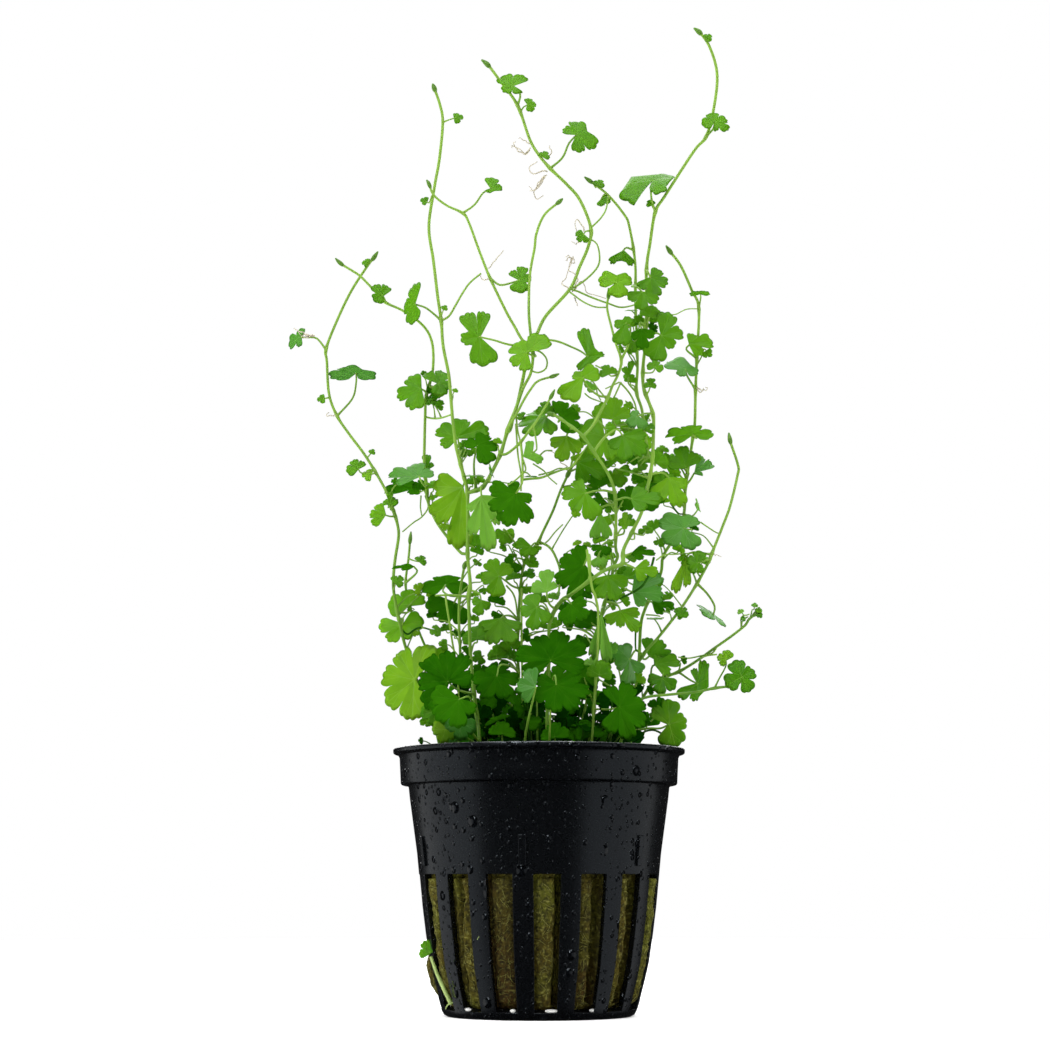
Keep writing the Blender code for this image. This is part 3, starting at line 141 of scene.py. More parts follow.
def around(radius: np.ndarray | float, turns: np.ndarray, height: float) -> np.ndarray:
    """Points at a height round the pot's axis, by their angles from the viewer's side."""
    return np.column_stack((radius * np.sin(turns), -radius * np.cos(turns), np.full(len(turns), height)))


class Wire:
    """A value in a material's node tree. An expression on it adds the Math nodes it needs."""

    def __init__(self, shader: "Shader", socket: bpy.types.NodeSocket | None) -> None:
        """Keep the material and the output socket that gives the value."""
        self.shader = shader
        self.socket = socket

    def maths(self, operation: str, *values: "Wire | float") -> "Wire":
        """Math node on the values given, in their order."""
        return self.shader.node("ShaderNodeMath", {"operation": operation}, dict(enumerate(values)))

    def __add__(self, other: "Wire | float") -> "Wire":
        """Sum."""
        return self.maths("ADD", self, other)

    __radd__ = __add__

    def __sub__(self, other: "Wire | float") -> "Wire":
        """Difference."""
        return self.maths("SUBTRACT", self, other)

    def __rsub__(self, other: float) -> "Wire":
        """Difference from a number."""
        return self.maths("SUBTRACT", other, self)

    def __mul__(self, other: "Wire | float") -> "Wire":
        """Product."""
        return self.maths("MULTIPLY", self, other)

    __rmul__ = __mul__

    def __truediv__(self, other: "Wire | float") -> "Wire":
        """Quotient."""
        return self.maths("DIVIDE", self, other)

    def __pow__(self, other: float) -> "Wire":
        """Power."""
        return self.maths("POWER", self, other)

    def __abs__(self) -> "Wire":
        """Size without its sign."""
        return self.maths("ABSOLUTE", self)

    def above(self, other: "Wire | float") -> "Wire":
        """One where this is more than the other, and else nothing."""
        return self.maths("GREATER_THAN", self, other)

    def least(self, other: "Wire | float") -> "Wire":
        """The smaller of this and the other."""
        return self.maths("MINIMUM", self, other)

    def most(self, other: "Wire | float") -> "Wire":
        """The larger of this and the other."""
        return self.maths("MAXIMUM", self, other)

    def ramp(self, low: float, high: float) -> "Wire":
        """Smooth rise from nothing at low to one at high."""
        settings = {"interpolation_type": "SMOOTHSTEP"}
        return self.shader.node("ShaderNodeMapRange", settings, {0: self, 1: low, 2: high, 3: 0.0, 4: 1.0})


class Shader:
    """A material whose nodes are added through one method."""

    def __init__(self, name: str) -> None:
        """Start an empty material.

        Args:
            name: Name of the material.
        """
        self.material = bpy.data.materials.new(name)
        self.material.use_nodes = True
        self.tree = self.material.node_tree
        self.tree.nodes.clear()

    def node(self, kind: str, settings: dict | None = None, sockets: dict | None = None,
             output: int | str = 0) -> Wire:
        """Add a node.

        Args:
            kind: Type of the node.
            settings: Its properties, with a ramp's stops as a list of (place, colour).
            sockets: Values or wires by the name or number of the input they go to.
            output: The output that the result stands for.

        Returns:
            That output.
        """
        made = self.tree.nodes.new(kind)
        for key, value in (settings or {}).items():
            if key == "stops":
                for index, (at, stop) in enumerate(value):
                    spots = made.color_ramp.elements
                    spot = spots[index] if index < 2 else spots.new(at)
                    spot.position = at
                    spot.color = (*stop, 1.0)
            else:
                setattr(made, key, value)
        for key, value in (sockets or {}).items():
            if isinstance(value, Wire):
                self.tree.links.new(value.socket, made.inputs[key])
            else:
                made.inputs[key].default_value = value
        return Wire(self, made.outputs[output] if made.outputs else None)

    def blend(self, first: "Wire | Colour", second: "Wire | Colour", share: "Wire | float") -> Wire:
        """Blend two colours.

        Args:
            first: The colour at nothing.
            second: The colour at one.
            share: How far the result is towards the second.

        Returns:
            The colour between them.
        """
        ends = [end if isinstance(end, Wire) else (*end, 1.0) for end in (first, second)]
        sockets = {0: share, 6: ends[0], 7: ends[1]}
        return self.node("ShaderNodeMix", {"data_type": "RGBA"}, sockets, 2)

    def attribute(self, name: str) -> Wire:
        """A number that the mesh holds for each of its points."""
        return self.node("ShaderNodeAttribute", {"attribute_name": name}, None, "Fac")

    def spots(self, stretch: Spot = (1.0, 1.0, 1.0)) -> Wire:
        """Place on the object in metres, stretched along each axis."""
        at = self.node("ShaderNodeTexCoord", None, None, "Object")
        return self.node("ShaderNodeMapping", None, {"Vector": at, "Scale": stretch})

    def noise(self, pitch: float, detail: float = 3.0, stretch: Spot = (1.0, 1.0, 1.0)) -> Wire:
        """Cloudy noise from 0 to 1 whose lumps are pitch millimetres apart."""
        sockets = {"Vector": self.spots(stretch), "Scale": 1.0 / (pitch * MM), "Detail": detail}
        return self.node("ShaderNodeTexNoise", None, sockets)

    def finish(self, surface: Wire) -> bpy.types.Material:
        """Give the surface to the material and return it."""
        self.node("ShaderNodeOutputMaterial", None, {"Surface": surface})
        return self.material


@dataclass(frozen=True)
class LeafFinish:
    """Colours of a leaf, by how it stands in the light.

    Attributes:
        face: Colour of the blade.
        vein: Colour of its veins.
        through: Light that the blade lets through from behind.
        passing: Share of the light that goes through.
        relief: Height of the veins and the grain in the blade, in millimetres.
        sheen: How much its surface reflects.
    """

    face: Colour
    vein: Colour
    through: Colour
    passing: float = 0.4
    relief: float = 0.1
    sheen: float = 0.1

    def material(self, name: str) -> bpy.types.Material:
        """Blade with branching veins, mottled colour and light through it.

        Args:
            name: Name of the material.

        Returns:
            The material.
        """
        shader = Shader(name)
        along = shader.attribute("along")
        beside = abs(shader.attribute("beside"))
        tone = shader.attribute("tone")
        middle = 1.0 - (beside * along / 0.035).least(1.0)
        branch = abs(beside - (along - 0.3).most(0.0) * 0.8)
        side = (1.0 - (branch * along / 0.03).least(1.0)) * along.ramp(0.3, 0.4)
        vein = middle.most(side * 0.7) * (1.0 - along.ramp(0.75, 1.0) * 0.6)
        cloud = shader.noise(2.4)
        grain = shader.noise(0.35, 2.0)
        # Random mottling, plus the tone attribute, which also carries painted shade and light by height.
        light = (cloud - 0.5) * 0.8 + (grain - 0.5) * 0.3 + tone * 0.4 + 0.5
        red, green, blue = self.face
        dark = (red * 0.42, green * 0.6, blue * 0.5)
        bright = (min(red * 1.5, 1.0), green * 1.28, blue * 1.7)
        blade = shader.blend(dark, bright, light.most(0.0).least(1.0))
        blade = shader.blend(blade, self.vein, vein * 0.45)
        height = vein * -0.7 + grain * 0.35 + cloud * 0.5
        bump = shader.node("ShaderNodeBump", None, {
            "Height": height, "Strength": 0.6, "Distance": self.relief * MM})
        gloss = 0.42 + (cloud - 0.5) * 0.25
        face = shader.node("ShaderNodeBsdfPrincipled", None, {
            "Base Color": blade, "Roughness": gloss, "Normal": bump, "Specular IOR Level": self.sheen})
        behind = shader.node("ShaderNodeBsdfTranslucent", None, {
            "Color": (*self.through, 1.0), "Normal": bump})
        return shader.finish(shader.node("ShaderNodeMixShader", None, {
            0: self.passing, 1: face, 2: behind}))


class Tint(Enum):
    """Finishes of the leaves, partly lit and shaded copies of one green: from those that the light shines
    through to those in painted shade.
    """

    BRIGHT = LeafFinish(colour(106, 164, 20), colour(150, 195, 70), colour(125, 190, 0), 0.42)
    MID = LeafFinish(colour(86, 148, 14), colour(128, 180, 58), colour(100, 170, 0), 0.38)
    # DARK is partly painted shade, for leaves in the shade of the foliage; DEEP is painted shade for the
    # crown in the pot's mouth.
    DARK = LeafFinish(colour(50, 114, 7), colour(70, 132, 26), colour(60, 144, 0), 0.32, sheen=0.0)
    DEEP = LeafFinish(colour(16, 64, 3), colour(28, 80, 10), colour(20, 80, 0), 0.2, sheen=0.0)
    YELLOW = LeafFinish(colour(114, 164, 24), colour(158, 196, 76), colour(138, 194, 0), 0.42)
    # BLUISH paints a bluish sheen into the blade's colour, beside its real gloss.
    BLUISH = LeafFinish(colour(80, 146, 42), colour(128, 184, 92), colour(84, 165, 10), 0.32, sheen=0.24)
    PALE = LeafFinish(colour(116, 176, 54), colour(160, 204, 108), colour(124, 190, 20), 0.4)


@dataclass(frozen=True)
class StemFinish:
    """Colours of a stem.

    Attributes:
        skin: Colour of the stem.
        streak: Colour of the darker streaks along it.
        through: Light that it lets through from behind.
        sheen: How much its surface reflects.
    """

    skin: Colour
    streak: Colour
    through: Colour
    sheen: float = 0.25

    def material(self, name: str) -> bpy.types.Material:
        """Smooth juicy stem that lets a little light through.

        Args:
            name: Name of the material.

        Returns:
            The material.
        """
        shader = Shader(name)
        tone = shader.attribute("tone")
        cloud = shader.noise(3.0, 3.0, (1.0, 1.0, 0.35))
        share = (cloud - 0.42) * 1.6 - tone * 0.5
        skin = shader.blend(self.skin, self.streak, share.most(0.0).least(1.0))
        bump = shader.node("ShaderNodeBump", None, {
            "Height": shader.noise(0.3, 2.0, (1.0, 1.0, 0.2)), "Strength": 0.3, "Distance": 0.05 * MM})
        face = shader.node("ShaderNodeBsdfPrincipled", None, {
            "Base Color": skin, "Roughness": 0.42 + cloud * 0.15, "Normal": bump,
            "Specular IOR Level": self.sheen})
        behind = shader.node("ShaderNodeBsdfTranslucent", None, {"Color": (*self.through, 1.0)})
        return shader.finish(shader.node("ShaderNodeMixShader", None, {0: 0.25, 1: face, 2: behind}))


class Skin(Enum):
    """Finishes of the stems and roots."""

    GREEN = StemFinish(colour(138, 178, 66), colour(84, 132, 34), colour(150, 190, 50))
    SHADE = StemFinish(colour(48, 98, 22), colour(24, 58, 12), colour(50, 110, 12), 0.0)
    BUD = StemFinish(colour(92, 138, 40), colour(48, 92, 24), colour(90, 140, 20))
    PALE = StemFinish(colour(178, 200, 122), colour(128, 158, 78), colour(180, 205, 110))
    ROOT = StemFinish(colour(204, 198, 176), colour(184, 172, 146), colour(212, 206, 188))


@dataclass(frozen=True)
class PotFinish:
    """Black moulded plastic with round beads in low relief, closer together on the left.

    Attributes:
        plastic: Colour of the plastic.
        beads: For each size of bead, how far apart they lie in millimetres and how rare they are.
        bead_height: Height of a bead beside its radius.
        thinning: Places across the pot between which the beads get rarer.
    """

    plastic: Colour = colour(5, 6, 8)
    beads: tuple[tuple[float, float], ...] = ((3.0, 0.9), (1.7, 0.6), (0.95, 0.4))
    bead_height: float = 0.9
    thinning: tuple[float, float] = (-16.0, -6.0)

    def material(self, name: str) -> bpy.types.Material:
        """Black plastic, glossier on its beads.

        Args:
            name: Name of the material.

        Returns:
            The material.
        """
        shader = Shader(name)
        side = shader.node("ShaderNodeSeparateXYZ", None, {0: shader.spots()}, "X") / MM
        where = shader.noise(14.0, 2.0) * 0.9 - 0.35 - side.ramp(*self.thinning) * 0.3
        relief = None
        for pitch, rarity in self.beads:
            sockets = {"Vector": shader.spots((1.0, 1.0, 0.9)), "Scale": 1.0 / (pitch * MM)}
            cell = shader.node("ShaderNodeTexVoronoi", None, sockets, "Distance")
            chance = Wire(shader, cell.socket.node.outputs["Color"])
            size = shader.node("ShaderNodeSeparateColor", None, {0: chance})
            radius = 0.16 + size * size * 0.19
            cap = (1.0 - (cell / radius) ** 2.0).most(0.0) ** 0.5
            bead = cap * radius * (size + where).above(rarity - 0.25) * (pitch * self.bead_height)
            relief = bead if relief is None else relief.most(bead)
        beaded = (relief / 0.03).least(1.0)
        grain = shader.noise(0.5, 2.0)
        bump = shader.node("ShaderNodeBump", None, {
            "Height": relief + grain * 0.01, "Strength": 1.0, "Distance": 1.0 * MM})
        look = {"Base Color": (*self.plastic, 1.0), "Specular Tint": (0.8, 0.9, 1.0, 1.0), "Normal": bump}
        plain, bead = (shader.node("ShaderNodeBsdfPrincipled", None, look | own) for own in (
            {"Roughness": 0.28 + (grain - 0.5) * 0.08, "Specular IOR Level": 0.5},
            {"Roughness": 0.08, "Specular IOR Level": 0.35}))
        return shader.finish(shader.node("ShaderNodeMixShader", None, {0: beaded, 1: plain, 2: bead}))


@dataclass(frozen=True)
class WoolFinish:
    """Damp mineral wool, grown over with green and stained brown."""

    green: Colour = colour(76, 78, 18)
    brown: Colour = colour(66, 44, 10)
    light: Colour = colour(138, 136, 70)
    # Colour of the painted shade in the hollows and in the shaded slots.
    deep: Colour = colour(18, 16, 2)

    def material(self, name: str) -> bpy.types.Material:
        """Fibrous, patchy wool, browner where the mesh's stain says so, with painted shade in its hollows and
        where the mesh's shade says so.

        Args:
            name: Name of the material.

        Returns:
            The material.
        """
        shader = Shader(name)
        patch = shader.noise(9.0, 3.0).ramp(0.44, 0.62) * 0.4 + shader.attribute("stain")
        strand = shader.noise(0.42, 3.0, (1.0, 1.0, 0.45))
        across = shader.noise(0.5, 3.0, (0.5, 1.0, 1.0))
        crumb = shader.noise(0.8, 4.0)
        base = shader.blend(self.green, self.brown, patch.least(1.0))
        # Painted shade: darker where the crumb relief is low, in its hollows.
        base = shader.blend(base, self.deep, (1.0 - crumb.ramp(0.3, 0.62)) * 0.75)
        base = shader.blend(base, self.light, strand.most(across).ramp(0.55, 0.75) * 0.6)
        # Painted shade from the mesh's shade attribute.
        base = shader.blend(base, self.deep, shader.attribute("shade"))
        bump = shader.node("ShaderNodeBump", None, {
            "Height": strand * 0.6 + crumb, "Strength": 1.0, "Distance": 0.35 * MM})
        return shader.finish(shader.node("ShaderNodeBsdfPrincipled", None, {
            "Base Color": base, "Roughness": 0.7 + crumb * 0.2, "Specular IOR Level": 0.1, "Normal": bump}))


class Sketch:
    """A mesh in the making: points in millimetres, faces, and numbers kept for each point."""

    def __init__(self) -> None:
        """Start with no points."""
        self.points: list[np.ndarray] = []
        self.faces: list[tuple[int, ...]] = []
        self.finishes: list[int] = []
        self.values: list[dict[str, np.ndarray]] = []
        self.count = 0

    def add(self, points: np.ndarray, faces: Sequence[Sequence[int]], finish: int = 0,
            **values: np.ndarray | float) -> None:
        """Add points with the faces between them.

        Args:
            points: Places in millimetres, one to a row.
            faces: Numbers of each face's points, counted within these points.
            finish: Which of the object's materials the faces get.
            **values: A number, or one for each point, for each attribute.
        """
        self.points.append(points)
        self.faces += [tuple(index + self.count for index in face) for face in faces]
        self.finishes += [finish] * len(faces)
        self.values.append({key: np.broadcast_to(value, len(points)) for key, value in values.items()})
        self.count += len(points)

    def tube(self, path: np.ndarray, radius: np.ndarray | float, sides: int = 8, finish: int = 0,
             **values: np.ndarray | float) -> None:
        """Add a closed round tube along a path.

        Args:
            path: Points of its middle line.
            radius: Its radius, one number or one for each point of the path.
            sides: Number of points round it.
            finish: Which of the object's materials it gets.
            **values: A number, or one for each point of the path, for each attribute.
        """
        radii = np.broadcast_to(radius, len(path))
        spread = np.concatenate(([0], np.repeat(np.arange(len(path)), sides), [len(path) - 1]))
        values = {key: np.broadcast_to(value, len(path))[spread] for key, value in values.items()}
        forward = np.gradient(path, axis=0)
        across = unit(np.cross(forward[0], (0.31, 0.87, 0.38)))
        turn = np.arange(sides) * math.tau / sides
        rings = [path[0] - unit(forward[0]) * radii[0] * 0.5]
        for point, ahead, size in zip(path, forward, radii):
            ahead = unit(ahead)
            across = unit(across - ahead * across.dot(ahead))
            beside = np.cross(ahead, across)
            rings.append(point + (np.outer(np.cos(turn), across) + np.outer(np.sin(turn), beside)) * size)
        rings.append(path[-1] + unit(forward[-1]) * radii[-1] * 0.5)
        last = len(path) * sides + 1
        faces = fan(0, 1, sides) + fan(last, last - sides, sides)
        for low in range(1, last - sides, sides):
            faces += band(low, low + sides, sides)
        self.add(np.vstack(rings), faces, finish, **values)

    def build(self, name: str, materials: Sequence[bpy.types.Material], body: str, slot: str,
              sharp: float | None = None) -> bpy.types.Object:
        """Make the object and let it ride on its body.

        Args:
            name: Name of the piece.
            materials: The materials that the finishes number.
            body: The body that carries it.
            slot: Not used.
            sharp: Angle in degrees above which an edge stays sharp, or None for all smooth.

        Returns:
            The object.
        """
        mesh = bpy.data.meshes.new(name)
        mesh.from_pydata((np.vstack(self.points) * MM).tolist(), [], self.faces)
        mesh.polygons.foreach_set("material_index", self.finishes)
        for key in sorted({key for part in self.values for key in part}):
            runs = [part.get(key, np.zeros(len(rows))) for part, rows in zip(self.values, self.points)]
            mesh.attributes.new(key, "FLOAT", "POINT").data.foreach_set("value", np.concatenate(runs))
        bm = bmesh.new()
        bm.from_mesh(mesh)
        bmesh.ops.delete(bm, geom=[vert for vert in bm.verts if not vert.link_faces], context="VERTS")
        bmesh.ops.recalc_face_normals(bm, faces=bm.faces)
        bm.to_mesh(mesh)
        bm.free()
        mesh.shade_smooth()
        if sharp is not None:
            mesh.set_sharp_from_angle(angle=math.radians(sharp))
        for material in materials:
            mesh.materials.append(material)
        piece = bpy.data.objects.new(name, mesh)
        bpy.context.scene.collection.objects.link(piece)
        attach(piece, body)
        return piece


@dataclass(frozen=True)
class Stem:
    """A runner or shoot.

    Attributes:
        name: Name of the stem. Its node's name has stem_ before it.
        radius: Its radius at the foot.
        foot: Where it stands on the wool as (x, y), or None if it grows from another stem.
        route: The spots that it passes.
    """

    name: str
    radius: float
    foot: tuple[float, float] | None
    route: tuple[Spot, ...]


@dataclass(frozen=True)
class LobeSet:
    """Lobes of a leaf by their bearings in its own plane, as (bearing, reach) pairs."""

    pairs: tuple[tuple[float, float], ...]

    @classmethod
    def three(cls, bearing: float, turns: Sequence[float], reaches: Sequence[float]) -> "LobeSet":
        """Middle lobe at a bearing and two that are turned from it, with the reach of each."""
        return cls(tuple(zip((bearing - turns[0], bearing, bearing + turns[1]), reaches)))


@dataclass(frozen=True)
class Leaf:
    """A three-lobed leaf on its stalk.

    Attributes:
        name: Name of the leaf. If it is a piece of its own, its node's name has leaf_ before that.
        stem: The stem that carries it.
        hub: Spot where the stalk meets the blade.
        facing: The way the upper face looks, as turn and tilt in degrees.
        lobes: Places of the lobe tips as seen, or a LobeSet.
        stalk: Spots of the stalk from the hub to its joint.
        cleft: Depth of the clefts, as the share of the reach that is left there.
        own: Whether the leaf is a piece of its own.
        spread: Most that a lobe spreads to each side, in degrees.
    """

    name: str
    stem: str
    hub: Spot
    facing: tuple[float, float]
    lobes: tuple[tuple[float, float], ...] | LobeSet
    stalk: tuple[Spot, ...]
    cleft: float = 0.35
    own: bool = False
    spread: float = 40.0

    def axes(self) -> tuple[np.ndarray, np.ndarray, np.ndarray]:
        """Directions of the blade.

        Returns:
            Its sideways, upward and facing directions.
        """
        turn, tilt = np.radians(self.facing)
        normal = np.array((math.sin(turn) * math.cos(tilt), -math.cos(turn) * math.cos(tilt), math.sin(tilt)))
        upward = np.array((-math.sin(turn) * math.sin(tilt), math.cos(turn) * math.sin(tilt), math.cos(tilt)))
        return np.cross(upward, normal), upward, normal

    def polar(self) -> list[tuple[float, float]]:
        """Lobes in the plane of the blade.

        Returns:
            Angle and reach of each lobe.
        """
        if isinstance(self.lobes, LobeSet):
            return [(math.radians(bearing), reach) for bearing, reach in self.lobes.pairs]
        sideways, upward, normal = self.axes()
        hub = place(*self.hub)
        found = []
        for across, up in self.lobes:
            sight = np.array((across, 0.0, up)) - EYE
            reach = sight * (normal.dot(hub - EYE) / normal.dot(sight)) + EYE - hub
            found.append((math.atan2(reach.dot(upward), reach.dot(sideways)), float(np.linalg.norm(reach))))
        return found


STEMS = (
    Stem("left_tall", 0.38, (-10.5, -9), ((-11.3, 52, -8), (-12.3, 60, -6), (-13, 67.5, -5), (-13.3, 75, -5),
        (-13.4, 78.5, -5), (-13.1, 81, -4.8), (-13.6, 86.2, -4), (-13.6, 91, -4), (-13.7, 98.5, -4),
        (-14.2, 101, -4), (-15, 104, -4), (-15.9, 107.5, -4), (-16.5, 112, -3.5), (-17, 117.6, -3),
        (-17.4, 121.8, -3), (-18.5, 127.4, -2.5), (-18.9, 132.4, -2), (-19.6, 137.2, -2),
        (-20.5, 144.5, -1.5), (-21.4, 151.2, -1), (-20.4, 158.9, -0.5), (-19.4, 165, 0), (-18.8, 172.3, 0),
        (-19.4, 176, 0), (-20.7, 179.8, 0))),
    Stem("left_second", 0.34, (-13.5, 0.5), ((-14.3, 55, 0), (-14.8, 62, 0), (-15, 69, 0), (-15.2, 73, -0.5),
        (-15.2, 77, -1), (-14.8, 81, -2), (-14.1, 85.1, -3.2))),
    Stem("left_inner", 0.32, None, ((-14.7, 86.8, -3.2), (-16.3, 88.5, -1), (-18.5, 91.3, 0.5),
        (-20, 93.7, 1), (-21.3, 97, 1.5), (-21.5, 99.8, 2), (-22, 103, 2.5), (-22, 108, 2.2),
        (-21.9, 113.4, 2), (-21.7, 117.6, 2), (-20.5, 122.4, 2), (-20.6, 127.8, 2), (-22.3, 131.3, 2),
        (-26.2, 134.3, 2), (-29.8, 136.1, 2), (-32.1, 138.6, 2.5), (-34.6, 141.2, 3), (-36, 142.2, 3),
        (-39.1, 144.1, 3))),
    Stem("far_left", 0.34, (-17.5, 1), ((-19.2, 52, 1), (-20.3, 54.5, 1), (-21.5, 57.5, 2), (-23, 62, 3),
        (-24.9, 67.5, 3), (-25.7, 70, 2), (-26.4, 73, 1), (-27.3, 77, 1), (-27.8, 81, 1), (-27.5, 85.5, 1.5),
        (-26.9, 89.5, 2), (-26.9, 91.5, 2), (-27.5, 94, 2.5), (-28.6, 97, 3), (-30, 100.2, 4),
        (-33.3, 105.7, 5), (-36.5, 110, 5.5), (-38.9, 113.6, 6), (-40.5, 117.9, 6), (-41, 124.3, 6),
        (-41.2, 126.7, 6), (-39.6, 131.3, 6), (-36.6, 138, 6), (-33.2, 143.5, 6), (-31.7, 145.4, 6))),
    Stem("left_pale", 0.3, (-14, 9), ((-16, 55, 9.5), (-19, 63, 9.5), (-22.5, 71, 8.5), (-24.4, 76, 7),
        (-25.3, 79.5, 6), (-25.4, 82, 4.5), (-24.9, 86, 1.5), (-24.6, 90, 1))),
    Stem("centre_tall", 0.38, None, ((-12.5, 98.9, -4.6), (-10.8, 99.6, -5), (-9.3, 102, -5), (-7.4, 106, -5),
        (-6.5, 109, -5), (-5.6, 112, -5), (-4.2, 115.6, -5), (-3.3, 119.6, -4.8), (-2.8, 122.1, -4.5),
        (-1.8, 127.5, -4), (-0.4, 129.6, -3.5), (1.4, 133.3, -3), (6.1, 138.7, -2.5), (8, 143.1, -2),
        (9.7, 147.2, -2), (10.2, 150.9, -2), (8.1, 156.5, -1.5), (5.5, 159.7, -1), (2.3, 162.9, -1),
        (0.1, 165.6, -0.5), (-1.7, 168.8, 0), (-4.1, 175.7, 0), (-7.3, 180.4, 0), (-10.3, 184.6, 0))),
    Stem("left_centre", 0.3, None, ((-3, 128.4, -3.5), (-4.7, 131.3, -3), (-6.4, 134.4, -3),
        (-9.4, 140.8, -3), (-11.4, 145.9, -3), (-13.6, 152, -3), (-14.8, 153.9, -3), (-18, 155.5, -3),
        (-20.6, 157.7, -3), (-21.5, 160.3, -3))),
    Stem("centre_short", 0.32, None, ((-5.6, 110.8, -6.5), (-4.4, 114.8, -7), (-3, 119, -7),
        (-1.5, 122.1, -7), (-1.1, 126, -6.8), (-1.6, 130.2, -6.2), (-1.9, 134.4, -6), (-1.7, 141.4, -5),
        (-0.8, 146.7, -5), (-0.4, 149.8, -5), (1.2, 153.6, -5), (4.5, 156.5, -5))),
    Stem("centre_shoot", 0.28, None, ((-5.8, 111.2, -8.1), (-4, 114.5, -8.6), (-2.8, 116.8, -8.6),
        (-1.4, 119, -8.6), (0, 120.5, -8.6), (3.4, 121.5, -8.6))),
    Stem("centre_bud", 0.28, None, ((-6.3, 106.1, -6.2), (-5, 107, -7), (-3.5, 108.4, -8), (-2.3, 110, -9),
        (-0.8, 112, -9.5), (0.6, 114.2, -9.5), (2.8, 118, -9.5))),
    Stem("right_tall", 0.38, (1.5, -11), ((1.6, 58, -11), (1.9, 66, -11), (1.9, 71, -11), (2.2, 74, -11),
        (3.9, 77.2, -12), (6, 78.8, -13), (9.5, 81.4, -14), (12, 83.2, -14), (14.3, 84.2, -14),
        (16, 84.9, -13), (16.2, 87.5, -11.5), (17.8, 90.8, -10), (19.8, 95, -8), (21, 100, -5),
        (21.8, 104.5, -4), (22.1, 110, -3), (22, 114, -2.5), (20.3, 119, -2), (20.2, 123.2, -1.5),
        (20.6, 127.1, -1), (20.9, 133, 0.5), (21, 142.5, 1.5), (21.7, 147.6, 1), (22.8, 154.1, 0),
        (24.7, 157.3, 0), (30.5, 166.4, 0), (32.9, 169.3, 0), (34.4, 174.7, 0), (35.2, 181.9, 0),
        (33.8, 187.6, 0), (31.5, 191.2, 0))),
    Stem("arch", 0.32, None, ((21.2, 105.4, -2.6), (20.5, 110, -0.5), (19.9, 114.8, 0.8), (18.9, 118.2, 1.5),
        (19.1, 122.5, 2.2), (19.1, 126.6, 3), (18.8, 136, 4), (18.8, 143.9, 4), (17.7, 151.2, 3),
        (16.7, 153.6, 2.5), (13.5, 157.6, 2), (9.6, 160.7, 2))),
    Stem("right", 0.36, (13, 11), ((15.5, 54, 11.5), (17, 58, 11.5), (18.5, 62, 12), (19, 66, 12),
        (19.4, 73, 11.5), (20.2, 76, 11), (21.5, 79, 10.5), (23.3, 83, 9), (23.7, 86, 8), (25, 88.3, 8),
        (27, 91, 8.5), (27.9, 95, 9), (28.2, 100, 10), (29, 105, 10.5), (29.8, 110, 10.5), (30.1, 112.3, 10),
        (30.3, 118.7, 9.5), (30.6, 124.9, 9.5), (31.1, 134.7, 9.5), (29.8, 138.3, 9.5), (27.6, 143.4, 9.5),
        (25.2, 146.6, 9.5))),
    Stem("far_right", 0.34, (12, -2.5), ((14, 54, -2), (16, 60, -2), (18, 64.5, -1.5), (20.3, 68, -1.5),
        (22.4, 70.3, -1.5), (24.6, 73, -1), (27.3, 76.5, 0), (30.2, 81, 0.5), (32.3, 84.8, 1),
        (33.1, 86.8, 1.5), (35.2, 92, 2), (36.7, 96, 2), (38.2, 102, 3), (38.3, 103.9, 3), (36.6, 109.3, 3))),
    Stem("low_right", 0.34, (14.5, 4.5), ((16.5, 53, 4), (19, 58, 4), (22, 62.2, 3.5), (26.5, 64.1, 3),
        (30, 66.2, 3), (33.5, 68.7, 3), (36.5, 70.8, 3), (39.3, 73, 3), (39.9, 74, 3), (41.8, 75.6, 3))),
    Stem("bottom_right", 0.32, (14, -9.5), ((16, 53, -10), (18.5, 58, -10), (20.5, 59.3, -10), (25, 59.8, -9),
        (30, 60.3, -8), (33.3, 61, -8), (37, 61.4, -8))),
    Stem("centre_right", 0.36, (9.5, -3), ((10.6, 60, -4), (11.3, 70, -4.5), (12.2, 76, -5), (13.8, 81, -5.5),
        (14.2, 84, -6), (15.1, 86.2, -6.5), (14.7, 88, -6.5), (14.8, 95, -6.5), (14.5, 99, -7),
        (13.2, 102.5, -9), (11.3, 105.5, -10), (8.5, 109.6, -10), (6.5, 111.3, -9.5), (3.3, 113.6, -8.5),
        (2.2, 114, -7.5))),
    Stem("right_middle", 0.3, None, ((9.5, 110.5, -8.9), (10.6, 111.9, -8), (12, 114.5, -7),
        (13.4, 117.3, -6), (14.3, 119.6, -5.5), (15.4, 121.8, -5), (16, 124.5, -5), (15, 127.7, -5),
        (14.2, 130.8, -5), (13.3, 135, -4.5), (13.8, 138, -4.5))),
    Stem("centre_low", 0.34, (-3.5, 3.5), ((-3.6, 56, 3), (-3.9, 64, 3), (-4, 72, 3), (-3.5, 80, 3),
        (-3, 84, 2.5), (-1.8, 87, 2), (-0.3, 88.6, 2), (0.8, 91, 2), (2.7, 95, 2), (4.2, 99, 2),
        (5.9, 102.7, 2))),
    Stem("centre_arc", 0.28, None, ((0.9, 88.7, 1.5), (1.8, 88.2, 0), (2.8, 87, -1), (3.9, 84.3, -3.5),
        (4, 82.5, -5), (3.9, 80.2, -8.5), (3.7, 78.7, -11))),)

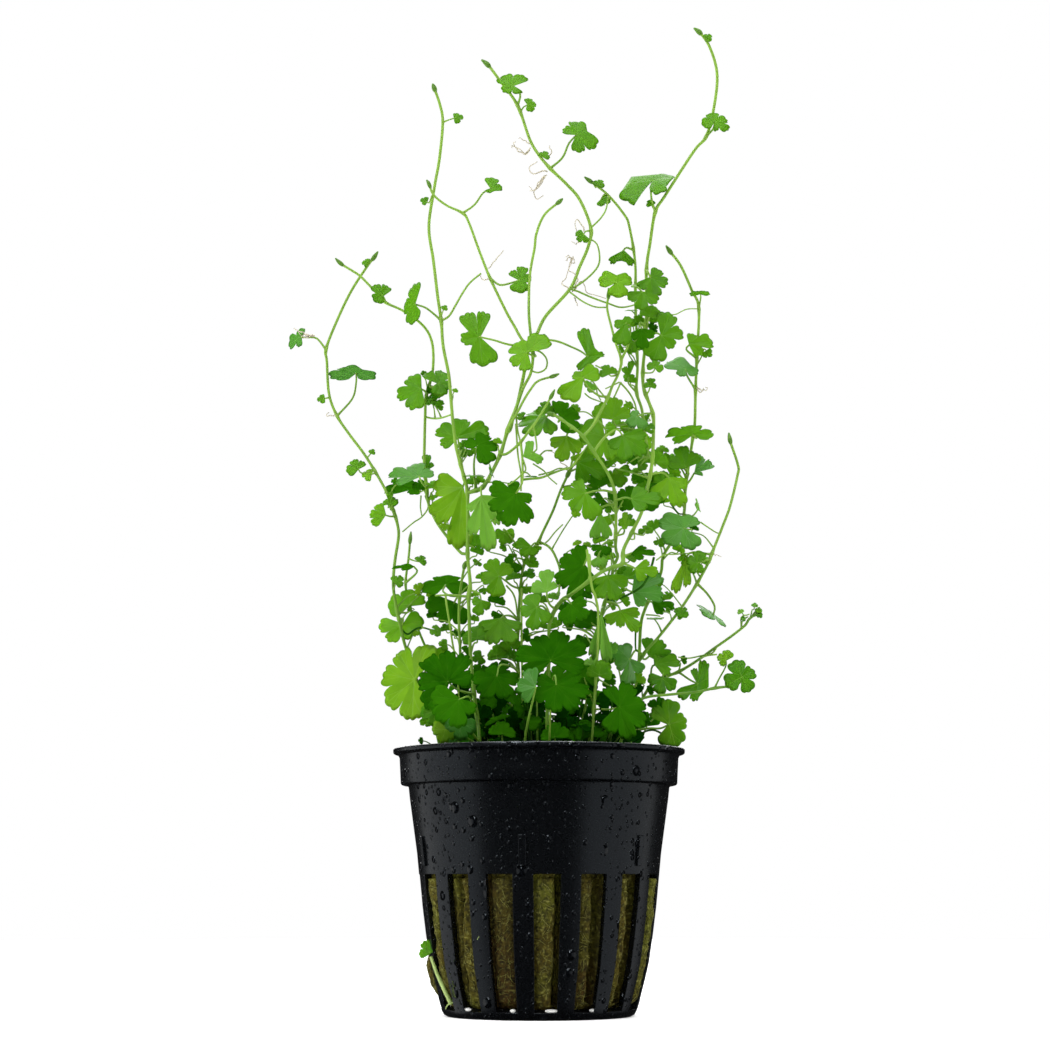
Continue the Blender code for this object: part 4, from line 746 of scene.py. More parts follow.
LEAVES = (
    Leaf("left_edge", "left_tall", (-24.1, 135.7, -2), (-50, 10), ((-24.5, 139.8), (-26.3, 135.6),
        (-24.9, 131.7)), ((-22, 135, -2), (-20.3, 133.7, -2), (-18.9, 132.4, -2))),
    Leaf("left_bright", "left_tall", (-15.6, 109.4, -1), (0, 20), ((-19.9, 111), (-19, 108), (-14, 113.1),
        (-9.7, 111.7)), ((-15.2, 106.8, -1.2), (-15, 104, -4)), own=True),
    Leaf("left_yellow", "left_tall", (-14.6, 99.6, -2.4), (-5, 5), ((-20.3, 100), (-19.4, 92.6),
        (-15.6, 87.8)), ((-14.2, 101, -2.5), (-14.3, 101.5, -4)), 0.6, True),
    Leaf("left_dark", "centre_tall", (-11.8, 107.8, -4), (10, 35), ((-14.3, 108.6), (-9.5, 109.8),
        (-7.6, 107.9), (-10, 104.2)), ((-12.4, 105, -3.8), (-12.4, 102.3, -3.8), (-12, 99.2, -4.6)),
        own=True),
    Leaf("left_light", "centre_tall", (-11, 97.8, -7.5), (10, 0), ((-13.6, 95), (-12.9, 90.4), (-9.4, 87.4),
        (-7.4, 92.4), (-7.6, 96.6)), ((-11.1, 99.5, -7), (-10.9, 99.6, -5)), 0.85, True),
    Leaf("centre_left_dark", "centre_bud", (-4.4, 98.4, -10), (10, 15), ((-5.2, 100.9), (-9.6, 99.2),
        (-9.2, 95), (-6, 92), (-2, 92.7), (-1.3, 97)), ((-3.2, 100.5, -10), (-3.1, 103.5, -9.5),
        (-3.2, 106, -9), (-3.5, 108.4, -8)), 0.8, True),
    Leaf("centre_hub", "centre_short", (-2.4, 126, -9.5), (-15, 30), ((1.5, 129.6), (-4.9, 127.9),
        (-4.9, 123.4), (-2.9, 122.3)), ((-0.6, 125.3, -8.8), (-1.1, 126, -6.8))),
    Leaf("centre_long", "centre_tall", (-11.6, 129.2, -5), (10, 15), ((-13.8, 134.2), (-10.7, 134.4),
        (-15.1, 128.4), (-10.8, 123.3)), ((-8.6, 128.5, -5), (-5.5, 127.6, -4.6), (-1.8, 127.5, -4)),
        own=True, spread=28),
    Leaf("centre_upper", "right_middle", (15.3, 140, -6), (0, 20), ((11.6, 140.8), (18.1, 141),
        (15.6, 136.9)), ((14, 138.7, -5.5), (13.8, 138, -4.5))),
    Leaf("middle", "left_centre", (-3.6, 140.5, -4), (0, 25), ((-5.4, 142.4), (-3.2, 143.4), (-1.4, 141.2),
        (-3.3, 137.9)), ((-5, 140, -3.8), (-7.5, 139.5, -3.4), (-9.4, 140.8, -3))),
    Leaf("left_high", "left_centre", (-9.1, 158.9, -3.5), (10, 30), ((-8.9, 161.2), (-7.1, 159.3),
        (-10.2, 158.2)), ((-10.8, 158, -3.3), (-12.5, 155.6, -3.1), (-14.8, 153.9, -3))),
    Leaf("top_centre", "centre_tall", (-5.1, 179.8, -1.5), (-5, 30), ((-7, 182.1), (-3, 182.1), (-3.1, 178.5),
        (-7, 178.5)), ((-3.6, 178, -1), (-4.1, 175.7, 0))),
    Leaf("top_middle", "centre_tall", (7.6, 169.8, -2), (10, 25), ((7.1, 172.9), (4.8, 171.2), (8.1, 166.3),
        (11.1, 167.1)), ((6, 168, -1.6), (4.7, 165.1, -1.3), (2.3, 162.9, -1)), 0.42),
    Leaf("left_tip", "left_inner", (-30.4, 137.5, 1), (20, 20), ((-31.8, 139.8), (-29.4, 139.6),
        (-32, 136.4)), ((-30, 136.9, 1.4), (-29.8, 136.1, 2))),
    Leaf("left_upper", "left_inner", (-22.9, 119, 0), (-15, 25), ((-25.2, 121.5), (-27.6, 117.6),
        (-24.7, 115)), ((-21.9, 118.4, 0.5), (-21.7, 117.6, 2)), 0.5, spread=26),
    Leaf("left_upper_dark", "left_inner", (-19.4, 120, -0.5), (10, 35), ((-21.9, 122.3), (-18.8, 122.5),
        (-16.8, 119.3), (-18.8, 117.5)), ((-20.6, 119.2, 0.2), (-21.2, 119.6, 2))),
    Leaf("left_sprout", "left_inner", (-21.4, 103.3, 3.6), (0, 10), ((-21.6, 106.2), (-20.3, 104.4),
        (-22.5, 104.1)), ((-21.3, 102.2, 3.4), (-21.8, 101.4, 2.3))),
    Leaf("left_bluish", "left_inner", (-23, 101.8, -2), (-10, 42), ((-29, 102.3), (-24.3, 104.3),
        (-20.3, 102.9), (-27.5, 100.5)), ((-22.6, 100.8, -3), (-21.9, 99.9, -0.6), (-21.5, 99.8, 2)), 0.5,
        True),
    Leaf("left_under", "left_inner", (-22.8, 99.6, 6), (180, 75), ((-29.6, 99.2), (-24.6, 98.3),
        (-26.5, 100.8)), ((-22, 99.2, 5), (-21.4, 98.5, 1.8)), 0.5, True),
    Leaf("far_left_edge", "far_left", (-46.2, 129.1, 6), (-40, 10), ((-46.2, 131), (-48.7, 127.6),
        (-46.6, 127.2)), ((-44.7, 129.1, 6), (-43, 128.9, 6), (-41.2, 126.7, 6))),
    Leaf("far_left_flat", "far_left", (-35.3, 122.1, 6), (180, 79), ((-40.4, 121.4), (-38.3, 123.5),
        (-31.6, 121.3)), ((-35.3, 120, 6.5), (-36, 117, 6), (-38.9, 113.6, 6))),
    Leaf("left_joint", "far_left", (-29.6, 94.3, 1.2), (-10, 15), ((-31.2, 96.4), (-32.6, 94.5), (-32, 92.4)),
        ((-28.6, 94, 1.8), (-27.5, 94, 2.5))),
    Leaf("left_narrow", "far_left", (-28.6, 96.2, 1), (0, 5), ((-28.4, 98.9), (-29.5, 97.2), (-27.6, 97.6)),
        ((-28.4, 95.3, 1.4), (-28, 95.4, 2.7))),
    Leaf("left_low_bright", "far_left", (-24.8, 76.9, 3.8), (-5, 20), ((-28.9, 77.1), (-24.4, 80.1),
        (-21.8, 78.6)), ((-25, 75.5, 3.4), (-27, 75.5, 1)), 0.5, True),
    Leaf("left_low_wide", "far_left", (-26, 73, 3.8), (-5, 20), ((-30.6, 72.7), (-28.7, 70), (-24.6, 70.4),
        (-21.9, 74)), ((-25.9, 74.3, 3), (-26.6, 74, 1)), 0.5, True),
    Leaf("left_blade", "left_pale", (-23.9, 84.3, -6.5), (180, 83), LobeSet(((-5, 4.2), (40, 3), (-45, 3.2))),
        ((-23.3, 83.2, -4.4), (-25.38, 81.2, 4.9))),
    Leaf("left_low_dark", "left_tall", (-17.8, 80.7, 2), (0, 55), ((-22.7, 80.4), (-17.6, 83.1),
        (-13.3, 80.3)), ((-18.3, 79.6, 0), (-17, 78.7, -3.5), (-15, 78.6, -5), (-13.4, 78.5, -5)), 0.5, True),
    Leaf("left_low_shade", "left_second", (-16.2, 77.2, 2.5), (0, 15), ((-21.7, 76.8), (-18.9, 73.7),
        (-14.3, 73.3)), ((-15.6, 78.3, 2), (-15.1, 78.3, -1.3)), 0.6, True),
    Leaf("low_yellow", "far_left", (-23.6, 62.6, -3), (-25, 15), ((-21.6, 69.8), (-27.2, 68.3), (-30.2, 64.2),
        (-29.4, 58.2), (-24.3, 55.1)), ((-22.4, 62, -2), (-21.8, 59, 0), (-21.5, 57.5, 2)), 0.5, True),
    Leaf("low_crinkled", "left_tall", (-17.3, 62.3, -14.5), (-20, 20), ((-12.4, 63.4), (-13.4, 67.4),
        (-17.6, 68.3), (-21.8, 67.4), (-23.3, 62.4), (-21.8, 57.4)), ((-15.8, 60.9, -13.5),
        (-13.8, 60.2, -10), (-12.3, 60, -6)), 0.75, True),
    Leaf("low_left_green", "left_tall", (-15.2, 58.8, -18.5), (0, 25), ((-20.6, 59.8), (-19.4, 55),
        (-15.4, 53.4), (-12.2, 56.4)), ((-13.4, 59.4, -17), (-12.4, 58, -11), (-11.8, 56, -7)), 0.65, True),
    Leaf("centre_low_bright", "centre_low", (-7.6, 82.4, -2), (0, 15), ((-5.6, 84.9), (-9.6, 85.8),
        (-11.1, 82), (-8.8, 78.7)), ((-6.3, 81.5, -1.5), (-5, 80.5, 1), (-3.5, 80, 3)), 0.5, True),
    Leaf("centre_joint", "centre_low", (-1.6, 88, 0.5), (0, 20), ((-4.6, 88.9), (-3.6, 86.6), (-0.9, 86.3)),
        ((-0.8, 88.8, 0.8), (-0.3, 88.6, 2))),
    Leaf("centre_pale", "right_tall", (1.5, 79.6, -13.8), (0, 15), ((-1.3, 81), (1.9, 83.8), (3.4, 81.2)),
        ((1.6, 78.2, -13.5), (2.2, 76.8, -12.8), (3.3, 76.1, -11.6))),
    Leaf("centre_low_green", "right_tall", (-0.4, 76.4, -15.5), (0, 20), ((-2.2, 78.9), (-3.3, 75),
        (-1.2, 72.2), (1.9, 73.6)), ((0.8, 76.6, -14.8), (2.4, 74.4, -11.1))),
    Leaf("low_centre_arch", "centre_low", (-7.3, 74.2, -1), (0, 30), ((-11.3, 72.2), (-9.4, 69.3),
        (-4.7, 69.4), (-3.4, 72.2)), ((-6.6, 74.8, 0), (-5.4, 74.8, 2), (-3.95, 74, 3)), 0.72, True),
    Leaf("low_centre_dark", "centre_low", (-8, 63.2, -8), (0, 35), ((-9.8, 65.2), (-12.8, 63), (-10.8, 59.4),
        (-6, 59.2), (-3.7, 62.4)), ((-7.3, 65.4, -6), (-5, 65, 0), (-3.9, 64, 3)), 0.7, True),
    Leaf("centre_big", "right_tall", (2.3, 66.3, -17), (5, 20), ((-3.2, 63.8), (-4.6, 67.8), (-0.6, 71.2),
        (4.8, 72), (9, 69.4), (8.8, 65)), ((1.6, 64.6, -16), (1.8, 62.5, -11)), 0.8, True),
    Leaf("centre_round", "right_tall", (3.3, 61.6, -21), (0, 15), ((-0.6, 62.8), (-1.2, 59.2), (2.8, 56.4),
        (7.4, 57), (9.8, 60.2), (8, 63.2)), ((3, 63.4, -20), (2.4, 61.5, -15), (1.7, 60.3, -11)), 0.8, True),
    Leaf("centre_sheen", "wool", (-0.6, 61.2, -22), (-10, 10), ((-2.2, 64.9), (-4.3, 62), (-2.8, 58.4)),
        ((-1.2, 58.6, -21.6), (-2.4, 53, -19), (-3, 47.6, -16)), 0.75, True),
    Leaf("centre_large_dark", "right_tall", (8.6, 84.4, -8.6), (-15, 10), ((7.2, 88.4), (3.9, 85.6),
        (3.3, 80.6), (6.6, 77.8), (10.6, 79)), ((9.6, 86.6, -9.5), (9.8, 85, -12.5), (9.8, 83, -13.5),
        (9.5, 81.4, -14)), 0.8, True),
    Leaf("centre_right_green", "right_tall", (13.2, 82.4, -12.2), (5, 20), ((10.5, 81), (11, 78.2),
        (14.8, 77.8), (17, 80.8)), ((13.7, 83.9, -12.8), (14.3, 84.2, -14)), 0.5),
    Leaf("right_low_bluish", "centre_right", (18, 79.3, -9), (15, 20), ((19.5, 83), (23.6, 83.4), (24, 79.3),
        (20.2, 76.8)), ((16.8, 79.8, -8), (15, 80.7, -6.5), (13.8, 81, -5.5)), 0.6, True),
    Leaf("right_low_leaf", "right_tall", (18.6, 83.8, -12), (0, 15), ((21.2, 85.2), (22.9, 83.4),
        (20.2, 81.6)), ((17.4, 84.4, -12.6), (16, 84.9, -13))),
    Leaf("right_low_bright", "centre_right", (15.6, 75.6, -8), (0, 25), ((12.8, 73.4), (15.6, 72.6),
        (18.8, 71.8), (19.3, 75.2)), ((14.9, 76.9, -7), (12.7, 77.6, -5.1)), 0.6, True),
    Leaf("right_low_shade", "far_right", (17.2, 66.4, -5.5), (0, 15), ((14.8, 69), (14.8, 64.6), (16.8, 61.4),
        (19.6, 64)), ((18.4, 68.2, -4), (19.8, 67.3, -1.5)), 0.7),
    Leaf("low_right_dark", "centre_right", (15.2, 57.4, -14), (15, 25), ((13, 61.6), (17.6, 62), (20.2, 58.4),
        (20.2, 54), (17, 51.2), (13, 52.6)), ((13.6, 57, -12), (11.6, 57, -6.5), (10.4, 57, -3.8)), 0.7,
        True),
    Leaf("centre_hanging", "centre_right", (11.9, 75, -12), (0, 0), ((10.3, 66.4), (12.9, 65.8)),
        ((12, 76.2, -11.5), (12.3, 76.4, -5)), 0.85, spread=10),
    Leaf("right_low_light", "far_right", (21.1, 67.2, 1), (10, 15), ((20.7, 70.8), (23.6, 70.2), (25.6, 67)),
        ((20.2, 66.5, 0.2), (19.5, 66.8, -1.5)), 0.85),
    Leaf("right_low_green", "low_right", (22.2, 65.5, -1), (10, 30), ((22.9, 67.3), (26.9, 66.6), (25, 63.9)),
        ((21.4, 64.8, 0), (21.2, 61.4, 3.6))),
    Leaf("right_low_fork", "low_right", (23.4, 62.8, -2.5), (0, 20), ((20.6, 62.4), (22.6, 59.9), (25.9, 61)),
        ((23.7, 64, -1), (24.2, 63.1, 3.3))),
    Leaf("right_low_curled", "low_right", (30.2, 61.8, 0.5), (0, 15), ((31.5, 66.4), (29.4, 64.9),
        (26.4, 59.2), (29.2, 58.5)), ((28.6, 62.6, 1), (26.5, 64.1, 3)), spread=17),
    Leaf("far_right_fork", "bottom_right", (38.5, 63.1, -9.5), (5, 15), ((35.4, 61.4), (37.3, 66.5),
        (40.9, 64.6), (39.9, 60.2)), ((38.2, 62.1, -9), (37, 61.4, -8)), own=True),
    Leaf("rim_right", "far_right", (24.7, 54.2, -1.5), (5, 10), ((21.5, 57.4), (24.6, 59.1), (28, 55.2),
        (26, 49.9)), ((23, 53.4, -1.8), (20.8, 53.4, -2.4), (17.5, 53, -2.8), (13.95, 53.8, -2)), 0.65, True),
    Leaf("right_low_edge", "far_right", (33.2, 74.9, 0.6), (60, 50), LobeSet(((-85, 3.4), (88, 4), (178, 3.6),
        (5, 3))), ((33.5, 76.6, 0.7), (32.2, 78.9, 0.6), (30.2, 81, 0.5))),
    Leaf("right_low_small", "right", (21.7, 77.4, 8.5), (0, 35), ((24, 78.2), (26, 76.6), (23.6, 75.3)),
        ((20.9, 77.6, 9.5), (20.9, 77.6, 10.7))),
    Leaf("right_hanging", "far_right", (28.2, 86.2, 0), (0, 5), ((26.2, 79), (28, 80.2)), ((29.4, 87, 0.2),
        (33, 86.6, 1.4)), 0.5, spread=14),
    Leaf("right_bluish", "right", (27.7, 91.6, 2.5), (10, 25), ((30.4, 93.6), (23, 93.2), (24.2, 88.8),
        (29.4, 87.6)), ((29.2, 91.4, 3.5), (28.6, 92.2, 6.5), (27.3, 92.3, 8.6)), 0.6, True),
    Leaf("right_shelf", "centre_right", (17.8, 97.3, -12), (0, 35), ((20.3, 99.6), (23.8, 97.4),
        (20.4, 95.2)), ((16.6, 97.6, -11), (14.7, 97, -6.8)), 0.6, True),
    Leaf("right_bright", "right_tall", (25, 101.4, -3.5), (5, 20), ((28.6, 99.8), (27.3, 96), (22.6, 97.2)),
        ((23.8, 102.4, -3.8), (21.4, 102.2, -4.5)), 0.6, True),
    Leaf("right_round", "right", (28.2, 103.6, 6.5), (5, 15), ((24.8, 104.9), (27.3, 107.9), (30.6, 106.3)),
        ((28.8, 102.3, 7.5), (28.4, 101.8, 10.1)), 0.6, True),
    Leaf("right_slant", "right", (29.9, 102.4, 8.1), (30, 20), ((33.4, 104.8), (31.8, 105.6), (31.6, 102.2)),
        ((29.1, 101, 8.7), (28.2, 100, 10))),
    Leaf("right_bar", "right", (29.7, 110, 6.9), (180, 72), ((33.7, 109.8), (29.2, 112), (24.3, 109.9),
        (26, 108.5)), ((30.4, 109.2, 8.5), (29.75, 109.6, 10.5)), own=True),
    Leaf("right_dark", "right_tall", (20, 130.6, -4), (0, 20), ((17.8, 128.6), (20, 126.7), (22.3, 129)),
        ((19.7, 131.9, -3), (20.8, 131.5, 0.2))),
    Leaf("right_upper_big", "right_tall", (23.9, 129.3, -2), (10, 15), ((25.6, 134), (28, 130.4), (26.2, 127),
        (22.2, 124.4)), ((22.7, 129.9, -1.5), (20.7, 129, -0.4)), own=True),
    Leaf("right_upper_bluish", "right_tall", (21.8, 140.8, -1.5), (0, 25), ((19.6, 138.7), (22.4, 136.9),
        (25.2, 139.7), (23.9, 142.5)), ((21.3, 142, -1), (21, 142.5, 1.5)), own=True),
    Leaf("right_upper_low", "arch", (20.2, 138, -5), (0, 20), ((17.4, 136.6), (20, 134.5), (22.9, 135.8)),
        ((19.2, 139, -4), (18.1, 139.2, 0), (18.8, 139.5, 4))),
    Leaf("right_upper_small", "right_middle", (16.9, 131.9, -7.5), (0, 15), ((14.7, 131.2), (15.5, 127.6),
        (17.6, 133.2)), ((17.8, 130.9, -7), (17.3, 127.4, -5.8), (16, 124.7, -5))),
    Leaf("upper_thin", "centre_tall", (9.6, 125.2, -5.5), (0, 10), ((8.7, 130.9), (7.6, 122.6),
        (12.8, 125.8)), ((8.3, 126.2, -5), (6.5, 127.1, -4.6), (3.1, 128.4, -4), (-1.1, 128.5, -3.7)),
        spread=13),
    Leaf("upper_yellow", "right_middle", (8.6, 121.2, -7), (0, 15), ((4.5, 116.9), (6.4, 121.4),
        (11.5, 122.9)), ((9.2, 119.6, -6.8), (11.5, 117.6, -6.2), (13.4, 117.3, -6))),
    Leaf("right_centre_bright", "arch", (14.3, 113, -3.2), (0, 15), ((10.9, 115.6), (15, 117.3),
        (17.7, 114.8)), ((15, 111.6, -2.5), (18, 112.3, -1), (20.2, 112.4, 0.1)), 0.6, True),
    Leaf("right_centre_green", "centre_right", (16.2, 109.6, -9), (0, 15), ((20.8, 109.9), (20.9, 106.4),
        (16.8, 104.8), (13.8, 107.2)), ((15, 110.9, -9), (12.6, 109.2, -9.8), (10.6, 106.6, -10)), 0.6, True),
    Leaf("centre_right_light", "right_middle", (12.6, 109.4, -5.2), (-10, 15), ((8, 111.2), (11, 105.2),
        (14.2, 105)), ((12.9, 110.8, -5.6), (11.2, 113, -7.6)), 0.6, True),
    Leaf("centre_bright", "centre_right", (5.3, 109.4, -6), (0, 10), ((2.3, 107.8), (4.3, 104.8),
        (7.9, 106.4)), ((5.8, 110.7, -6.8), (6.6, 111.2, -9.5)), 0.6),
    Leaf("centre_right_dark", "centre_low", (7.6, 104.4, 1), (0, 20), ((10.5, 106.2), (13, 102.2),
        (9, 100.6)), ((6.6, 103.8, 1.4), (5.9, 102.7, 2))),
    Leaf("centre_right_low", "centre_right", (8.9, 98.4, -8), (0, 15), ((6.7, 101.1), (4.3, 98.6),
        (6.3, 95.2), (10.4, 93.4)), ((10.5, 98.8, -7.8), (12.5, 99, -7.3), (14.5, 98.5, -6.9))),
    Leaf("right_level", "right_tall", (17.8, 86.9, -10), (0, 45), ((20.6, 88.2), (22.4, 87.2), (20, 85.8)),
        ((16.9, 86.5, -10.8), (16.1, 86.4, -12.1))),
    Leaf("right_upper_round", "right", (29.3, 127.7, 7.5), (10, 15), ((30, 129.9), (33.9, 128.6),
        (31.8, 125.7)), ((28.6, 126.6, 8.1), (30.6, 124.9, 9.5))),
    Leaf("right_upper_slant", "right", (28.4, 122.7, 8.1), (0, 40), ((25, 124.8), (30.8, 121.9),
        (27.4, 121.4)), ((28.7, 121.4, 7.5), (30.3, 118.7, 9.5))),
    Leaf("right_top", "right_tall", (34.6, 172.4, -1.6), (0, 25), ((32, 172), (33.9, 174.3), (37.2, 172.7),
        (37.3, 170.7), (34.6, 170.4)), ((34.3, 170.9, -1), (32.9, 169.3, 0))),
    Leaf("right_side", "right_tall", (22.3, 160.4, -1), (0, 57), ((26.3, 161.7), (22.9, 158.3),
        (18.7, 157.1)), ((22, 159, -1.4), (22.1, 156.6, -0.8), (22.8, 154.1, 0)), 0.42, spread=24),
    Leaf("right_edge", "right", (31.4, 137.7, 8.1), (180, 80), LobeSet(((5, 2.2), (175, 2), (90, 1.8))),
        ((31.5, 137, 9.1), (31.1, 134.7, 9.5))),
    Leaf("right_cluster", "far_right", (30.4, 84.9, -1.5), (0, 15), ((30.6, 87.5), (28.2, 85.8), (29, 83),
        (31, 83)), ((31.6, 85.3, -0.8), (32.6, 85.6, 1.2))),
    Leaf("far_right_yellow", "bottom_right", (35.5, 66.5, -8.5), (0, 10), ((33.8, 66.9), (34.5, 65.3),
        (36, 68.3)), ((35.5, 65.2, -8.3), (34.2, 62.8, -8), (33.3, 61, -8))),
    Leaf("low_centre_veined", "right_tall", (6.2, 77, -15.5), (5, 15), ((9.2, 77.6), (9.2, 74.3),
        (5.2, 73.2)), ((5.4, 78, -15), (4.8, 77.9, -12.6)), 0.6),
    Leaf("right_pale_edge", "centre_right", (11.6, 94.6, -4.5), (10, 0), ((10.7, 89.4), (13.2, 89.6)),
        ((12.2, 95.8, -4.8), (14.75, 96.4, -6.7)), 0.7, spread=14),
    Leaf("low_left_rim", "left_pale", (-15.2, 53.2, 3), (0, 15), ((-18.8, 54), (-17.4, 50.9), (-13.6, 50.9),
        (-12.8, 54)), ((-15.1, 54.3, 3.6), (-16, 55, 9.5)), 0.7),
    Leaf("right_small_flat", "right_tall", (20.5, 91.2, -8.6), (0, 30), ((19, 90.8), (20.6, 92.3),
        (22, 91.3)), ((20, 90.3, -9.1), (17.8, 90.8, -10))),
    Leaf("right_upright", "centre_right", (16.4, 91.5, -8.6), (0, 5), ((15.5, 93.6), (16.5, 94.9),
        (17.5, 93.4)), ((16.2, 90.6, -8.2), (14.7, 90.2, -6.5)), 0.5),
    Leaf("right_shade", "centre_right", (12, 88.2, -8.8), (0, 20), ((10, 87.6), (11.2, 86), (13.6, 86.6)),
        ((12.9, 89, -8.4), (14.72, 89.5, -6.5))),
    Leaf("centre_low_shade", "centre_low", (-4.9, 85, 0.4), (0, 15), ((-6.6, 85.8), (-6, 83.2), (-3.8, 83.3)),
        ((-4, 85.9, 0.8), (-2.5, 85.4, 2.25))),
    Leaf("low_centre_small", "centre_low", (-5.4, 70.4, 0.5), (0, 20), ((-7.2, 71.3), (-6.6, 68.2),
        (-3.9, 68.5)), ((-4.9, 71.6, 1.2), (-4, 72, 3)), 0.5),
    Leaf("left_low_small", "left_tall", (-11, 77.6, -6.5), (0, 10), ((-12.8, 77.6), (-11.6, 74.9),
        (-9.4, 76.2)), ((-11.4, 79.1, -6), (-13.25, 79.8, -4.9)), 0.5),
    Leaf("right_centre_flat", "right_tall", (18.9, 113.4, -5.5), (0, 20), ((17.6, 111.3), (20.3, 111),
        (18, 114.6)), ((20.4, 114, -4.8), (22, 114, -2.6)), 0.5),
    Leaf("right_bud_leaf", "right_tall", (21.6, 119.5, -4), (0, 20), ((20.3, 119.8), (21.6, 121.2),
        (22.8, 119.6)), ((21.3, 118.5, -3.4), (20.8, 117.8, -2.2))),
    Leaf("right_upper_low_bright", "right_tall", (22.6, 123.2, -5), (0, 20), ((20.9, 123.6), (22.8, 124.6),
        (24.2, 122.8)), ((22, 122.1, -4.8), (20.25, 122, -1.65))),
    Leaf("arch_upright", "arch", (17.4, 121.2, -0.5), (-10, 5), ((16.6, 123.4), (17.9, 124.6), (16.3, 121.4)),
        ((17.4, 119.9, 0), (18.9, 118.2, 1.5)), 0.5),
    Leaf("arch_folded", "arch", (16.4, 146.2, 1.4), (0, 10), ((14, 143.8), (18.2, 143.4)), ((17.1, 146.9, 2),
        (18.4, 146.5, 3.7)), 0.5, spread=14),
    Leaf("top_small", "centre_tall", (-1.9, 175.9, -0.8), (10, 20), ((-1.9, 177.3), (-0.4, 176),
        (-1.2, 174.5)), ((-2.9, 175.4, -0.4), (-3.6, 174.2, 0))),
    Leaf("upper_joint", "centre_tall", (8.7, 149.4, -3), (0, 20), ((7.2, 150), (7.8, 148.2), (9.4, 148)),
        ((9.2, 150.2, -2.6), (10.1, 150.3, -2))),
    Leaf("far_left_cluster", "far_left", (-34.8, 103.4, 4.4), (0, 20), ((-37.1, 102.9), (-35.6, 105.2),
        (-33.6, 104.8)), ((-34, 102.4, 4.2), (-31.7, 102.9, 4.5))),
    Leaf("centre_narrow", "centre_bud", (-1.4, 106.4, -10.6), (0, 10), ((-2, 108.8), (0.5, 104.4)),
        ((-0.4, 107, -10.6), (-0.7, 110, -9.8), (-1.1, 111.4, -9.4)), 0.6, spread=20),
    Leaf("centre_dark_flat", "centre_right", (1.4, 113.2, -3.6), (-20, 50), ((-4.2, 112.9), (-1.9, 114.8),
        (-1.4, 109.9), (2.2, 110.6)), ((2, 114, -4.6), (2.2, 114, -7.5)), 0.5, True),
    Leaf("centre_dark_right", "centre_right", (4.4, 113.2, -7), (15, 30), ((4.4, 116.8), (7.6, 114.6),
        (7.3, 110.6)), ((3.8, 112.4, -7.6), (4.2, 113, -8.8)), 0.5),)


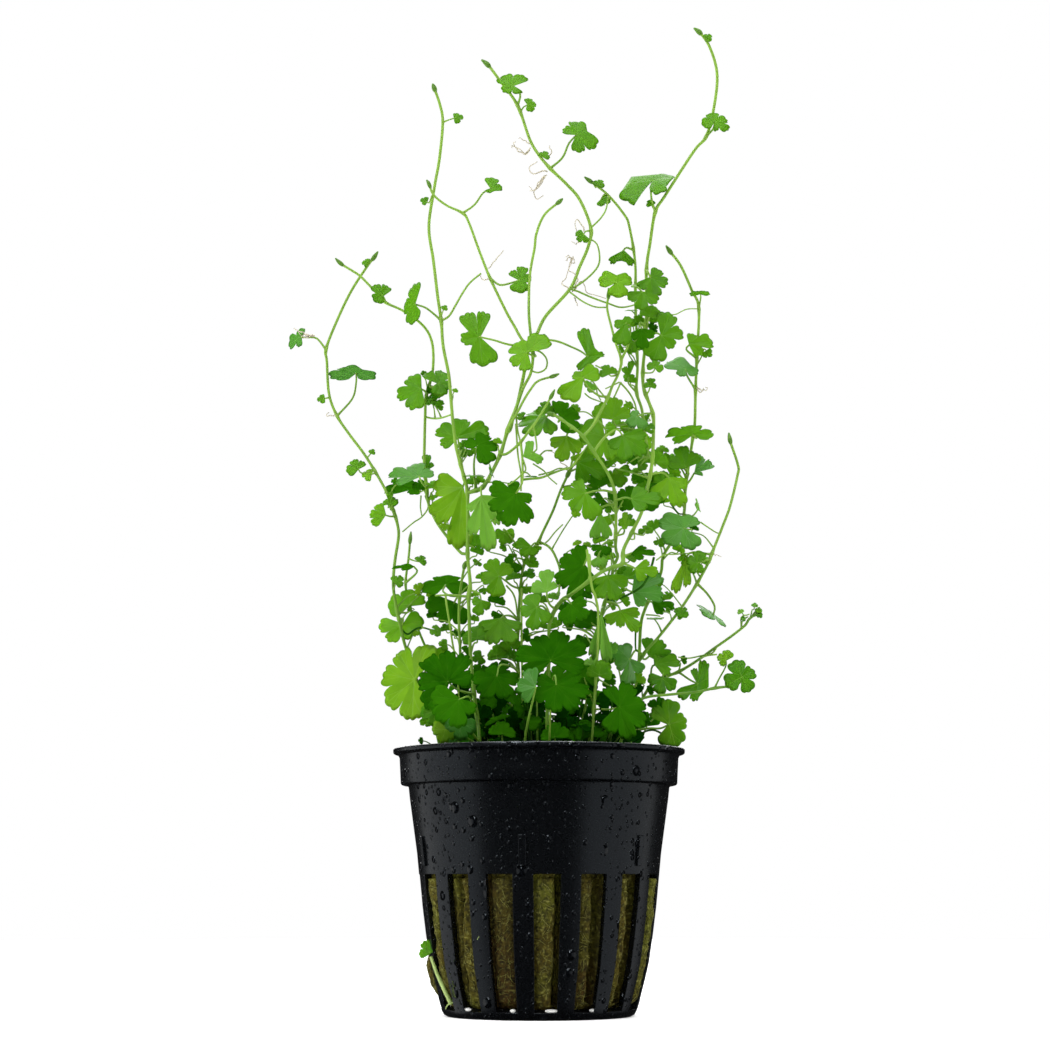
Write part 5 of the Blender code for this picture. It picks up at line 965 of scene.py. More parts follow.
# Small leaves that only the scene has: hub, longest reach, bearing of the middle lobe,
# facing, and the spots of the stalk back to what carries it.
SPRIGS = {
    Tint.MID: (
        ((18, 134.4, 2), 1.7, 90, (0, 70), ((18.6, 133.8, 3), (18.8, 133.4, 3.8))),
        ((21.6, 133.4, -1), 2.6, 75, (10, 20), ((21.2, 132.2, -0.5), (20.8, 131.2, 0.2))),
        ((-12.5, 101.8, -5), 2.6, 90, (0, 72), ((-12.3, 100.2, -5), (-12.2, 99.2, -4.8))),
        ((-9, 102.2, -7), 2.3, 90, (80, 12), ((-9.4, 101, -6), (-9.6, 100.8, -5.2))),
        ((1.6, 114.3, -5.5), 2.6, 95, (10, 20), ((2, 113.6, -6.5), (2.4, 114, -7.4))),
        ((-1.5, 84.8, 1), 1.8, 70, (0, 15), ((-2, 85.9, 1.8), (-2.6, 85.4, 2.2))),
        ((-27.3, 81.3, 0), 1.8, 40, (0, 20), ((-27.6, 80.2, 0.5), (-27.7, 79.6, 1))),
        ((-19.3, 72, 1), 1.6, 200, (0, 20), ((-20.6, 72.2, 1.6), (-22.3, 72.6, 2))),
        ((-22.8, 85.2, 0.5), 1.6, 60, (0, 20), ((-23.8, 85.4, 1), (-24.9, 85.8, 1.5))),
        ((0, 77.5, -13), 2.2, 100, (0, 25), ((1.2, 77, -12.6), (2.4, 74.4, -11.1))),
        ((27, 75.2, -1.5), 1.8, 60, (0, 20), ((27.4, 76, -0.6), (27.3, 76.5, 0))),
        ((22, 74.2, -2.5), 1.9, 90, (0, 72), ((22.8, 73, -1.6), (23.4, 71.6, -1.3))),
        ((24.7, 78.4, 6), 1.5, 120, (0, 30), ((23.6, 79, 8), (22, 80, 10.2))),
        ((41.8, 75.7, 2.6), 0.9, 70, (0, 15), ((41.8, 75.6, 3),)),
        ((42, 75, 2.6), 0.8, -60, (0, 15), ((41.8, 75.6, 3),)),
        ((-16.3, 173.2, -0.6), 1.6, 10, (0, 20), ((-17.6, 172.8, -0.3), (-18.8, 172.3, 0))),
        ((-22, 156.3, -2.4), 1.2, 160, (0, 15), ((-21.4, 156, -2.6), (-20.8, 157.4, -3))),
        ((-18.4, 134.8, -2.4), 0.9, 60, (0, 15), ((-18.8, 133.6, -2.2), (-18.9, 132.4, -2))),
        ((-33.2, 143.9, 5.6), 1.3, 170, (0, 15), ((-33.2, 143.5, 6),)),
        ((-41.6, 117, 5.4), 1.3, 190, (0, 20), ((-40.5, 117.2, 5.8),)),
        ((-32.2, 106.4, 4.2), 0.9, 60, (0, 15), ((-33, 105.4, 4.8),)),
        ((0.9, 165.3, -1), 1.6, 60, (0, 25), ((0.5, 165.1, -0.7), (0.6, 164.9, -0.5))),
        ((11.6, 159.6, 1.6), 1.6, 60, (0, 25), ((11.2, 159, 1.8), (10.8, 159.9, 2))),
        ((12.2, 156.6, 1.4), 2, -20, (0, 25), ((12.8, 157.6, 1.9), (13.5, 157.6, 2))),
        ((33.2, 189.4, -0.4), 1.3, 40, (0, 15), ((33, 188.8, -0.2),)),
        ((22, 155.6, -0.6), 1.2, 120, (0, 15), ((22.4, 154.9, -0.3), (22.8, 154.1, 0))),
        ((21, 111, -4.6), 1.6, 40, (0, 20), ((21.6, 110.4, -3.8), (22.1, 110, -3))),
        ((-20, 115.6, 0.4), 2, 40, (0, 25), ((-19.4, 114.6, 0.4), (-18.8, 113.2, 0.2))),
        ((-20.6, 116.4, 1), 1.5, 130, (0, 20), ((-20.2, 115, 0.8), (-20, 113.3, 0.8))),
        ((13.5, 121.9, -5.8), 2.2, 110, (0, 20), ((14, 121.4, -5.4), (15.2, 121.6, -5))),),
    Tint.DARK: (
        ((-1.5, 101.7, -9), 1.7, 90, (0, 72), ((-2.2, 102.4, -9.2), (-3, 102.6, -9.4))),
        ((-8.8, 71.4, -2.5), 2.2, 60, (0, 30), ((-7.8, 72.8, -1.6), (-6.6, 74.4, 0))),
        ((8.6, 63, -4), 3.4, 60, (10, 20), ((9.6, 60, -4), (10.5, 58, -3.8))),
        ((20.5, 54, 6), 3.2, 110, (0, 30), ((19, 50.5, 5), (17, 46.5, 4))),
        ((9.5, 52, -8), 3.6, 100, (0, 30), ((9.2, 49, -7), (9, 46, -6))),
        ((-7, 52.4, -10), 3.2, 80, (10, 35), ((-6.8, 49, -9), (-6.5, 46, -8))),
        ((3, 51.8, -14), 3.4, 100, (-10, 30), ((3, 49, -13), (3, 46, -12))),
        ((-12.5, 51.4, -6), 3, 120, (-10, 25), ((-12, 48.5, -5), (-11.5, 46, -4))),
        ((22.4, 57.2, 4), 2.6, 60, (0, 20), ((21, 54.6, 4), (18, 55.9, 4))),
        ((14.6, 66.4, 3), 2.8, 110, (0, 20), ((15.6, 62, 5), (15.5, 54, 10))),),
    Tint.PALE: (
        ((30.6, 95.4, 7.5), 2.2, 90, (72, 10), ((29.4, 94, 8), (27.8, 94.4, 8.9))),
        ((9.9, 65.4, -9), 1.9, 70, (0, 15), ((10.6, 63.6, -7), (10.9, 62, -4.2))),
        ((11.2, 86, -9.5), 2.3, -40, (0, 15), ((12, 87.4, -9), (14.6, 88.2, -6.6))),
        ((13.6, 68.6, -7.5), 1.7, 30, (0, 20), ((12.6, 69, -6), (11.4, 70.6, -4.6))),),
    Tint.BRIGHT: (
        ((18.7, 62.4, -4), 1.9, 80, (0, 15), ((18.2, 61.2, -3), (17.2, 62.5, -1.8))),
        ((-32.4, 102, 4), 1.7, 170, (0, 20), ((-31.6, 102.4, 4.2), (-31.3, 102.2, 4.5))),),
}

# Thin stems, stalks and bare loops that only the scene has: radius and spots.
TWIGS = {
    Skin.GREEN: (
        (0.24, ((-13.4, 78.5, -5), (-16.5, 78.8, -4.8), (-19.8, 78.7, -4.5))),
        (0.22, ((-17.8, 78.8, -4.6), (-17.6, 77, -4.6), (-17.1, 74, -4.2), (-16.5, 70, -3.6), (-15.8, 66, -3),
            (-15, 58, -2), (-14, 46, -1))),
        (0.26, ((9.2, 87.5, -15), (9.6, 84, -15), (9.9, 81.8, -14.8), (10.2, 80, -14.5), (10.9, 78, -14),
            (11.3, 74, -13), (10.8, 62, -11), (9.6, 46, -9))),
        (0.18, ((18.2, 91.5, -9.6), (18.3, 89.6, -10.4), (17.4, 89.6, -10.6))),
        (0.24, ((-3.3, 80, 1), (-3.3, 72, -1), (-3.1, 60, -2), (-2.8, 46, -2))),
        (0.2, ((-6.2, 80.6, -0.6), (-5, 79.2, 0.6), (-4.4, 77.5, 2), (-4.1, 75, 3))),
        (0.2, ((-4.4, 114.6, -6), (-4.1, 111, -7), (-3.5, 108.4, -8))),
        (0.18, ((-3, 105, -9.3), (-2.5, 103, -9.4), (-3.5, 101.9, -9.6), (-4.5, 101, -9.8), (-6, 100, -10))),
        (0.18, ((0, 102, -3), (2, 102.5, -1), (4, 103.3, 1), (5.9, 102.9, 2))),
        (0.18, ((2, 102.3, -4), (4.5, 103, -6), (6.5, 103.8, -8), (8.6, 106.6, -9.4), (9.6, 108, -10))),
        (0.16, ((-1.1, 104.2, -10.4), (1, 102.8, -10), (2, 101.5, -10), (3.5, 100.2, -10))),
        (0.15, ((22.5, 85.5, -8), (24, 86.5, -4), (26, 86.6, 1), (28.6, 86.8, 1), (33, 86.6, 1.4))),
        (0.16, ((31, 92.8, 3), (33.8, 90.9, 2.4), (34.7, 90.6, 2))),
        (0.18, ((34, 69.2, 3), (33, 67.7, 2.6), (31, 67.2, 2.2), (28.5, 66.7, 2), (26.5, 66.9, 1.8))),
        (0.16, ((-0.3, 88.6, 2), (1, 88.7, 1.8), (2, 89.5, 1.5), (3, 90.8, 1.3), (4.6, 92.4, 1))),
        (0.2, ((2.2, 57.4, -20.6), (2.1, 54.5, -19), (1.8, 46, -15))),
        (0.2, ((-21.9, 113.4, 2), (-20.4, 113.1, 1), (-18.8, 113.2, -1), (-17, 113.8, -3.3))),
        (0.22, ((-18.9, 132.4, -2), (-17.4, 133.3, -2.2), (-16.1, 135.5, -2.4), (-14.7, 138, -2.6),
            (-13.3, 140, -2.8), (-11.2, 141.8, -3))),
        (0.2, ((6.1, 138.7, -2.5), (7.6, 139.4, -2.8), (9.8, 141.1, -3), (11.5, 143.1, -3), (11.9, 145, -3),
            (11.4, 147.6, -2.6), (9.9, 148.8, -2))),
        (0.2, ((6.1, 138.7, -2.5), (7.6, 138.2, -2.8), (9.8, 137.2, -3), (11.8, 136.4, -3.2),
            (13.5, 135.8, -3.4), (16, 135, -3.4), (18.8, 135.6, 0), (18.8, 136.4, 4))),
        (0.18, ((5.8, 138.3, -2.5), (6.8, 137.5, -3), (8.7, 136.1, -3.6), (11, 135.1, -4.2),
            (13.3, 135, -4.5))),
        (0.18, ((10.2, 150.9, -2), (12.1, 152.8, -1), (13.2, 154.7, 0), (13.7, 157.5, 2))),
        (0.2, ((-0.9, 126.7, -6.8), (0.6, 126, -7.2), (1.6, 124.6, -7.4), (1.4, 122.9, -7.2), (0, 122.1, -7),
            (-1.3, 122.4, -7))),
        (0.15, ((11, 123.5, -5.4), (14, 122.1, -5.2), (15.4, 121.8, -5))),
        (0.25, ((-3.2, 101.1, -6), (-1.5, 101.3, -6), (0.5, 101.5, -5), (2.8, 102.4, -3), (5.4, 103.4, 0))),
        (0.2, ((-4.4, 112, -6), (-4, 106, -7), (-3.4, 102.2, -7), (-3.4, 98.9, -6))),
        (0.18, ((-21.8, 98, 2), (-21.2, 95.8, 2.5), (-22.4, 93.9, 2.5), (-24, 92.8, 2.6), (-26.1, 91, 2.6))),
        (0.16, ((-22.6, 98, 2), (-22.7, 95.8, 2.4), (-22.4, 94, 2.5))),
        (0.2, ((15.8, 120.1, -1), (17.4, 118.2, -1), (18.4, 116.4, -1), (18.8, 115, -1), (19.1, 113.6, -1))),
        (0.18, ((15.9, 120.2, -1), (15.2, 118.6, -1), (14.4, 117, -1), (13.5, 116.3, -1))),
        (0.15, ((15.6, 120.2, -1), (14.2, 119.5, -1.2), (12.9, 118.9, -1.4))),
        (0.15, ((11.2, 119.4, -2), (11.3, 118, -2), (12, 116.6, -2))),
        (0.16, ((8.9, 118, -3), (9.8, 117.2, -3), (11.2, 116.6, -2.6), (12.4, 116.2, -2.4))),
        (0.17, ((0.1, 105.7, -5), (1.2, 106.7, -4.6), (2.6, 106.8, -4))),
        (0.16, ((20.4, 75, 0), (22, 74.9, 0), (23.1, 74.7, 0))),
        (0.16, ((20.6, 74.3, 1), (22, 74.2, 1), (23.8, 74.4, 1))),
        (0.2, ((30.6, 66.7, 2), (32, 67.2, 2.2), (33.8, 67.4, 2.4))),
        (0.16, ((38.9, 74.9, 2.6), (39.6, 74.9, 2.7), (40.1, 75.1, 2.8))),
        (0.14, ((21, 133.6, 0.6), (22.7, 134, 1), (25, 133.6, 3), (26.6, 133.6, 5), (28.7, 134.6, 7.4),
            (31.1, 134.7, 9.5))),),
    Skin.SHADE: (
        (0.2, ((-26.3, 72.4, 1.2), (-25, 71.3, 2), (-23.5, 72.3, 2), (-22.3, 72.6, 2), (-20.8, 72.2, 1.6))),
        (0.2, ((18.6, 74, -8), (18.4, 71.5, -7), (18.4, 68.5, -5.8), (18.8, 68, -4))),
        (0.18, ((25.2, 96.6, 7.6), (26.7, 94.6, 8), (27.8, 94.4, 8.9))),
        (0.2, ((24.3, 52.4, -1.4), (23.5, 52.3, -1.6), (22, 53, -2), (20.8, 53, -2), (19.5, 52.5, -2),
            (17.5, 51.2, -2), (13, 45, -2))),
        (0.24, ((22, 86, -11), (21.4, 84, -11.4), (19.6, 80.4, -10), (15, 78, -7), (13.2, 78, -5.4))),),
}

# Fine rootlets at the joints: their depth, and the places that each passes.
ROOTLETS = (
    (-0.7, ((-1.75, 165.3), (-2.9, 166.1), (-3.9, 166.4))),
    (-0.7, ((-1.75, 164.2), (-2.7, 163.2), (-3.7, 163.9), (-5.1, 165.1), (-5.4, 164.6))),
    (-0.7, ((-1.6, 164.6), (-2.5, 163.6), (-3.9, 164.3), (-4.9, 165.4), (-4.4, 165.9))),
    (-0.5, ((1.76, 162.9), (2.4, 163.7), (2.1, 164.8))),
    (-0.7, ((1.64, 160), (0.2, 160.1), (-1.1, 159.6), (-1.7, 160.6), (-1.3, 161.3), (-0.2, 161.8))),
    (-0.8, ((1.5, 159.3), (0.4, 158.6), (-0.5, 157.2), (-0.9, 156.2), (-1.75, 156.4))),
    (-0.6, ((0.9, 158.9), (0.4, 157.7), (-1, 156), (-0.2, 154.7), (0.9, 155.5))),
    (-0.6, ((1.2, 159), (0, 157.6), (-0.9, 156.4), (-1.9, 157))),
    (-2.2, ((8.65, 148.5), (8.2, 149.7), (7.4, 150.8), (7, 150.4), (7.1, 149.2), (7.8, 147.7))),
    (-2.2, ((8.2, 146.8), (7.2, 146.2), (6.2, 146.5))),
    (-2.5, ((5.87, 137.3), (4.5, 138.6), (5.3, 139.8), (5.8, 141.95), (6.1, 143.1))),
    (-2.5, ((6.2, 143.1), (5.8, 143.6), (5.2, 142.9))),
    (-2.5, ((5.9, 142.4), (6.5, 143.3), (5.6, 143.9), (5.1, 143.5))),
    (-2.3, ((6.1, 142.8), (6.8, 142.6), (6.6, 143.6))),
    (-2.5, ((6.7, 137.1), (8.2, 139), (9.1, 136.9), (10.6, 136.4), (13, 135.7))),
    (-2.4, ((6.4, 137), (7.4, 139.4), (6, 141), (6.3, 142.4))),
    (-3, ((-9.7, 141.5), (-6.8, 144.8))),
    (-3, ((-9.3, 139.5), (-10.7, 139.3), (-11.2, 140.2))),
    (-2.5, ((6.8, 135.9), (7.2, 135), (7.4, 134.2))),
    (5.6, ((-43, 128.6), (-44.3, 128.7), (-45.4, 129.2), (-46.9, 130.1))),
    (5.7, ((-43.4, 128.6), (-44.8, 128.3), (-45.8, 129), (-46.4, 129.8))),
    (5.5, ((-43.2, 128.5), (-44.9, 128.9), (-45.6, 128.3))),
    (6, ((-38.9, 113.4), (-40, 113.2), (-40.7, 113.4), (-40.2, 114))),
    (9.4, ((30.3, 118.7), (31.2, 118.1), (32.2, 118.2), (32, 118.8))),
    (9.2, ((30.2, 118.5), (31, 117.6), (31.6, 118.4))),
    (1.4, ((33, 86.7), (34.1, 86.5), (35, 86.2))),
    (1.8, ((5.9, 102.9), (4.4, 104.2), (3.2, 105.9), (1.6, 106.6))),
    (-8, ((3.9, 80.6), (2.4, 81.3), (0.9, 81.6), (-0.4, 82.6))),)

# Leaves in the gaps of the foliage: across, up and depth of the hub, reach, bearing of the middle lobe.
# Their stalks go to the nearest stem.
LEAFLETS = {
    Tint.DARK: (
        (11.4, 99.6, 2, 3, 120), (12.2, 97.2, 1, 2.2, 200), (16.3, 96.4, 2, 2.1, 90),
        (21.6, 129.8, 1, 1.4, 20), (17.3, 104.6, 1, 1.6, 60), (-8.2, 77.6, 3, 2, 80), (-8, 75.2, 3, 1.4, 250),
        (-20.2, 74.9, 2, 1.4, 100), (-14.2, 71.4, 2, 1.1, 200), (-14, 68.2, 2, 1.2, 30),
        (-16, 71.4, 3, 1, 80), (8.6, 73, 0, 2.2, 70), (8.6, 70.6, 0, 2.2, 250), (6.4, 73.2, 1, 1.4, 150),
        (9.2, 78.6, 1, 1.6, 80), (0.4, 65, 1, 1.9, 130), (-8, 59.2, 2, 1.7, 110), (29.7, 91.6, 4, 1.1, 60),
        (13, 62.8, -2, 1.9, 330), (21.2, 60.6, 3, 1.2, 20), (19.6, 62, 3, 1.2, 140),
        (-4.5, 99.6, -4, 0.9, 200), (-27.4, 100.8, 2, 1, 180), (-19.2, 56.4, -4, 1.8, 100),
        (19.4, 101.8, 1, 2.1, 270), (-13.6, 62.2, -1, 1.5, 70), (-2, 71.2, 0, 1.6, 190),
        (27.6, 66.4, 2, 1.1, 20), (-22.4, 50.95, -2, 0.8, 170), (3.6, 62.4, -6, 4, 90),
        (7.4, 61.6, -3, 2.6, 60), (-10.6, 57.6, -2, 2.7, 90), (-8, 63.8, -2, 3.2, 60),
        (-11.2, 63.8, -2, 2.6, 110), (10.2, 73.2, -4, 3.5, 90), (4.6, 76, -2, 2, 50),
        (-5.8, 94.2, -9, 2.6, 265), (16.4, 96.6, 1, 2.2, 265), (-22.6, 99.4, 4, 1.8, 80),
        (-13, 61.4, -2, 2.6, 90), (13.6, 97.4, 1, 2.6, 10), (17.6, 97.7, 0, 2.8, 160),
        (21.2, 97.8, 1, 3.3, 0), (-19.4, 118.6, 1, 2.6, 260)),
    Tint.DEEP: (
        (-1.6, 57.4, 6, 2.4, 80), (0.8, 57, 7, 2.3, 100), (4, 56.2, 5, 2.3, 60), (6.3, 55.6, 7, 2.1, 120),
        (-5.2, 58.6, 5, 2.3, 90), (-16.2, 62.2, 1, 1.1, 90), (-12, 62.6, 1, 1.3, 250),
        (-3.4, 54.6, 7, 2.2, 70), (2.4, 53.4, 9, 2.4, 110), (-8.2, 55, 7, 1.8, 60), (9.2, 56.4, 6, 2.2, 100),
        (12.4, 55, 6, 2.4, 80)),
    Tint.MID: (
        (15, 102.4, 2, 3.3, 300), (14.2, 104.2, 2, 2, 120), (19.2, 104.2, 2, 2.3, 20),
        (17.7, 119.9, 1, 1.4, 80), (17.2, 126, 1, 1.3, 20), (15.9, 126.1, 1, 0.9, 200),
        (32.2, 125.4, 9, 1.3, 310), (20.8, 112.8, 1, 1, 140), (8.2, 110.9, 0, 1.1, 160),
        (6.9, 114.5, -2, 1.2, 60), (-11.8, 87.2, 2, 1.6, 80), (-11.7, 85.2, 2, 1.2, 220),
        (-10.9, 82.2, 3, 1.4, 80), (-10.6, 80, 3, 1.1, 280), (-4.8, 82.2, 2, 1.9, 100),
        (-2.1, 82.6, 2, 1.9, 70), (-2.4, 80.2, 2, 1.4, 260), (-11.2, 67, 1, 1.7, 200),
        (-8, 67.4, 1, 2.4, 100), (-5.4, 67.3, 1, 2, 40), (-17.8, 72.4, 2, 1.4, 110), (2.6, 78.4, 1, 1.4, 80),
        (3.4, 73, 0, 1.8, 110), (5.2, 73.2, 1, 1.2, 40), (0.9, 72.8, 1, 1.3, 80), (22, 91.6, 5, 2.1, 120),
        (23, 89.2, 5, 1.4, 300), (17.5, 85.8, -3, 1.4, 60), (15.6, 84.1, -3, 1.3, 350),
        (13.8, 77, -1, 1.5, 20), (16.2, 77.8, -1, 1.6, 30), (16.2, 79.7, -1, 0.9, 90),
        (-14, 106.6, -1, 1.9, 250), (-12.7, 106.6, -1, 1.1, 20), (-12.7, 100.4, -2, 1.4, 90),
        (-3.2, 113.2, -1, 1.2, 150), (-22.1, 121.3, 3, 0.7, 100), (-19, 121.4, 3, 0.8, 60),
        (-18.4, 54.8, -3, 2.2, 300), (-17.6, 52.4, -3, 1.8, 330), (23.4, 81, 3, 0.9, 150),
        (24.6, 75.9, 3, 0.9, 20), (26.9, 74.7, 2, 0.8, 340), (1, 128.4, -4, 0.8, 10),
        (4.4, 81.4, 0, 1.3, 100), (-6.6, 88.2, 3, 1.2, 200), (-4.5, 88.2, 2, 0.9, 40),
        (26.2, 99.2, 9, 1.4, 60), (-24.6, 76.4, 3, 0.8, 160), (-9.4, 88, 2, 1.2, 80), (-5, 86.6, 3, 1.1, 260),
        (10.6, 103, 3, 3.3, 120), (14.2, 100.8, 2, 2.9, 60), (22.4, 104.4, 3, 2.7, 80),
        (20.2, 101.2, 4, 2.7, 250), (24, 100.4, 5, 2.9, 90), (26.2, 104.2, 11, 3.1, 60),
        (19.2, 130.8, 2, 2.5, 90), (18.2, 127.2, 1, 2.4, 250), (21.2, 132.4, 2, 2.2, 30),
        (-7.2, 67, 3, 3, 90), (-19.6, 56.6, -9, 3.2, 255), (-11.8, 70.6, -3, 3.2, 90),
        (-12, 88.6, 2, 2.6, 90), (13.4, 96.2, 1, 1.9, 260), (17.1, 82.2, 3, 2.8, 90),
        (-14.4, 107.4, 1, 1.9, 90), (-6.6, 90.6, 2, 2.4, 260), (16.9, 92.4, -4, 2.1, 80)),
    Tint.BRIGHT: (
        (19.3, 131.3, 1, 1.5, 80), (17.6, 131, 1, 1.2, 250), (14.6, 111, 2, 2.3, 160),
        (16.2, 110.6, 2, 1.6, 20), (17, 115.4, 1, 1.4, 300), (25.4, 102, 9, 2.2, 10),
        (22.6, 101.8, 8, 1.4, 190), (24, 96.8, 9, 1.2, 90), (-6.6, 90.8, 3, 2.3, 280),
        (-12.4, 74.2, 1, 1.2, 90), (-17.9, 69.4, 0, 1.5, 170), (-0.2, 88, 1, 1, 260),
        (-20.2, 99.6, 1, 1.8, 90), (-20.3, 97.8, 1, 1.2, 290), (13.4, 93.8, -2, 1.7, 270),
        (11.6, 89.3, -3, 1.3, 100), (13.4, 88.8, -3, 0.9, 20), (13.8, 86, -3, 1.4, 100),
        (26.8, 87.5, 4, 1.5, 60), (27.4, 86.2, 4, 1.2, 290), (12.4, 65, -2, 1.7, 100),
        (-21.4, 55.2, -3, 1.9, 300), (23.3, 104.6, 8, 2.3, 100), (23.6, 106.6, 8, 1.4, 80),
        (7.2, 94.7, -2, 1.2, 250), (20.8, 108.6, 2, 1.1, 80), (-7.9, 108.2, -3, 1.1, 70),
        (-11.2, 100.8, -2, 1.2, 60), (18.6, 102.4, 3, 1.2, 100), (-16.1, 118, -2, 0.8, 60),
        (-13.2, 78.9, 0, 0.8, 60), (-11.8, 79, 1, 0.9, 100), (10, 108.2, 3, 3.1, 100),
        (19, 108.2, 1, 2.9, 60), (16.6, 106.2, 3, 2.7, 250), (28.6, 84.4, 3, 2, 90), (11.6, 63.6, -13, 3, 80),
        (-28.7, 96.4, 6, 2, 80), (31.4, 85.2, 2, 1.5, 60)),
    Tint.YELLOW: (
        (7, 105.3, -1, 1.3, 290), (-22.8, 80, 2, 1.5, 150), (-21.2, 79.4, 2, 1, 340),
        (7.4, 88.7, -3, 1.1, 110), (9.3, 88.4, -3, 1.1, 60), (11.8, 84.2, -3, 1.3, 10),
        (-17.8, 92.2, -4, 1.1, 250), (-23.6, 71.8, 2, 1, 250), (-20.6, 66, 1, 4.3, 98),
        (-17.9, 53.2, -12, 2.7, 255)),
    Tint.BLUISH: (
        (-15, 54.4, -14, 3.4, 262), (14.8, 66.8, 0, 2.4, 60)),
    Tint.PALE: (
        (10, 119.2, -3, 1.7, 260), (38.7, 75.6, 2.6, 0.8, 130), (39.3, 74.4, 2.6, 0.7, 200),
        (41.3, 76.8, 2.6, 0.7, 80)),
}

# Tints of the leaves of the model. The rest are MID.
TINTS = {
    Tint.DARK: """left_dark left_under centre_left_dark centre_dark_right right_dark right_level right_shade
        centre_large_dark centre_low_shade left_low_dark left_low_shade left_blade low_crinkled
        low_left_green low_centre_dark centre_big centre_round low_centre_veined low_right_dark
        right_low_small""",
    Tint.BLUISH: """far_left_edge far_left_flat right_upper_slant left_bluish right_slant right_bluish
        right_low_bluish
        right_low_shade right_low_edge right_centre_flat centre_sheen low_left_rim""",
    Tint.BRIGHT: """centre_hub left_bright left_joint upper_yellow centre_right_light left_low_bright
        left_low_wide
        centre_low_bright right_centre_bright right_upright right_low_leaf right_low_bright centre_upper
        right_bright""",
    Tint.YELLOW: "left_yellow low_yellow centre_bright right_hanging rim_right far_right_yellow",
    Tint.PALE: "left_light centre_narrow right_pale_edge centre_pale centre_hanging",
}


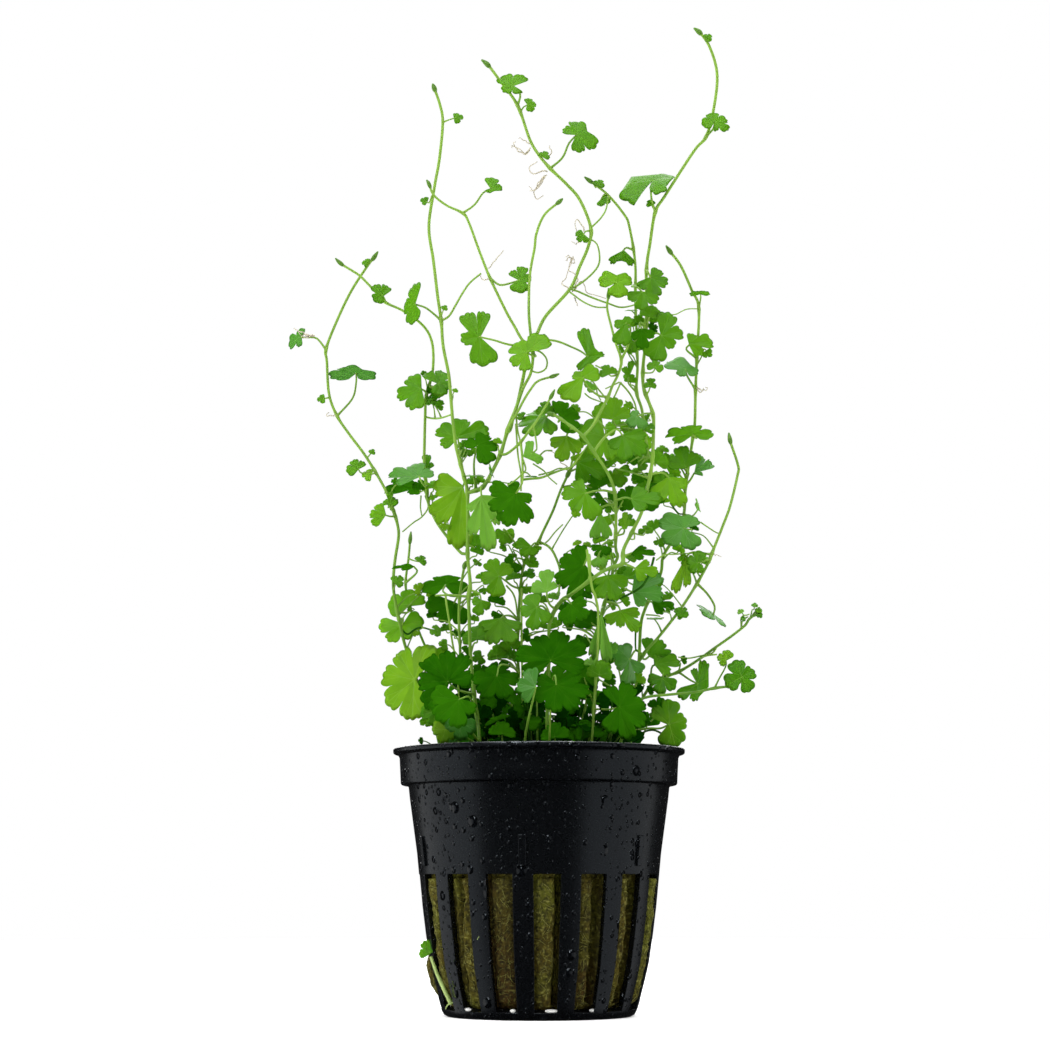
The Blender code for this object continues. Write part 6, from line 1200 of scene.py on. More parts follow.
@dataclass
class LeafForm:
    """The fine shape that every blade is given.

    Attributes:
        thickness: Thickness of the blade at its hub.
        stalk_radius: Radius of a full-grown leaf's stalk.
        notch: Depth of the notches between the teeth, as a share of the lobe's length.
        lobe_share: Share of the angle to the next lobe that a lobe fills.
        stalk_margin: Angle kept free on each side of the stalk, in radians.
        stalk_step: Length of a stretch of stalk between two rings of its mesh.
        wide_lobe: Half the width from which a lobe has five teeth, not three.
        rim_points: Points along a lobe's rim, each with the reach below which a leaf has so many.
        least_spread: Least that an outer lobe spreads towards the stalk, in degrees.
        large: Reach from which a leaf has the second number of rings.
        rings: Rings from the hub to the rim, for a small and a large leaf.
        light_middle: Height at which a blade has its usual tone; lower blades are painted darker and higher
            ones lighter, as painted shade and light.
        light_span: Height over which its tone rises by one, by this painted shade and light.
    """

    thickness: float = 0.16
    stalk_radius: float = 0.24
    notch: float = 0.09
    lobe_share: float = 0.49
    stalk_margin: float = 0.1
    stalk_step: float = 0.6
    wide_lobe: float = 4.2
    rim_points: tuple[tuple[float, int], ...] = ((1.8, 13), (4.5, 22), (math.inf, 31))
    least_spread: float = 17.0
    large: float = 4.0
    rings: tuple[int, int] = (5, 8)
    light_middle: float = 74.0
    light_span: float = 40.0

    def lobe_edge(self, shares: np.ndarray, wide: float, rng: np.random.Generator) -> np.ndarray:
        """Reach across a lobe as shares of its length: rounded teeth with notches between.

        Args:
            shares: Places across the lobe from -1 to 1.
            wide: Half the width of the lobe in millimetres.
            rng: Source of chance.

        Returns:
            The reach at each place.
        """
        teeth = 3 if wide < self.wide_lobe else 5
        swing = shares + 0.06 * np.sin(shares * 4.0 + rng.uniform(0.0, math.tau))
        scallops = np.abs(np.cos(math.pi / 2 * teeth * swing)) ** 0.7
        depth = self.notch * (0.75 if teeth == 5 else 1.0) * rng.uniform(0.75, 1.2)
        envelope = 1.0 - 0.12 * shares**2 - 0.1 * np.abs(shares) ** 6
        return envelope * (1.0 - depth * (1.0 - scallops)) * (1.0 + 0.04 * shares * rng.uniform(-1.0, 1.0))

    def outline(self, leaf: Leaf, lobes: list[tuple[float, float]], stalk_angle: float,
                rng: np.random.Generator) -> np.ndarray:
        """Rim of a blade from its stalk round to it.

        Args:
            leaf: The leaf.
            lobes: Angle and reach of each lobe.
            stalk_angle: Angle at which the stalk leaves the hub.
            rng: Source of chance.

        Returns:
            Rows of angle from the stalk, reach, place across the lobe and length of the lobe.
        """
        turned = sorted(((angle - stalk_angle) % math.tau, reach) for angle, reach in lobes)
        angles = [0.0] + [angle for angle, _ in turned] + [math.tau]
        longest = max(reach for _, reach in turned)
        count = next(points for reach, points in self.rim_points if longest < reach)
        rows = [(0.0, 0.35, 1.0, turned[0][1])]
        for index, (angle, reach) in enumerate(turned, start=1):
            gaps = (angle - angles[index - 1], angles[index + 1] - angle)
            spans = [min(gap * self.lobe_share, math.radians(leaf.spread) * 1.12) for gap in gaps]
            least = math.radians(min(self.least_spread, leaf.spread))
            if index == 1:
                spans[0] = min(gaps[0] - self.stalk_margin, max(spans[1] * 1.3, least))
            if index == len(turned):
                spans[1] = min(gaps[1] - self.stalk_margin, max(spans[0] * 1.3, least))
            spans = [max(span, 0.05) for span in spans]
            shares = np.linspace(-1.0, 1.0, count)
            edge = self.lobe_edge(shares, reach * sum(spans) / 2, rng)
            if index > 1:
                before = turned[index - 2][1]
                inner = (0.2 + 0.8 * leaf.cleft) * (reach + before) / 2
                rows.append(((angle + angles[index - 1]) / 2, inner, 1.0, reach))
            for share, length in zip(shares, edge):
                rows.append((angle + share * spans[share > 0.0], length * reach, share, reach))
        return np.array(rows)

    def grow(self, sketch: Sketch, leaf: Leaf, rng: np.random.Generator, finish: int = 0,
             wrinkle: float = 1.0) -> None:
        """Add the blade of a leaf.

        Args:
            sketch: The mesh that it joins.
            leaf: The leaf.
            rng: Source of chance.
            finish: Number of its material on the piece.
            wrinkle: How wavy the blade is beside a usual one.
        """
        sideways, upward, normal = leaf.axes()
        hub = place(*leaf.hub)
        way = place(*leaf.stalk[0]) - hub
        stalk_angle = math.atan2(way.dot(upward), way.dot(sideways))
        rim = self.outline(leaf, leaf.polar(), stalk_angle, rng)
        angle, reach, share, length = rim.T
        size = reach.max()
        rings = np.linspace(0.0, 1.0, self.rings[int(size >= self.large)])[1:]
        turn = angle + stalk_angle
        rays = np.outer(np.cos(turn), sideways) + np.outer(np.sin(turn), upward)
        flat = rings[:, None] * reach[None, :]
        inward = flat / size
        lobe_number = np.floor(angle / math.tau * 5.0).astype(int)
        droop = rng.uniform(-0.09, 0.03, 6)[lobe_number] * (1.0 - np.abs(share))
        cup, phase, waves = rng.uniform(-0.09, 0.02), rng.uniform(0.0, math.tau), rng.integers(5, 9)
        fold = 0.07 * (np.abs(share) ** 1.4 - 0.4)
        ripple = 0.022 * wrinkle * np.sin(waves * angle + phase)
        rise = size * ((cup + droop + ripple) * inward**2 + fold * inward)
        if wrinkle > 1.5:
            rise += 0.05 * wrinkle * np.sin(flat * 4.2 + phase) * np.cos(angle * 17.0)
        # Random tone, plus painted shade and light by height: blades low in the foliage darker, high ones
        # lighter.
        tone = rng.normal(0.0, 0.35) + min(max((hub[2] - self.light_middle) / self.light_span, -0.8), 0.5)
        points, values = [], {"along": [], "beside": []}
        thick = self.thickness / 2 * (1.0 - rings**3)
        for sign in (1.0, -1.0):
            points.append((hub + normal * self.thickness / 2 * sign)[None, :])
            values["along"].append([0.0])
            values["beside"].append([0.0])
            used = len(rings) if sign > 0 else len(rings) - 1
            for row in range(used):
                lift = (rise[row] + thick[row] * sign)[:, None] * normal
                points.append(hub + rays * flat[row][:, None] + lift)
                values["along"].append(flat[row] / length)
                values["beside"].append(share)
        columns, rows = len(angle), len(rings)
        upper, lower = 1, 1 + columns * rows + 1
        faces = fan(0, upper, columns) + fan(lower - 1, lower, columns)
        for row in range(rows - 1):
            low, high = row * columns, (row + 1) * columns
            faces += band(upper + low, upper + high, columns)
            under = lower + high if row < rows - 2 else upper + (rows - 1) * columns
            faces += [(b, c, d, a) for a, b, c, d in band(lower + low, under, columns)]
        sketch.add(np.vstack(points), faces, finish, tone=tone,
                   **{key: np.concatenate(run) for key, run in values.items()})

    def stalk(self, sketch: Sketch, leaf: Leaf, ends: Sequence[np.ndarray], finish: int,
              tone: float) -> None:
        """Add the stalk of a leaf from its hub to the stem.

        Args:
            sketch: The mesh that it joins.
            leaf: The leaf.
            ends: Points of the stem that the stalk runs on to.
            finish: Number of its material on the piece.
            tone: How light it is.
        """
        size = max(reach for _, reach in leaf.polar())
        spots = [place(*spot) for spot in (leaf.hub, *leaf.stalk)]
        path = smooth_path([*spots, *ends], self.stalk_step)
        radius = self.stalk_radius * min(1.0, 0.5 + size / 8.0)
        along = np.linspace(0.0, 1.0, len(path))
        from_end = (1.0 - along) * len(path) * self.stalk_step
        radii = radius * (0.75 + 0.25 * along + 0.35 * np.exp(-((from_end / 0.7) ** 2)))
        shade = np.interp(path[:, 2], (50.0, 110.0), (-0.9, 0.0))
        sketch.tube(path, radii, 6, finish, tone=tone + shade)


@dataclass
class Plant:
    """Stems, leaves, twigs and rootlets of the plant, and its crown on the wool.

    Attributes:
        body: The body that carries it.
        wool_top: Height of the wool that it grows from.
        form: Fine shape of its blades.
        crinkled: How wavy the crinkled leaf is beside a usual one.
        stem_step: Length of a stretch of stem between two rings of its mesh.
        taper: Radius at a stem's foot beside its row's, and how much less it is at the tip.
        swelling: How much a stem swells at a joint, and over what length.
        stem_light: Heights, and the tone of a stem at each: painted shade and light, darker low down and
            lighter high up.
        bud: Length of a bud, and how much of it lies before the tip.
        joint_gap: Furthest that a stalk may end from its stem for the stem to swell there.
        fork_gap: Furthest that a stem may start from the one it grows from.
        hair_radii: Radius of a rootlet at its start and its end.
        hair_bend: How far a rootlet wanders from its places.
        crown_leaves: Number of leaves in the crown.
        crown_across: Where they stand from left to right.
        crown_deep: Where they stand from front to back.
        crown_foot: Height of the lowest of them.
        crown_height: Height of the highest above that.
        crown_reach: Length of their lobes.
        seedling_shoot: Spots of the seedling's shoot.
        seedling_roots: Spots of the pale roots beside it.
        seedling_leaf: Its one leaf.
        rng: Source of chance.
        paths: Middle line of each stem, filled in by lay_paths.
    """

    body: str = "root"
    wool_top: float = 45.5
    form: LeafForm = field(default_factory=LeafForm)
    crinkled: float = 3.0
    stem_step: float = 0.7
    taper: tuple[float, float] = (0.92, 0.18)
    swelling: tuple[float, float] = (0.42, 0.85)
    stem_light: tuple[tuple[float, ...], ...] = ((50.0, 75.0, 115.0, 150.0), (-1.3, -0.9, -0.1, 0.4))
    bud: tuple[float, float] = (2.1, 1.5)
    joint_gap: float = 1.5
    fork_gap: float = 4.0
    hair_radii: tuple[float, float] = (0.14, 0.08)
    hair_bend: float = 0.045
    crown_leaves: int = 185
    crown_across: tuple[float, float] = (-15.5, 18.0)
    crown_deep: tuple[float, float] = (-8.0, 19.0)
    crown_foot: float = 48.5
    crown_height: float = 18.0
    crown_reach: tuple[float, float] = (2.0, 3.9)
    seedling_shoot: tuple[Spot, ...] = (
        (-16.4, 2.2, -9.3), (-17.6, 4.6, -8.8), (-19.0, 7.6, -7.8), (-20.2, 10.8, -6.6))
    seedling_roots: tuple[tuple[Spot, ...], ...] = (
        ((-11.5, 14.0, -17.95), (-10.8, 15.2, -18.45), (-10.0, 15.6, -18.9)),
        ((-17.4, 1.3, -7.0), (-16.8, 2.2, -8.6), (-15.8, 2.4, -10.2)))
    seedling_leaf: Leaf = Leaf("seedling", "", (-20.4, 11.6, -6.8), (-12, 25),
                               ((-22.5, 11.4), (-21.6, 13.8), (-19.2, 13.6)), ((-20.2, 10.8, -6.6),), 0.6)
    rng: np.random.Generator = field(default_factory=lambda: np.random.default_rng(SEED))
    paths: dict[str, np.ndarray] = field(default_factory=dict)

    def __post_init__(self) -> None:
        """Make the materials and note each leaf's tint."""
        self.tints = {name: tint for tint, names in TINTS.items() for name in names.split()}
        self.leaf_materials = {tint: tint.value.material(f"leaf_{tint.name.lower()}") for tint in Tint}
        self.skins = {skin: skin.value.material(f"stem_{skin.name.lower()}") for skin in Skin}

    def lay_paths(self) -> None:
        """Work out the middle line of every stem."""
        for stem in STEMS:
            points = [place(*spot) for spot in stem.route]
            if stem.foot:
                points.insert(0, np.array((*stem.foot, self.wool_top - 2.0)))
            self.paths[stem.name] = smooth_path(points, self.stem_step)
        for stem in STEMS:
            if not stem.foot:
                path = self.paths[stem.name]
                near = self.nearest(path[0], stem.name)
                if np.linalg.norm(near - path[0]) < self.fork_gap:
                    points = [near, *(place(*spot) for spot in stem.route)]
                    self.paths[stem.name] = smooth_path(points, self.stem_step)

    def nearest(self, point: np.ndarray, apart_from: str = "") -> np.ndarray:
        """Nearest point to a point on any stem's middle line, apart from one stem's."""
        every = np.vstack([path for name, path in self.paths.items() if name != apart_from])
        return every[np.argmin(np.linalg.norm(every - point, axis=1))]

    def spot_of(self, point: np.ndarray) -> Spot:
        """Spot of a point."""
        across, _, up = EYE + (point - EYE) * (-EYE[1] / (point[1] - EYE[1]))
        return across, up, point[1]

    def joints(self, name: str) -> np.ndarray:
        """Find where leaves and other stems leave a stem.

        Args:
            name: Name of the stem.

        Returns:
            Those points, or the tip if there are none.
        """
        path = self.paths[name]
        ends = [place(*leaf.stalk[-1]) for leaf in LEAVES if leaf.stem == name]
        ends += [self.paths[stem.name][0] for stem in STEMS if not stem.foot and stem.name != name]
        near = [path[np.argmin(np.linalg.norm(path - end, axis=1))] for end in ends]
        kept = [spot for spot, end in zip(near, ends) if np.linalg.norm(spot - end) < self.joint_gap]
        return np.array(kept or [path[-1]])

    def make_stem(self, stem: Stem) -> bpy.types.Object:
        """Stem as a round tube, swollen at its joints and narrowing towards its tip.

        Args:
            stem: The stem's row.

        Returns:
            The piece, which stands for the stem's node.
        """
        path = self.paths[stem.name]
        along = np.linspace(0.0, 1.0, len(path))
        away = np.linalg.norm(path[:, None, :] - self.joints(stem.name)[None, :, :], axis=2).min(1)
        swell = 1.0 + self.swelling[0] * np.exp(-((away / self.swelling[1]) ** 2))
        sketch = Sketch()
        tone = self.rng.uniform(-0.3, 0.3)
        # Painted shade and light by height: stems darker low down near the pot, lighter high up.
        light = tone + np.interp(path[:, 2], *self.stem_light)
        radii = stem.radius * (self.taper[0] - self.taper[1] * along) * swell
        sketch.tube(path, radii, 10, 0, tone=light)
        self.add_bud(sketch, path, stem.radius)
        carried = [leaf for leaf in LEAVES if leaf.stem == stem.name and not leaf.own]
        for leaf in carried:
            self.form.stalk(sketch, leaf, [], 0, tone - 0.3 + self.rng.uniform(-0.3, 0.3))
        skins = [self.skins[Skin.GREEN], self.skins[Skin.BUD]]
        piece = sketch.build(f"{stem.name}_runner", skins, self.body, "stem_green")
        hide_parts(f"stem_{stem.name}")
        if carried:
            self.make_blades(f"{stem.name}_small_leaves", carried)
        return piece

    def add_bud(self, sketch: Sketch, path: np.ndarray, radius: float) -> None:
        """Add the folded young leaf at the tip of a stem.

        Args:
            sketch: The mesh that it joins.
            path: Middle line of the stem.
            radius: Radius of the stem.
        """
        ahead = unit(path[-1] - path[-4])
        bend = self.rng.normal(0.0, 0.22, 3)
        share = np.linspace(0.0, 1.0, 9)
        spots = path[-1] + np.outer(share * self.bud[0] - self.bud[1], ahead) + np.outer(share**2, bend)
        sketch.tube(spots, radius * (0.45 + 0.95 * np.sin(math.pi * share**0.8)), 8, 1, tone=0.9)

    def make_blades(self, name: str, leaves: Sequence[Leaf]) -> bpy.types.Object:
        """Make one piece of the blades of several leaves.

        Args:
            name: Name of the piece.
            leaves: The leaves.

        Returns:
            The piece.
        """
        sketch = Sketch()
        tints = sorted({self.tint(leaf) for leaf in leaves}, key=list(Tint).index)
        for leaf in leaves:
            self.form.grow(sketch, leaf, self.rng, tints.index(self.tint(leaf)))
        return sketch.build(name, [self.leaf_materials[tint] for tint in tints], self.body, "leaf_green")

    def tint(self, leaf: Leaf) -> Tint:
        """Tint of a leaf by its name."""
        return self.tints.get(leaf.name, Tint.MID)

    def make_own_leaf(self, leaf: Leaf) -> bpy.types.Object:
        """Make a large leaf with its stalk, which stands for its node.

        Args:
            leaf: The leaf.

        Returns:
            The piece.
        """
        sketch = Sketch()
        wrinkle = self.crinkled if leaf.name == "low_crinkled" else 1.0
        self.form.grow(sketch, leaf, self.rng, 0, wrinkle)
        self.form.stalk(sketch, leaf, [], 1, self.rng.uniform(-0.5, 0.5))
        materials = [self.leaf_materials[self.tint(leaf)], self.skins[Skin.GREEN]]
        piece = sketch.build(f"{leaf.name}_leaf", materials, self.body, "leaf_green")
        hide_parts(f"leaf_{leaf.name}")
        return piece

    def make_sprigs(self) -> None:
        """The small leaves that only the scene has, on their stalks."""
        blades, stalks = Sketch(), Sketch()
        for number, rows in enumerate(SPRIGS.values()):
            for hub, reach, bearing, facing, stalk in rows:
                lobes = LobeSet.three(bearing, (68, 68), (reach * 0.88, reach, reach * 0.84))
                leaf = Leaf("sprig", "", hub, facing, lobes, stalk, 0.45)
                self.form.grow(blades, leaf, self.rng, number)
                self.form.stalk(stalks, leaf, [], 0, self.rng.uniform(-0.4, 0.4))
        greens = [self.leaf_materials[tint] for tint in SPRIGS]
        blades.build("sprig_leaves", greens, self.body, "leaf_green")
        stalks.build("sprig_stalks", [self.skins[Skin.GREEN]], self.body, "stem_green")

    def make_twigs(self) -> None:
        """Thin stems and bare stalks between the leaves."""
        sketch = Sketch()
        for number, rows in enumerate(TWIGS.values()):
            for radius, spots in rows:
                path = smooth_path([place(*spot) for spot in spots], 0.6)
                taper = np.linspace(1.0, 0.8, len(path))
                sketch.tube(path, radius * taper, 6, number, tone=self.rng.uniform(-0.4, 0.6))
        materials = [self.skins[skin] for skin in TWIGS]
        sketch.build("twigs", materials, self.body, "stem_green")

    def make_rootlets(self) -> bpy.types.Object:
        """Fine curled hairs at the joints of the stems.

        Returns:
            The piece.
        """
        sketch = Sketch()
        for depth, spots in ROOTLETS:
            path = smooth_path([read_off(across, up, depth) for across, up in spots], 0.3)
            bends = self.rng.normal(0.0, 1.0, (5, 3))
            share = np.linspace(0.0, 1.0, len(path))[:, None]
            waves = np.sin(share * np.arange(4, 19, 3) * 1.3)
            path = path + waves @ bends * self.hair_bend * (1.0, 3.0, 1.0)
            radii = np.linspace(*self.hair_radii, len(path))
            sketch.tube(path, radii, 4, 0, tone=self.rng.uniform(-0.5, 0.5))
        return sketch.build("rootlets", [self.skins[Skin.ROOT]], self.body, "stem_green")

    def make_leaflets(self) -> None:
        """Leaves in the gaps of the foliage, each on a stalk from the nearest stem."""
        blades, stalks = Sketch(), Sketch()
        for number, rows in enumerate(LEAFLETS.values()):
            for across, up, depth, reach, bearing in rows:
                sizes = reach * self.rng.uniform(0.82, 1.08, 3)
                turns = self.rng.uniform(60.0, 78.0, 2)
                lobes = LobeSet.three(bearing, turns, sizes)
                facing = (self.rng.uniform(-30.0, 30.0), self.rng.uniform(-5.0, 35.0))
                hub = read_off(across, up, depth)
                joint = self.nearest(hub - (0.0, 0.0, 3.0))
                bend = (hub + joint) / 2 + (0.0, 0.3, 0.5)
                back = math.radians(bearing + 180.0)
                spot = self.spot_of(hub)
                first = (spot[0] + 0.8 * math.cos(back), spot[1] + 0.8 * math.sin(back), depth + 0.4)
                leaf = Leaf("leaflet", "", spot, facing, lobes, (first,), 0.42)
                self.form.grow(blades, leaf, self.rng, number)
                self.form.stalk(stalks, leaf, [bend, joint], 0, self.rng.uniform(-0.5, 0.3))
        greens = [self.leaf_materials[tint] for tint in LEAFLETS]
        blades.build("gap_leaves", greens, self.body, "leaf_green")
        stalks.build("gap_stalks", [self.skins[Skin.GREEN]], self.body, "stem_green")

    def make_crown(self) -> None:
        """Short shaded stems and leaves that fill the pot's mouth."""
        blades, stalks = Sketch(), Sketch()
        for number in range(self.crown_leaves):
            across, deep = self.rng.uniform(*self.crown_across), self.rng.uniform(*self.crown_deep)
            high = self.crown_foot + self.crown_height * self.rng.beta(1.0, 3.0)
            hub = (across, high, deep)
            foot = np.array((across * 0.62, deep * 0.7, self.wool_top - 1.0))
            facing = (self.rng.uniform(-50.0, 50.0), self.rng.uniform(5.0, 65.0))
            bearing, reach = self.rng.uniform(0.0, 180.0), self.rng.uniform(*self.crown_reach)
            lobes = LobeSet.three(bearing, (66, 66), (reach * 0.86, reach, reach * 0.86))
            low = (across, high - 2.0, deep + self.rng.uniform(-1.0, 1.0))
            leaf = Leaf("crown", "", hub, facing, lobes, (low,), 0.4)
            self.form.grow(blades, leaf, self.rng, int(number % 3 == 0))
            self.form.stalk(stalks, leaf, [foot], int(self.rng.uniform() > 0.3), self.rng.uniform(-0.8, 0.2))
        greens = [self.leaf_materials[Tint.DEEP], self.leaf_materials[Tint.DARK]]
        blades.build("crown_leaves", greens, self.body, "leaf_green")
        skins = [self.skins[Skin.GREEN], self.skins[Skin.SHADE]]
        stalks.build("crown_stalks", skins, self.body, "stem_green")

    def make_seedling(self) -> bpy.types.Object:
        """Young shoot that grows out of the left slot, and pale roots beside it.

        Returns:
            The piece.
        """
        sketch = Sketch()
        shoot = smooth_path([place(*spot) for spot in self.seedling_shoot], 0.5)
        sketch.tube(shoot, np.linspace(0.42, 0.3, len(shoot)), 8, 1, tone=0.4)
        for spots in self.seedling_roots:
            root = smooth_path([place(*spot) for spot in spots], 0.4)
            sketch.tube(root, 0.13, 5, 1, tone=0.2)
        self.form.grow(sketch, self.seedling_leaf, self.rng)
        materials = [self.leaf_materials[Tint.BRIGHT], self.skins[Skin.PALE]]
        return sketch.build("seedling", materials, self.body, "leaf_green")

    def make(self) -> None:
        """Build the whole plant."""
        self.lay_paths()
        for stem in STEMS:
            log.info("runner %s", self.make_stem(stem).name)
        for leaf in LEAVES:
            if leaf.own or leaf.stem == "wool":
                log.info("leaf %s", self.make_own_leaf(leaf).name)
        self.make_sprigs()
        self.make_leaflets()
        self.make_twigs()
        self.make_rootlets()
        self.make_crown()
        self.make_seedling()
        log.info("sprigs, twigs, rootlets, crown and seedling made")


@dataclass
class NetPot:
    """Black net pot: slotted wall, collar, lip and base.

    Attributes:
        body: The body that carries it.
        slots: Number of slots.
        first_slot: Angle in degrees of the first slot from the viewer's side.
        slot_foot: Height at which the slots start.
        slot_top: Height at which they end.
        slot_width: Their width at the foot.
        slot_widening: Height over which they widen by a millimetre.
        slot_columns: Faces across a slot.
        bar_columns: Faces across the bar between two slots.
        ribs: Number of ribs above the slots.
        first_rib: Angle in degrees of the first rib.
        rib_ends: Radius of the wall and height at a rib's foot and top.
        rib_section: Corners of a rib as (outward, sideways) from the wall.
        soft_edge: Width of the rounding along the edges.
        sharp: Angle in degrees above which an edge is rounded.
        finish: Finish of the plastic.
        rows: Outer and inner (radius, height) of the wall, from the base's middle up to the lip.
    """

    body: str = "root"
    slots: int = 16
    first_slot: float = -86.25
    slot_foot: float = 1.4
    slot_top: float = 26.0
    slot_width: float = 4.0
    slot_widening: float = 27.0
    slot_columns: int = 6
    bar_columns: int = 4
    ribs: int = 6
    first_rib: float = -7.5
    rib_ends: tuple[tuple[float, float], ...] = ((22.65, 27.5), (23.32, 33.0))
    rib_section: tuple[tuple[float, float], ...] = ((-0.5, -0.8), (0.42, -0.65), (0.42, 0.65), (-0.5, 0.8))
    soft_edge: float = 0.13
    sharp: float = 40.0
    finish: PotFinish = field(default_factory=PotFinish)
    rows: tuple[tuple[tuple[float, float], tuple[float, float]], ...] = (
        ((13.0, 0.0), (13.0, 1.0)), ((15.5, 0.0), (15.2, 1.0)), ((17.1, 0.0), (16.3, 1.0)),
        ((17.75, 0.35), (16.8, 1.05)), ((18.3, 1.4), (17.15, 1.6)), ((18.65, 2.5), (17.5, 2.8)),
        ((19.0, 4.0), (17.8, 4.0)), ((19.8, 7.0), (18.6, 7.0)), ((20.5, 10.0), (19.3, 10.0)),
        ((21.25, 15.0), (20.05, 15.0)), ((21.9, 20.0), (20.7, 20.0)), ((22.5, 26.0), (21.3, 26.0)),
        ((22.6, 27.0), (21.4, 27.0)), ((22.9, 30.0), (21.7, 30.0)), ((23.6, 35.0), (22.4, 35.0)),
        ((24.3, 40.0), (23.1, 40.0)), ((24.55, 42.2), (23.35, 41.6)), ((24.75, 42.55), (23.5, 42.2)),
        ((25.85, 42.65), (24.3, 43.4)), ((26.05, 42.95), (24.75, 43.8)), ((26.15, 45.0), (24.95, 45.0)),
        ((26.3, 47.7), (25.05, 47.6)), ((26.55, 48.2), (25.1, 48.4)), ((27.3, 48.45), (25.12, 48.8)),
        ((27.5, 48.6), (25.14, 49.1)), ((27.52, 49.15), (25.2, 49.25)), ((27.46, 49.34), (25.4, 49.36)),
        ((27.3, 49.4), (25.7, 49.4)))

    @property
    def start(self) -> float:
        """Angle of the first slot."""
        return math.radians(self.first_slot)

    @property
    def period(self) -> float:
        """Angle from one slot to the next."""
        return math.tau / self.slots

    def slot_angle(self, radius: float, height: float) -> float:
        """Half the angle that a slot spans at a radius and height."""
        width = self.slot_width + (min(height, self.slot_top) + 1.0) / self.slot_widening
        return math.asin(width / 2.0 / radius)

    def ring(self, radius: float, height: float) -> np.ndarray:
        """Lay out points round the pot, closer together where the slots' edges run.

        Args:
            radius: Radius of the ring.
            height: Height above the base.

        Returns:
            The points.
        """
        period = self.period
        half = self.slot_angle(radius, height)
        turns = []
        for slot in range(self.slots):
            middle = self.start + slot * period
            turns.extend(middle + half * np.linspace(-1.0, 1.0, self.slot_columns + 1))
            bar = np.linspace(half, period - half, self.bar_columns + 1)[1:-1]
            turns.extend(middle + bar)
        return around(radius, np.array(turns), height)

    def make(self) -> bpy.types.Object:
        """Build the pot, which stands for its node.

        Returns:
            The piece.
        """
        outer = [self.ring(*pair[0]) for pair in self.rows]
        inner = [self.ring(*pair[1]) for pair in self.rows]
        columns, count = len(outer[0]), len(self.rows)
        period = self.slot_columns + self.bar_columns
        heights = [pair[0][1] for pair in self.rows]
        first, last = heights.index(self.slot_foot), heights.index(self.slot_top)
        points = np.vstack(outer + inner + [np.array(((0.0, 0.0, 0.0), (0.0, 0.0, 1.0)))])
        base = count * columns
        faces = []
        for column in range(columns):
            after = (column + 1) % columns
            place_in_period = column % period
            open_here = place_in_period < self.slot_columns
            faces.append((2 * base, after, column))
            faces.append((2 * base + 1, base + column, base + after))
            for row in range(count - 1):
                low, high = row * columns, (row + 1) * columns
                slotted = first <= row < last
                if not (open_here and slotted):
                    faces.append((low + column, low + after, high + after, high + column))
                    faces.append((base + low + after, base + low + column, base + high + column,
                                  base + high + after))
                if place_in_period in (0, self.slot_columns) and slotted:
                    faces.append((low + column, high + column, base + high + column, base + low + column))
            ends = (first * columns, last * columns) if open_here else ()
            for low in (*ends, (count - 1) * columns):
                faces.append((low + column, low + after, base + low + after, base + low + column))
        sketch = Sketch()
        sketch.add(points, faces)
        for number in range(self.ribs):
            self.add_rib(sketch, math.radians(self.first_rib + number * 360.0 / self.ribs))
        plastic = self.finish.material("black_plastic")
        piece = sketch.build("net_pot", [plastic], self.body, "pot_plastic", self.sharp)
        bevel = piece.modifiers.new("soft_edges", "BEVEL")
        bevel.width = self.soft_edge * MM
        bevel.segments = 2
        bevel.limit_method = "ANGLE"
        bevel.angle_limit = math.radians(self.sharp)
        bevel.harden_normals = True
        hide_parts("pot")
        return piece

    def add_rib(self, sketch: Sketch, angle: float) -> None:
        """Add a short upright rib on the wall above the slots.

        Args:
            sketch: The mesh that it joins.
            angle: Its angle from the viewer's side.
        """
        out = np.array((math.sin(angle), -math.cos(angle), 0.0))
        side = np.array((math.cos(angle), math.sin(angle), 0.0))
        corners = []
        for radius, height in self.rib_ends:
            for outward, sideways in self.rib_section:
                corners.append(out * (radius + outward) + side * sideways + np.array((0.0, 0.0, height)))
        faces = [(0, 1, 2, 3), (7, 6, 5, 4), (0, 4, 5, 1), (1, 5, 6, 2), (2, 6, 7, 3), (3, 7, 4, 0)]
        sketch.add(np.array(corners), faces)


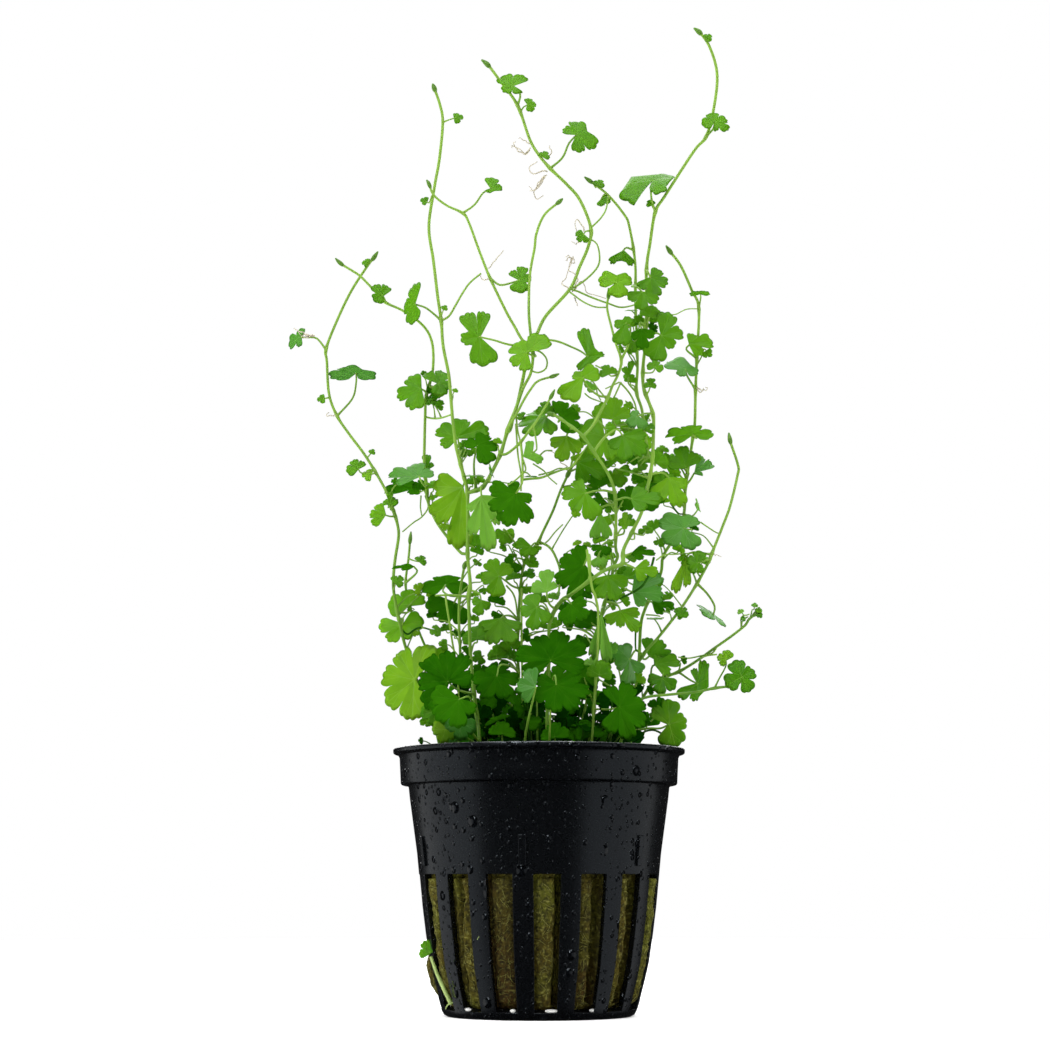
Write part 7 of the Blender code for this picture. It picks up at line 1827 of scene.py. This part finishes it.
@dataclass
class WoolPlug:
    """Block of mineral wool in the pot, which swells a little into the slots.

    Attributes:
        body: The body that carries it.
        pot: The pot that holds it.
        top: Height of its top face.
        foot: Height of its foot.
        gap: Space between the wool and the wall.
        tufts: White crumbs as (across, up, half their length).
        columns: Points round the plug.
        bulge: How far it swells into every slot.
        swells: How much further it swells into each slot.
        strands: Number of loose fibres.
        folds: For each slot the crease's place at the top and the foot, its width and its depth.
        stains: For each slot the brownness at the foot and the top, and the darkness, which is painted shade.
        lump: The lump beside the seedling as (half its angle, height, half its height, how far out).
        finish: Finish of the wool.
        strand_finish: Finish of the loose fibres.
        tuft_finish: Finish of the white crumbs.
        rng: Source of chance.
    """

    body: str = "root"
    pot: NetPot = field(default_factory=NetPot)
    top: float = 45.5
    foot: float = 1.9
    gap: float = 0.3
    tufts: tuple[Spot, ...] = ((-13.2, 1.75, 0.9), (-4.7, 1.75, 0.5), (2.2, 1.75, 1.1), (9.9, 1.75, 0.9))
    columns: int = 480
    bulge: float = 0.6
    swells: tuple[float, ...] = (0.0, 0.8, 0.3, 0.0, 0.2, 0.0, 0.1, 1.0)
    strands: int = 900
    folds: tuple[tuple[float, float, float, float], ...] = (
        (0.8, 0.8, 0.2, 0.5), (0.95, 0.7, 0.25, 0.6), (0.0, -0.9, 0.28, 2.2), (-0.95, -0.95, 0.15, 1.0),
        (0.95, 0.85, 0.3, 2.4), (0.75, 0.7, 0.5, 2.6), (0.8, 0.75, 0.55, 2.6), (0.2, -0.4, 0.15, 0.0))
    # Third number of each row: painted shade where a slot lies in shade.
    stains: tuple[tuple[float, float, float], ...] = (
        (0.2, 0.2, 0.0), (0.3, 0.0, 0.0), (0.0, 0.1, 0.0), (1.0, 0.4, 0.35), (0.3, 0.0, 0.05),
        (0.5, 0.1, 0.3), (0.1, 0.2, 0.1), (0.0, 0.0, 0.0))
    lump: tuple[float, float, float, float] = (0.085, 7.6, 3.6, 1.7)
    finish: WoolFinish = field(default_factory=WoolFinish)
    strand_finish: StemFinish = StemFinish(colour(124, 122, 58), colour(66, 58, 20), colour(120, 118, 60))
    tuft_finish: StemFinish = StemFinish(colour(246, 246, 242), colour(235, 235, 228), colour(240, 240, 235))
    rng: np.random.Generator = field(default_factory=lambda: np.random.default_rng(SEED + 1))

    def wall(self, height: float) -> float:
        """Inner radius of the pot at a height."""
        heights = [pair[1][1] for pair in self.pot.rows]
        return float(np.interp(height, heights, [pair[1][0] for pair in self.pot.rows]))

    def radius(self, turn: float, height: float) -> float:
        """Radius of the wool at an angle and a height.

        Args:
            turn: Angle round the pot from the viewer's side.
            height: Height above the base.

        Returns:
            The radius, with the swelling in the slots and the lumps.
        """
        inside = self.wall(height) - self.gap
        spot = Vector((math.sin(turn) * inside, -math.cos(turn) * inside, height))
        rough = noise.fractal(spot * 0.35, 1.0, 2.1, 4) * 0.34 + noise.noise(spot * 1.7) * 0.1
        start, period = self.pot.start, self.pot.period
        off = (turn - start + period / 2) % period - period / 2
        half = self.pot.slot_angle(inside, height)
        into = max(0.0, 1.0 - (off / (half * 0.92)) ** 2) if height < self.pot.slot_top - 0.6 else 0.0
        slot = round((turn - off) / period - start / period) % len(self.folds)
        high, low, wide, deep = self.folds[slot]
        fold = low + (high - low) * height / self.pot.slot_top + 0.25 * noise.noise(spot * 0.3)
        crease = deep * math.exp(-(((off / half - fold) / wide) ** 4)) if height > 3.0 else 0.0
        swell = into * (self.bulge + self.swells[slot] + 0.5 * noise.noise(spot * 0.22)) - crease
        wide, middle, tall, out = self.lump
        off_lump = (turn - start + math.pi) % math.tau - math.pi
        lump = math.exp(-((off_lump / wide) ** 4)) * math.exp(-(((height - middle) / tall) ** 4))
        return inside + min(rough, 0.1) * (1.0 - into) + rough * into + swell + lump * out

    def stain(self, turns: np.ndarray, height: float) -> np.ndarray:
        """Work out the brownness and the painted shade of the wool at a height.

        Args:
            turns: Angles round the plug.
            height: Height above the base.

        Returns:
            A row of brownness and a row of darkness, which is painted shade.
        """
        number = (turns - self.pot.start) * self.pot.slots / math.tau
        low, high, dark = np.array(self.stains)[np.round(number).astype(int) % len(self.stains)].T
        return np.vstack((low + (high - low) * min(height / self.pot.slot_top, 1.0), dark))

    def make(self) -> bpy.types.Object:
        """Build the plug, which stands for its node.

        Returns:
            The piece.
        """
        heights = np.concatenate((np.linspace(self.foot, self.pot.slot_top, 88),
                                  np.linspace(28.0, self.top - 0.8, 12)))
        turns = np.arange(self.columns) * math.tau / self.columns
        rings = []
        for height in heights:
            soft = 1.1 * max(0.0, 1.0 - (height - self.foot) / 1.4)
            radii = np.array([self.radius(turn, height) - soft for turn in turns])
            rings.append(around(radii, turns, height))
        for share in (0.93, 0.82, 0.66, 0.48, 0.3, 0.14):
            flat = rings[len(heights) - 1] * (share, share, 0.0)
            lift = np.array([0.9 * noise.fractal(Vector(point) * 0.3, 1.0, 2.0, 3) for point in flat])
            flat[:, 2] = self.top - 0.15 + lift * 0.8
            rings.append(flat)
        sketch = Sketch()
        ends = np.array(((0.0, 0.0, self.foot), (0.0, 0.0, self.top)))
        last = (len(rings) - 1) * self.columns
        faces = fan(last + self.columns, 0, self.columns) + fan(last + self.columns + 1, last, self.columns)
        for low in range(0, last, self.columns):
            faces += band(low, low + self.columns, self.columns)
        rest = np.zeros((2, self.columns * (len(rings) - len(heights)) + len(ends)))
        stain, shade = np.hstack([self.stain(turns, height) for height in heights] + [rest])
        sketch.add(np.vstack(rings + [ends]), faces, stain=stain, shade=shade)
        piece = sketch.build("wool_plug", [self.finish.material("damp_wool")], self.body, "wool")
        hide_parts("rockwool_plug")
        self.make_strands()
        self.make_tufts()
        return piece

    def make_tufts(self) -> bpy.types.Object:
        """Clean white crumbs of wool that show at the feet of the slots.

        Returns:
            The piece.
        """
        sketch = Sketch()
        for across, up, half in self.tufts:
            radius = self.wall(up) + 0.7
            steps = np.linspace(-half, half, 7)
            path = np.column_stack((across + steps, -np.sqrt(radius ** 2 - (across + steps) ** 2),
                                    np.full(7, up)))
            sketch.tube(path, 0.33 * (1.0 - (steps / half) ** 4 * 0.6), 8, tone=1.0)
        return sketch.build("wool_tufts", [self.tuft_finish.material("clean_wool")], self.body, "wool")

    def make_strands(self) -> bpy.types.Object:
        """Loose fibres that lie on the wool in the slots and at the top.

        Returns:
            The piece.
        """
        sketch = Sketch()
        for number in range(self.strands):
            if number % 4:
                slot = self.rng.integers(0, self.pot.slots)
                height = self.rng.uniform(2.5, self.pot.slot_top - 1.5)
                off = self.rng.uniform(-0.7, 0.7) * self.pot.slot_angle(20.0, height)
                turn = self.pot.start + slot * self.pot.period + off
                heading = self.rng.uniform(0.0, math.tau)
                length = self.rng.uniform(0.8, 2.6)
                path = []
                for step in np.linspace(0.0, 1.0, 5):
                    heading += self.rng.normal(0.0, 0.35)
                    radius = self.radius(turn, height) + 0.05 + 0.1 * math.sin(step * math.pi)
                    path.append((radius * math.sin(turn), -radius * math.cos(turn), height))
                    height = min(max(height + math.sin(heading) * length / 4, 2.0), self.pot.slot_top - 0.8)
                    turn += math.cos(heading) * length / 4 / radius
            else:
                radius, turn = 22.0 * math.sqrt(self.rng.uniform()), self.rng.uniform(0.0, math.tau)
                start = np.array((radius * math.sin(turn), -radius * math.cos(turn), self.top - 0.2))
                path = [start]
                for _ in range(4):
                    path.append(path[-1] + self.rng.normal(0.0, 0.8, 3) * (1.0, 1.0, 0.35))
            thin = self.rng.uniform(0.03, 0.06)
            sketch.tube(np.array(path), thin, 3, tone=self.rng.uniform(-1.0, 1.0))
        return sketch.build("wool_strands", [self.strand_finish.material("wool_strand")], self.body, "wool")


@dataclass(frozen=True)
class Softbox:
    """A large soft light that the camera doesn't see.

    Attributes:
        name: Name of the light.
        spot: Where it stands, in metres.
        size: Its width and height in metres.
        power: Its power in watts.
        aim: The point that it faces, in metres.
        lights: Whether it lights matte surfaces.
        shines: Whether it is mirrored in glossy ones.
    """

    name: str
    spot: Spot
    size: tuple[float, float]
    power: float
    aim: Spot = (0.0, 0.0, 0.09)
    lights: bool = True
    shines: bool = True

    def add(self) -> None:
        """Put the light in the scene."""
        data = bpy.data.lights.new(self.name, "AREA")
        data.shape = "RECTANGLE"
        data.size, data.size_y = self.size
        data.energy = self.power
        light = bpy.data.objects.new(self.name, data)
        light.location = self.spot
        light.rotation_euler = (Vector(self.aim) - Vector(self.spot)).to_track_quat("-Z", "Y").to_euler()
        light.visible_camera = False
        light.visible_diffuse = self.lights
        light.visible_transmission = self.lights
        light.visible_glossy = self.shines
        bpy.context.scene.collection.objects.link(light)


@dataclass
class Studio:
    """Pale sweep, soft lights and the camera at the picture's standpoint.

    Attributes:
        lens: Focal length in millimetres.
        sensor: Width of the sensor in millimetres.
        floor_radius: Radius of the floor in metres.
        rim_radius: Radius of the backdrop in metres.
        wall_height: Height of the backdrop in metres.
        floor_glow: Light that the floor gives off.
        sky: Brightness of the dim surroundings.
        lights: The soft lights. The panels and the glint are only for the gloss of the pot.
    """

    lens: float = 83.217
    sensor: float = 36.0
    floor_radius: float = 0.65
    rim_radius: float = 1.5
    wall_height: float = 1.8
    floor_glow: float = 0.35
    sky: float = 0.015
    lights: tuple[Softbox, ...] = (
        Softbox("left_light", (-0.62, -0.05, 0.28), (0.75, 0.8), 6.0, shines=False),
        Softbox("right_light", (0.62, -0.12, 0.26), (0.95, 0.7), 4.0, shines=False),
        Softbox("left_panel", (-0.7, 0.06, -0.15), (1.1, 0.7), 1.3, (0.0, 0.0, -0.15), lights=False),
        Softbox("right_panel", (0.69, -0.1, -0.15), (1.25, 0.7), 1.15, (0.0, 0.0, -0.15), lights=False),
        Softbox("front_glint", (-0.3, -0.75, 0.6), (0.2, 0.2), 6.0, lights=False),
        Softbox("top_light", (0.0, -0.15, 0.85), (0.8, 0.8), 9.0),
        Softbox("back_light", (0.0, 0.75, 0.6), (1.0, 0.7), 9.0))

    def add_camera(self) -> None:
        """Camera level with the middle of the pot, as in the picture."""
        data = bpy.data.cameras.new("camera")
        data.lens = self.lens
        data.sensor_width = self.sensor
        data.clip_start = 0.01
        camera = bpy.data.objects.new("camera", data)
        camera.location = Vector(EYE) * MM
        way = Vector(AIM) * MM - camera.location
        camera.rotation_euler = way.to_track_quat("-Z", "Y").to_euler()
        bpy.context.scene.collection.objects.link(camera)
        bpy.context.scene.camera = camera

    def floor_white(self) -> bpy.types.Material:
        """Matte white that also gives off a little light.

        Returns:
            The material.
        """
        shader = Shader("floor_white")
        return shader.finish(shader.node("ShaderNodeBsdfPrincipled", None, {
            "Base Color": (0.86, 0.86, 0.86, 1.0), "Roughness": 0.9, "Specular IOR Level": 0.0,
            "Emission Color": (1.0, 1.0, 1.0, 1.0), "Emission Strength": self.floor_glow}))

    def wall_white(self) -> bpy.types.Material:
        """Evenly lit white backdrop.

        Returns:
            The material.
        """
        shader = Shader("wall_white")
        return shader.finish(shader.node("ShaderNodeEmission", None, {
            "Color": (1.0, 1.0, 1.0, 1.0), "Strength": 1.0}))

    def add_sweep(self) -> None:
        """Round white floor with a white backdrop all round it."""
        sides, rim = 96, self.rim_radius
        turns = np.arange(sides) * math.tau / sides
        ring = np.column_stack((np.cos(turns), np.sin(turns), np.zeros(sides))) * rim
        low, wide, high = ring * (self.floor_radius / rim), ring, ring + (0.0, 0.0, self.wall_height)
        bands = band(0, sides, sides) + band(sides, 2 * sides, sides)
        parts = {"floor": (low, [tuple(range(sides))], self.floor_white()),
                 "backdrop": (np.vstack((low, wide, high)), bands, self.wall_white())}
        for name, (points, faces, material) in parts.items():
            mesh = bpy.data.meshes.new(name)
            mesh.from_pydata(points.tolist(), [], faces)
            mesh.materials.append(material)
            piece = bpy.data.objects.new(name, mesh)
            piece.visible_glossy = False
            piece.visible_shadow = False
            piece.visible_diffuse = name == "floor"
            piece.visible_transmission = name == "floor"
            bpy.context.scene.collection.objects.link(piece)

    def make(self) -> None:
        """Set up the camera, the sweep, the lights and the dim surroundings."""
        self.add_camera()
        self.add_sweep()
        for light in self.lights:
            light.add()
        world = bpy.data.worlds.new("surroundings")
        world.use_nodes = True
        sky = world.node_tree.nodes["Background"]
        sky.inputs["Color"].default_value = (1.0, 1.0, 1.0, 1.0)
        sky.inputs["Strength"].default_value = self.sky
        bpy.context.scene.world = world
        bpy.context.scene.view_settings.view_transform = "Standard"
        log.info("studio set up")


def main() -> None:
    """Build the pieces in order and log their names."""
    logging.basicConfig(level=logging.INFO, format="%(message)s")
    Studio().make()
    log.info("pot %s", NetPot().make().name)
    log.info("wool %s", WoolPlug().make().name)
    Plant().make()


if __name__ == "__main__":
    main()
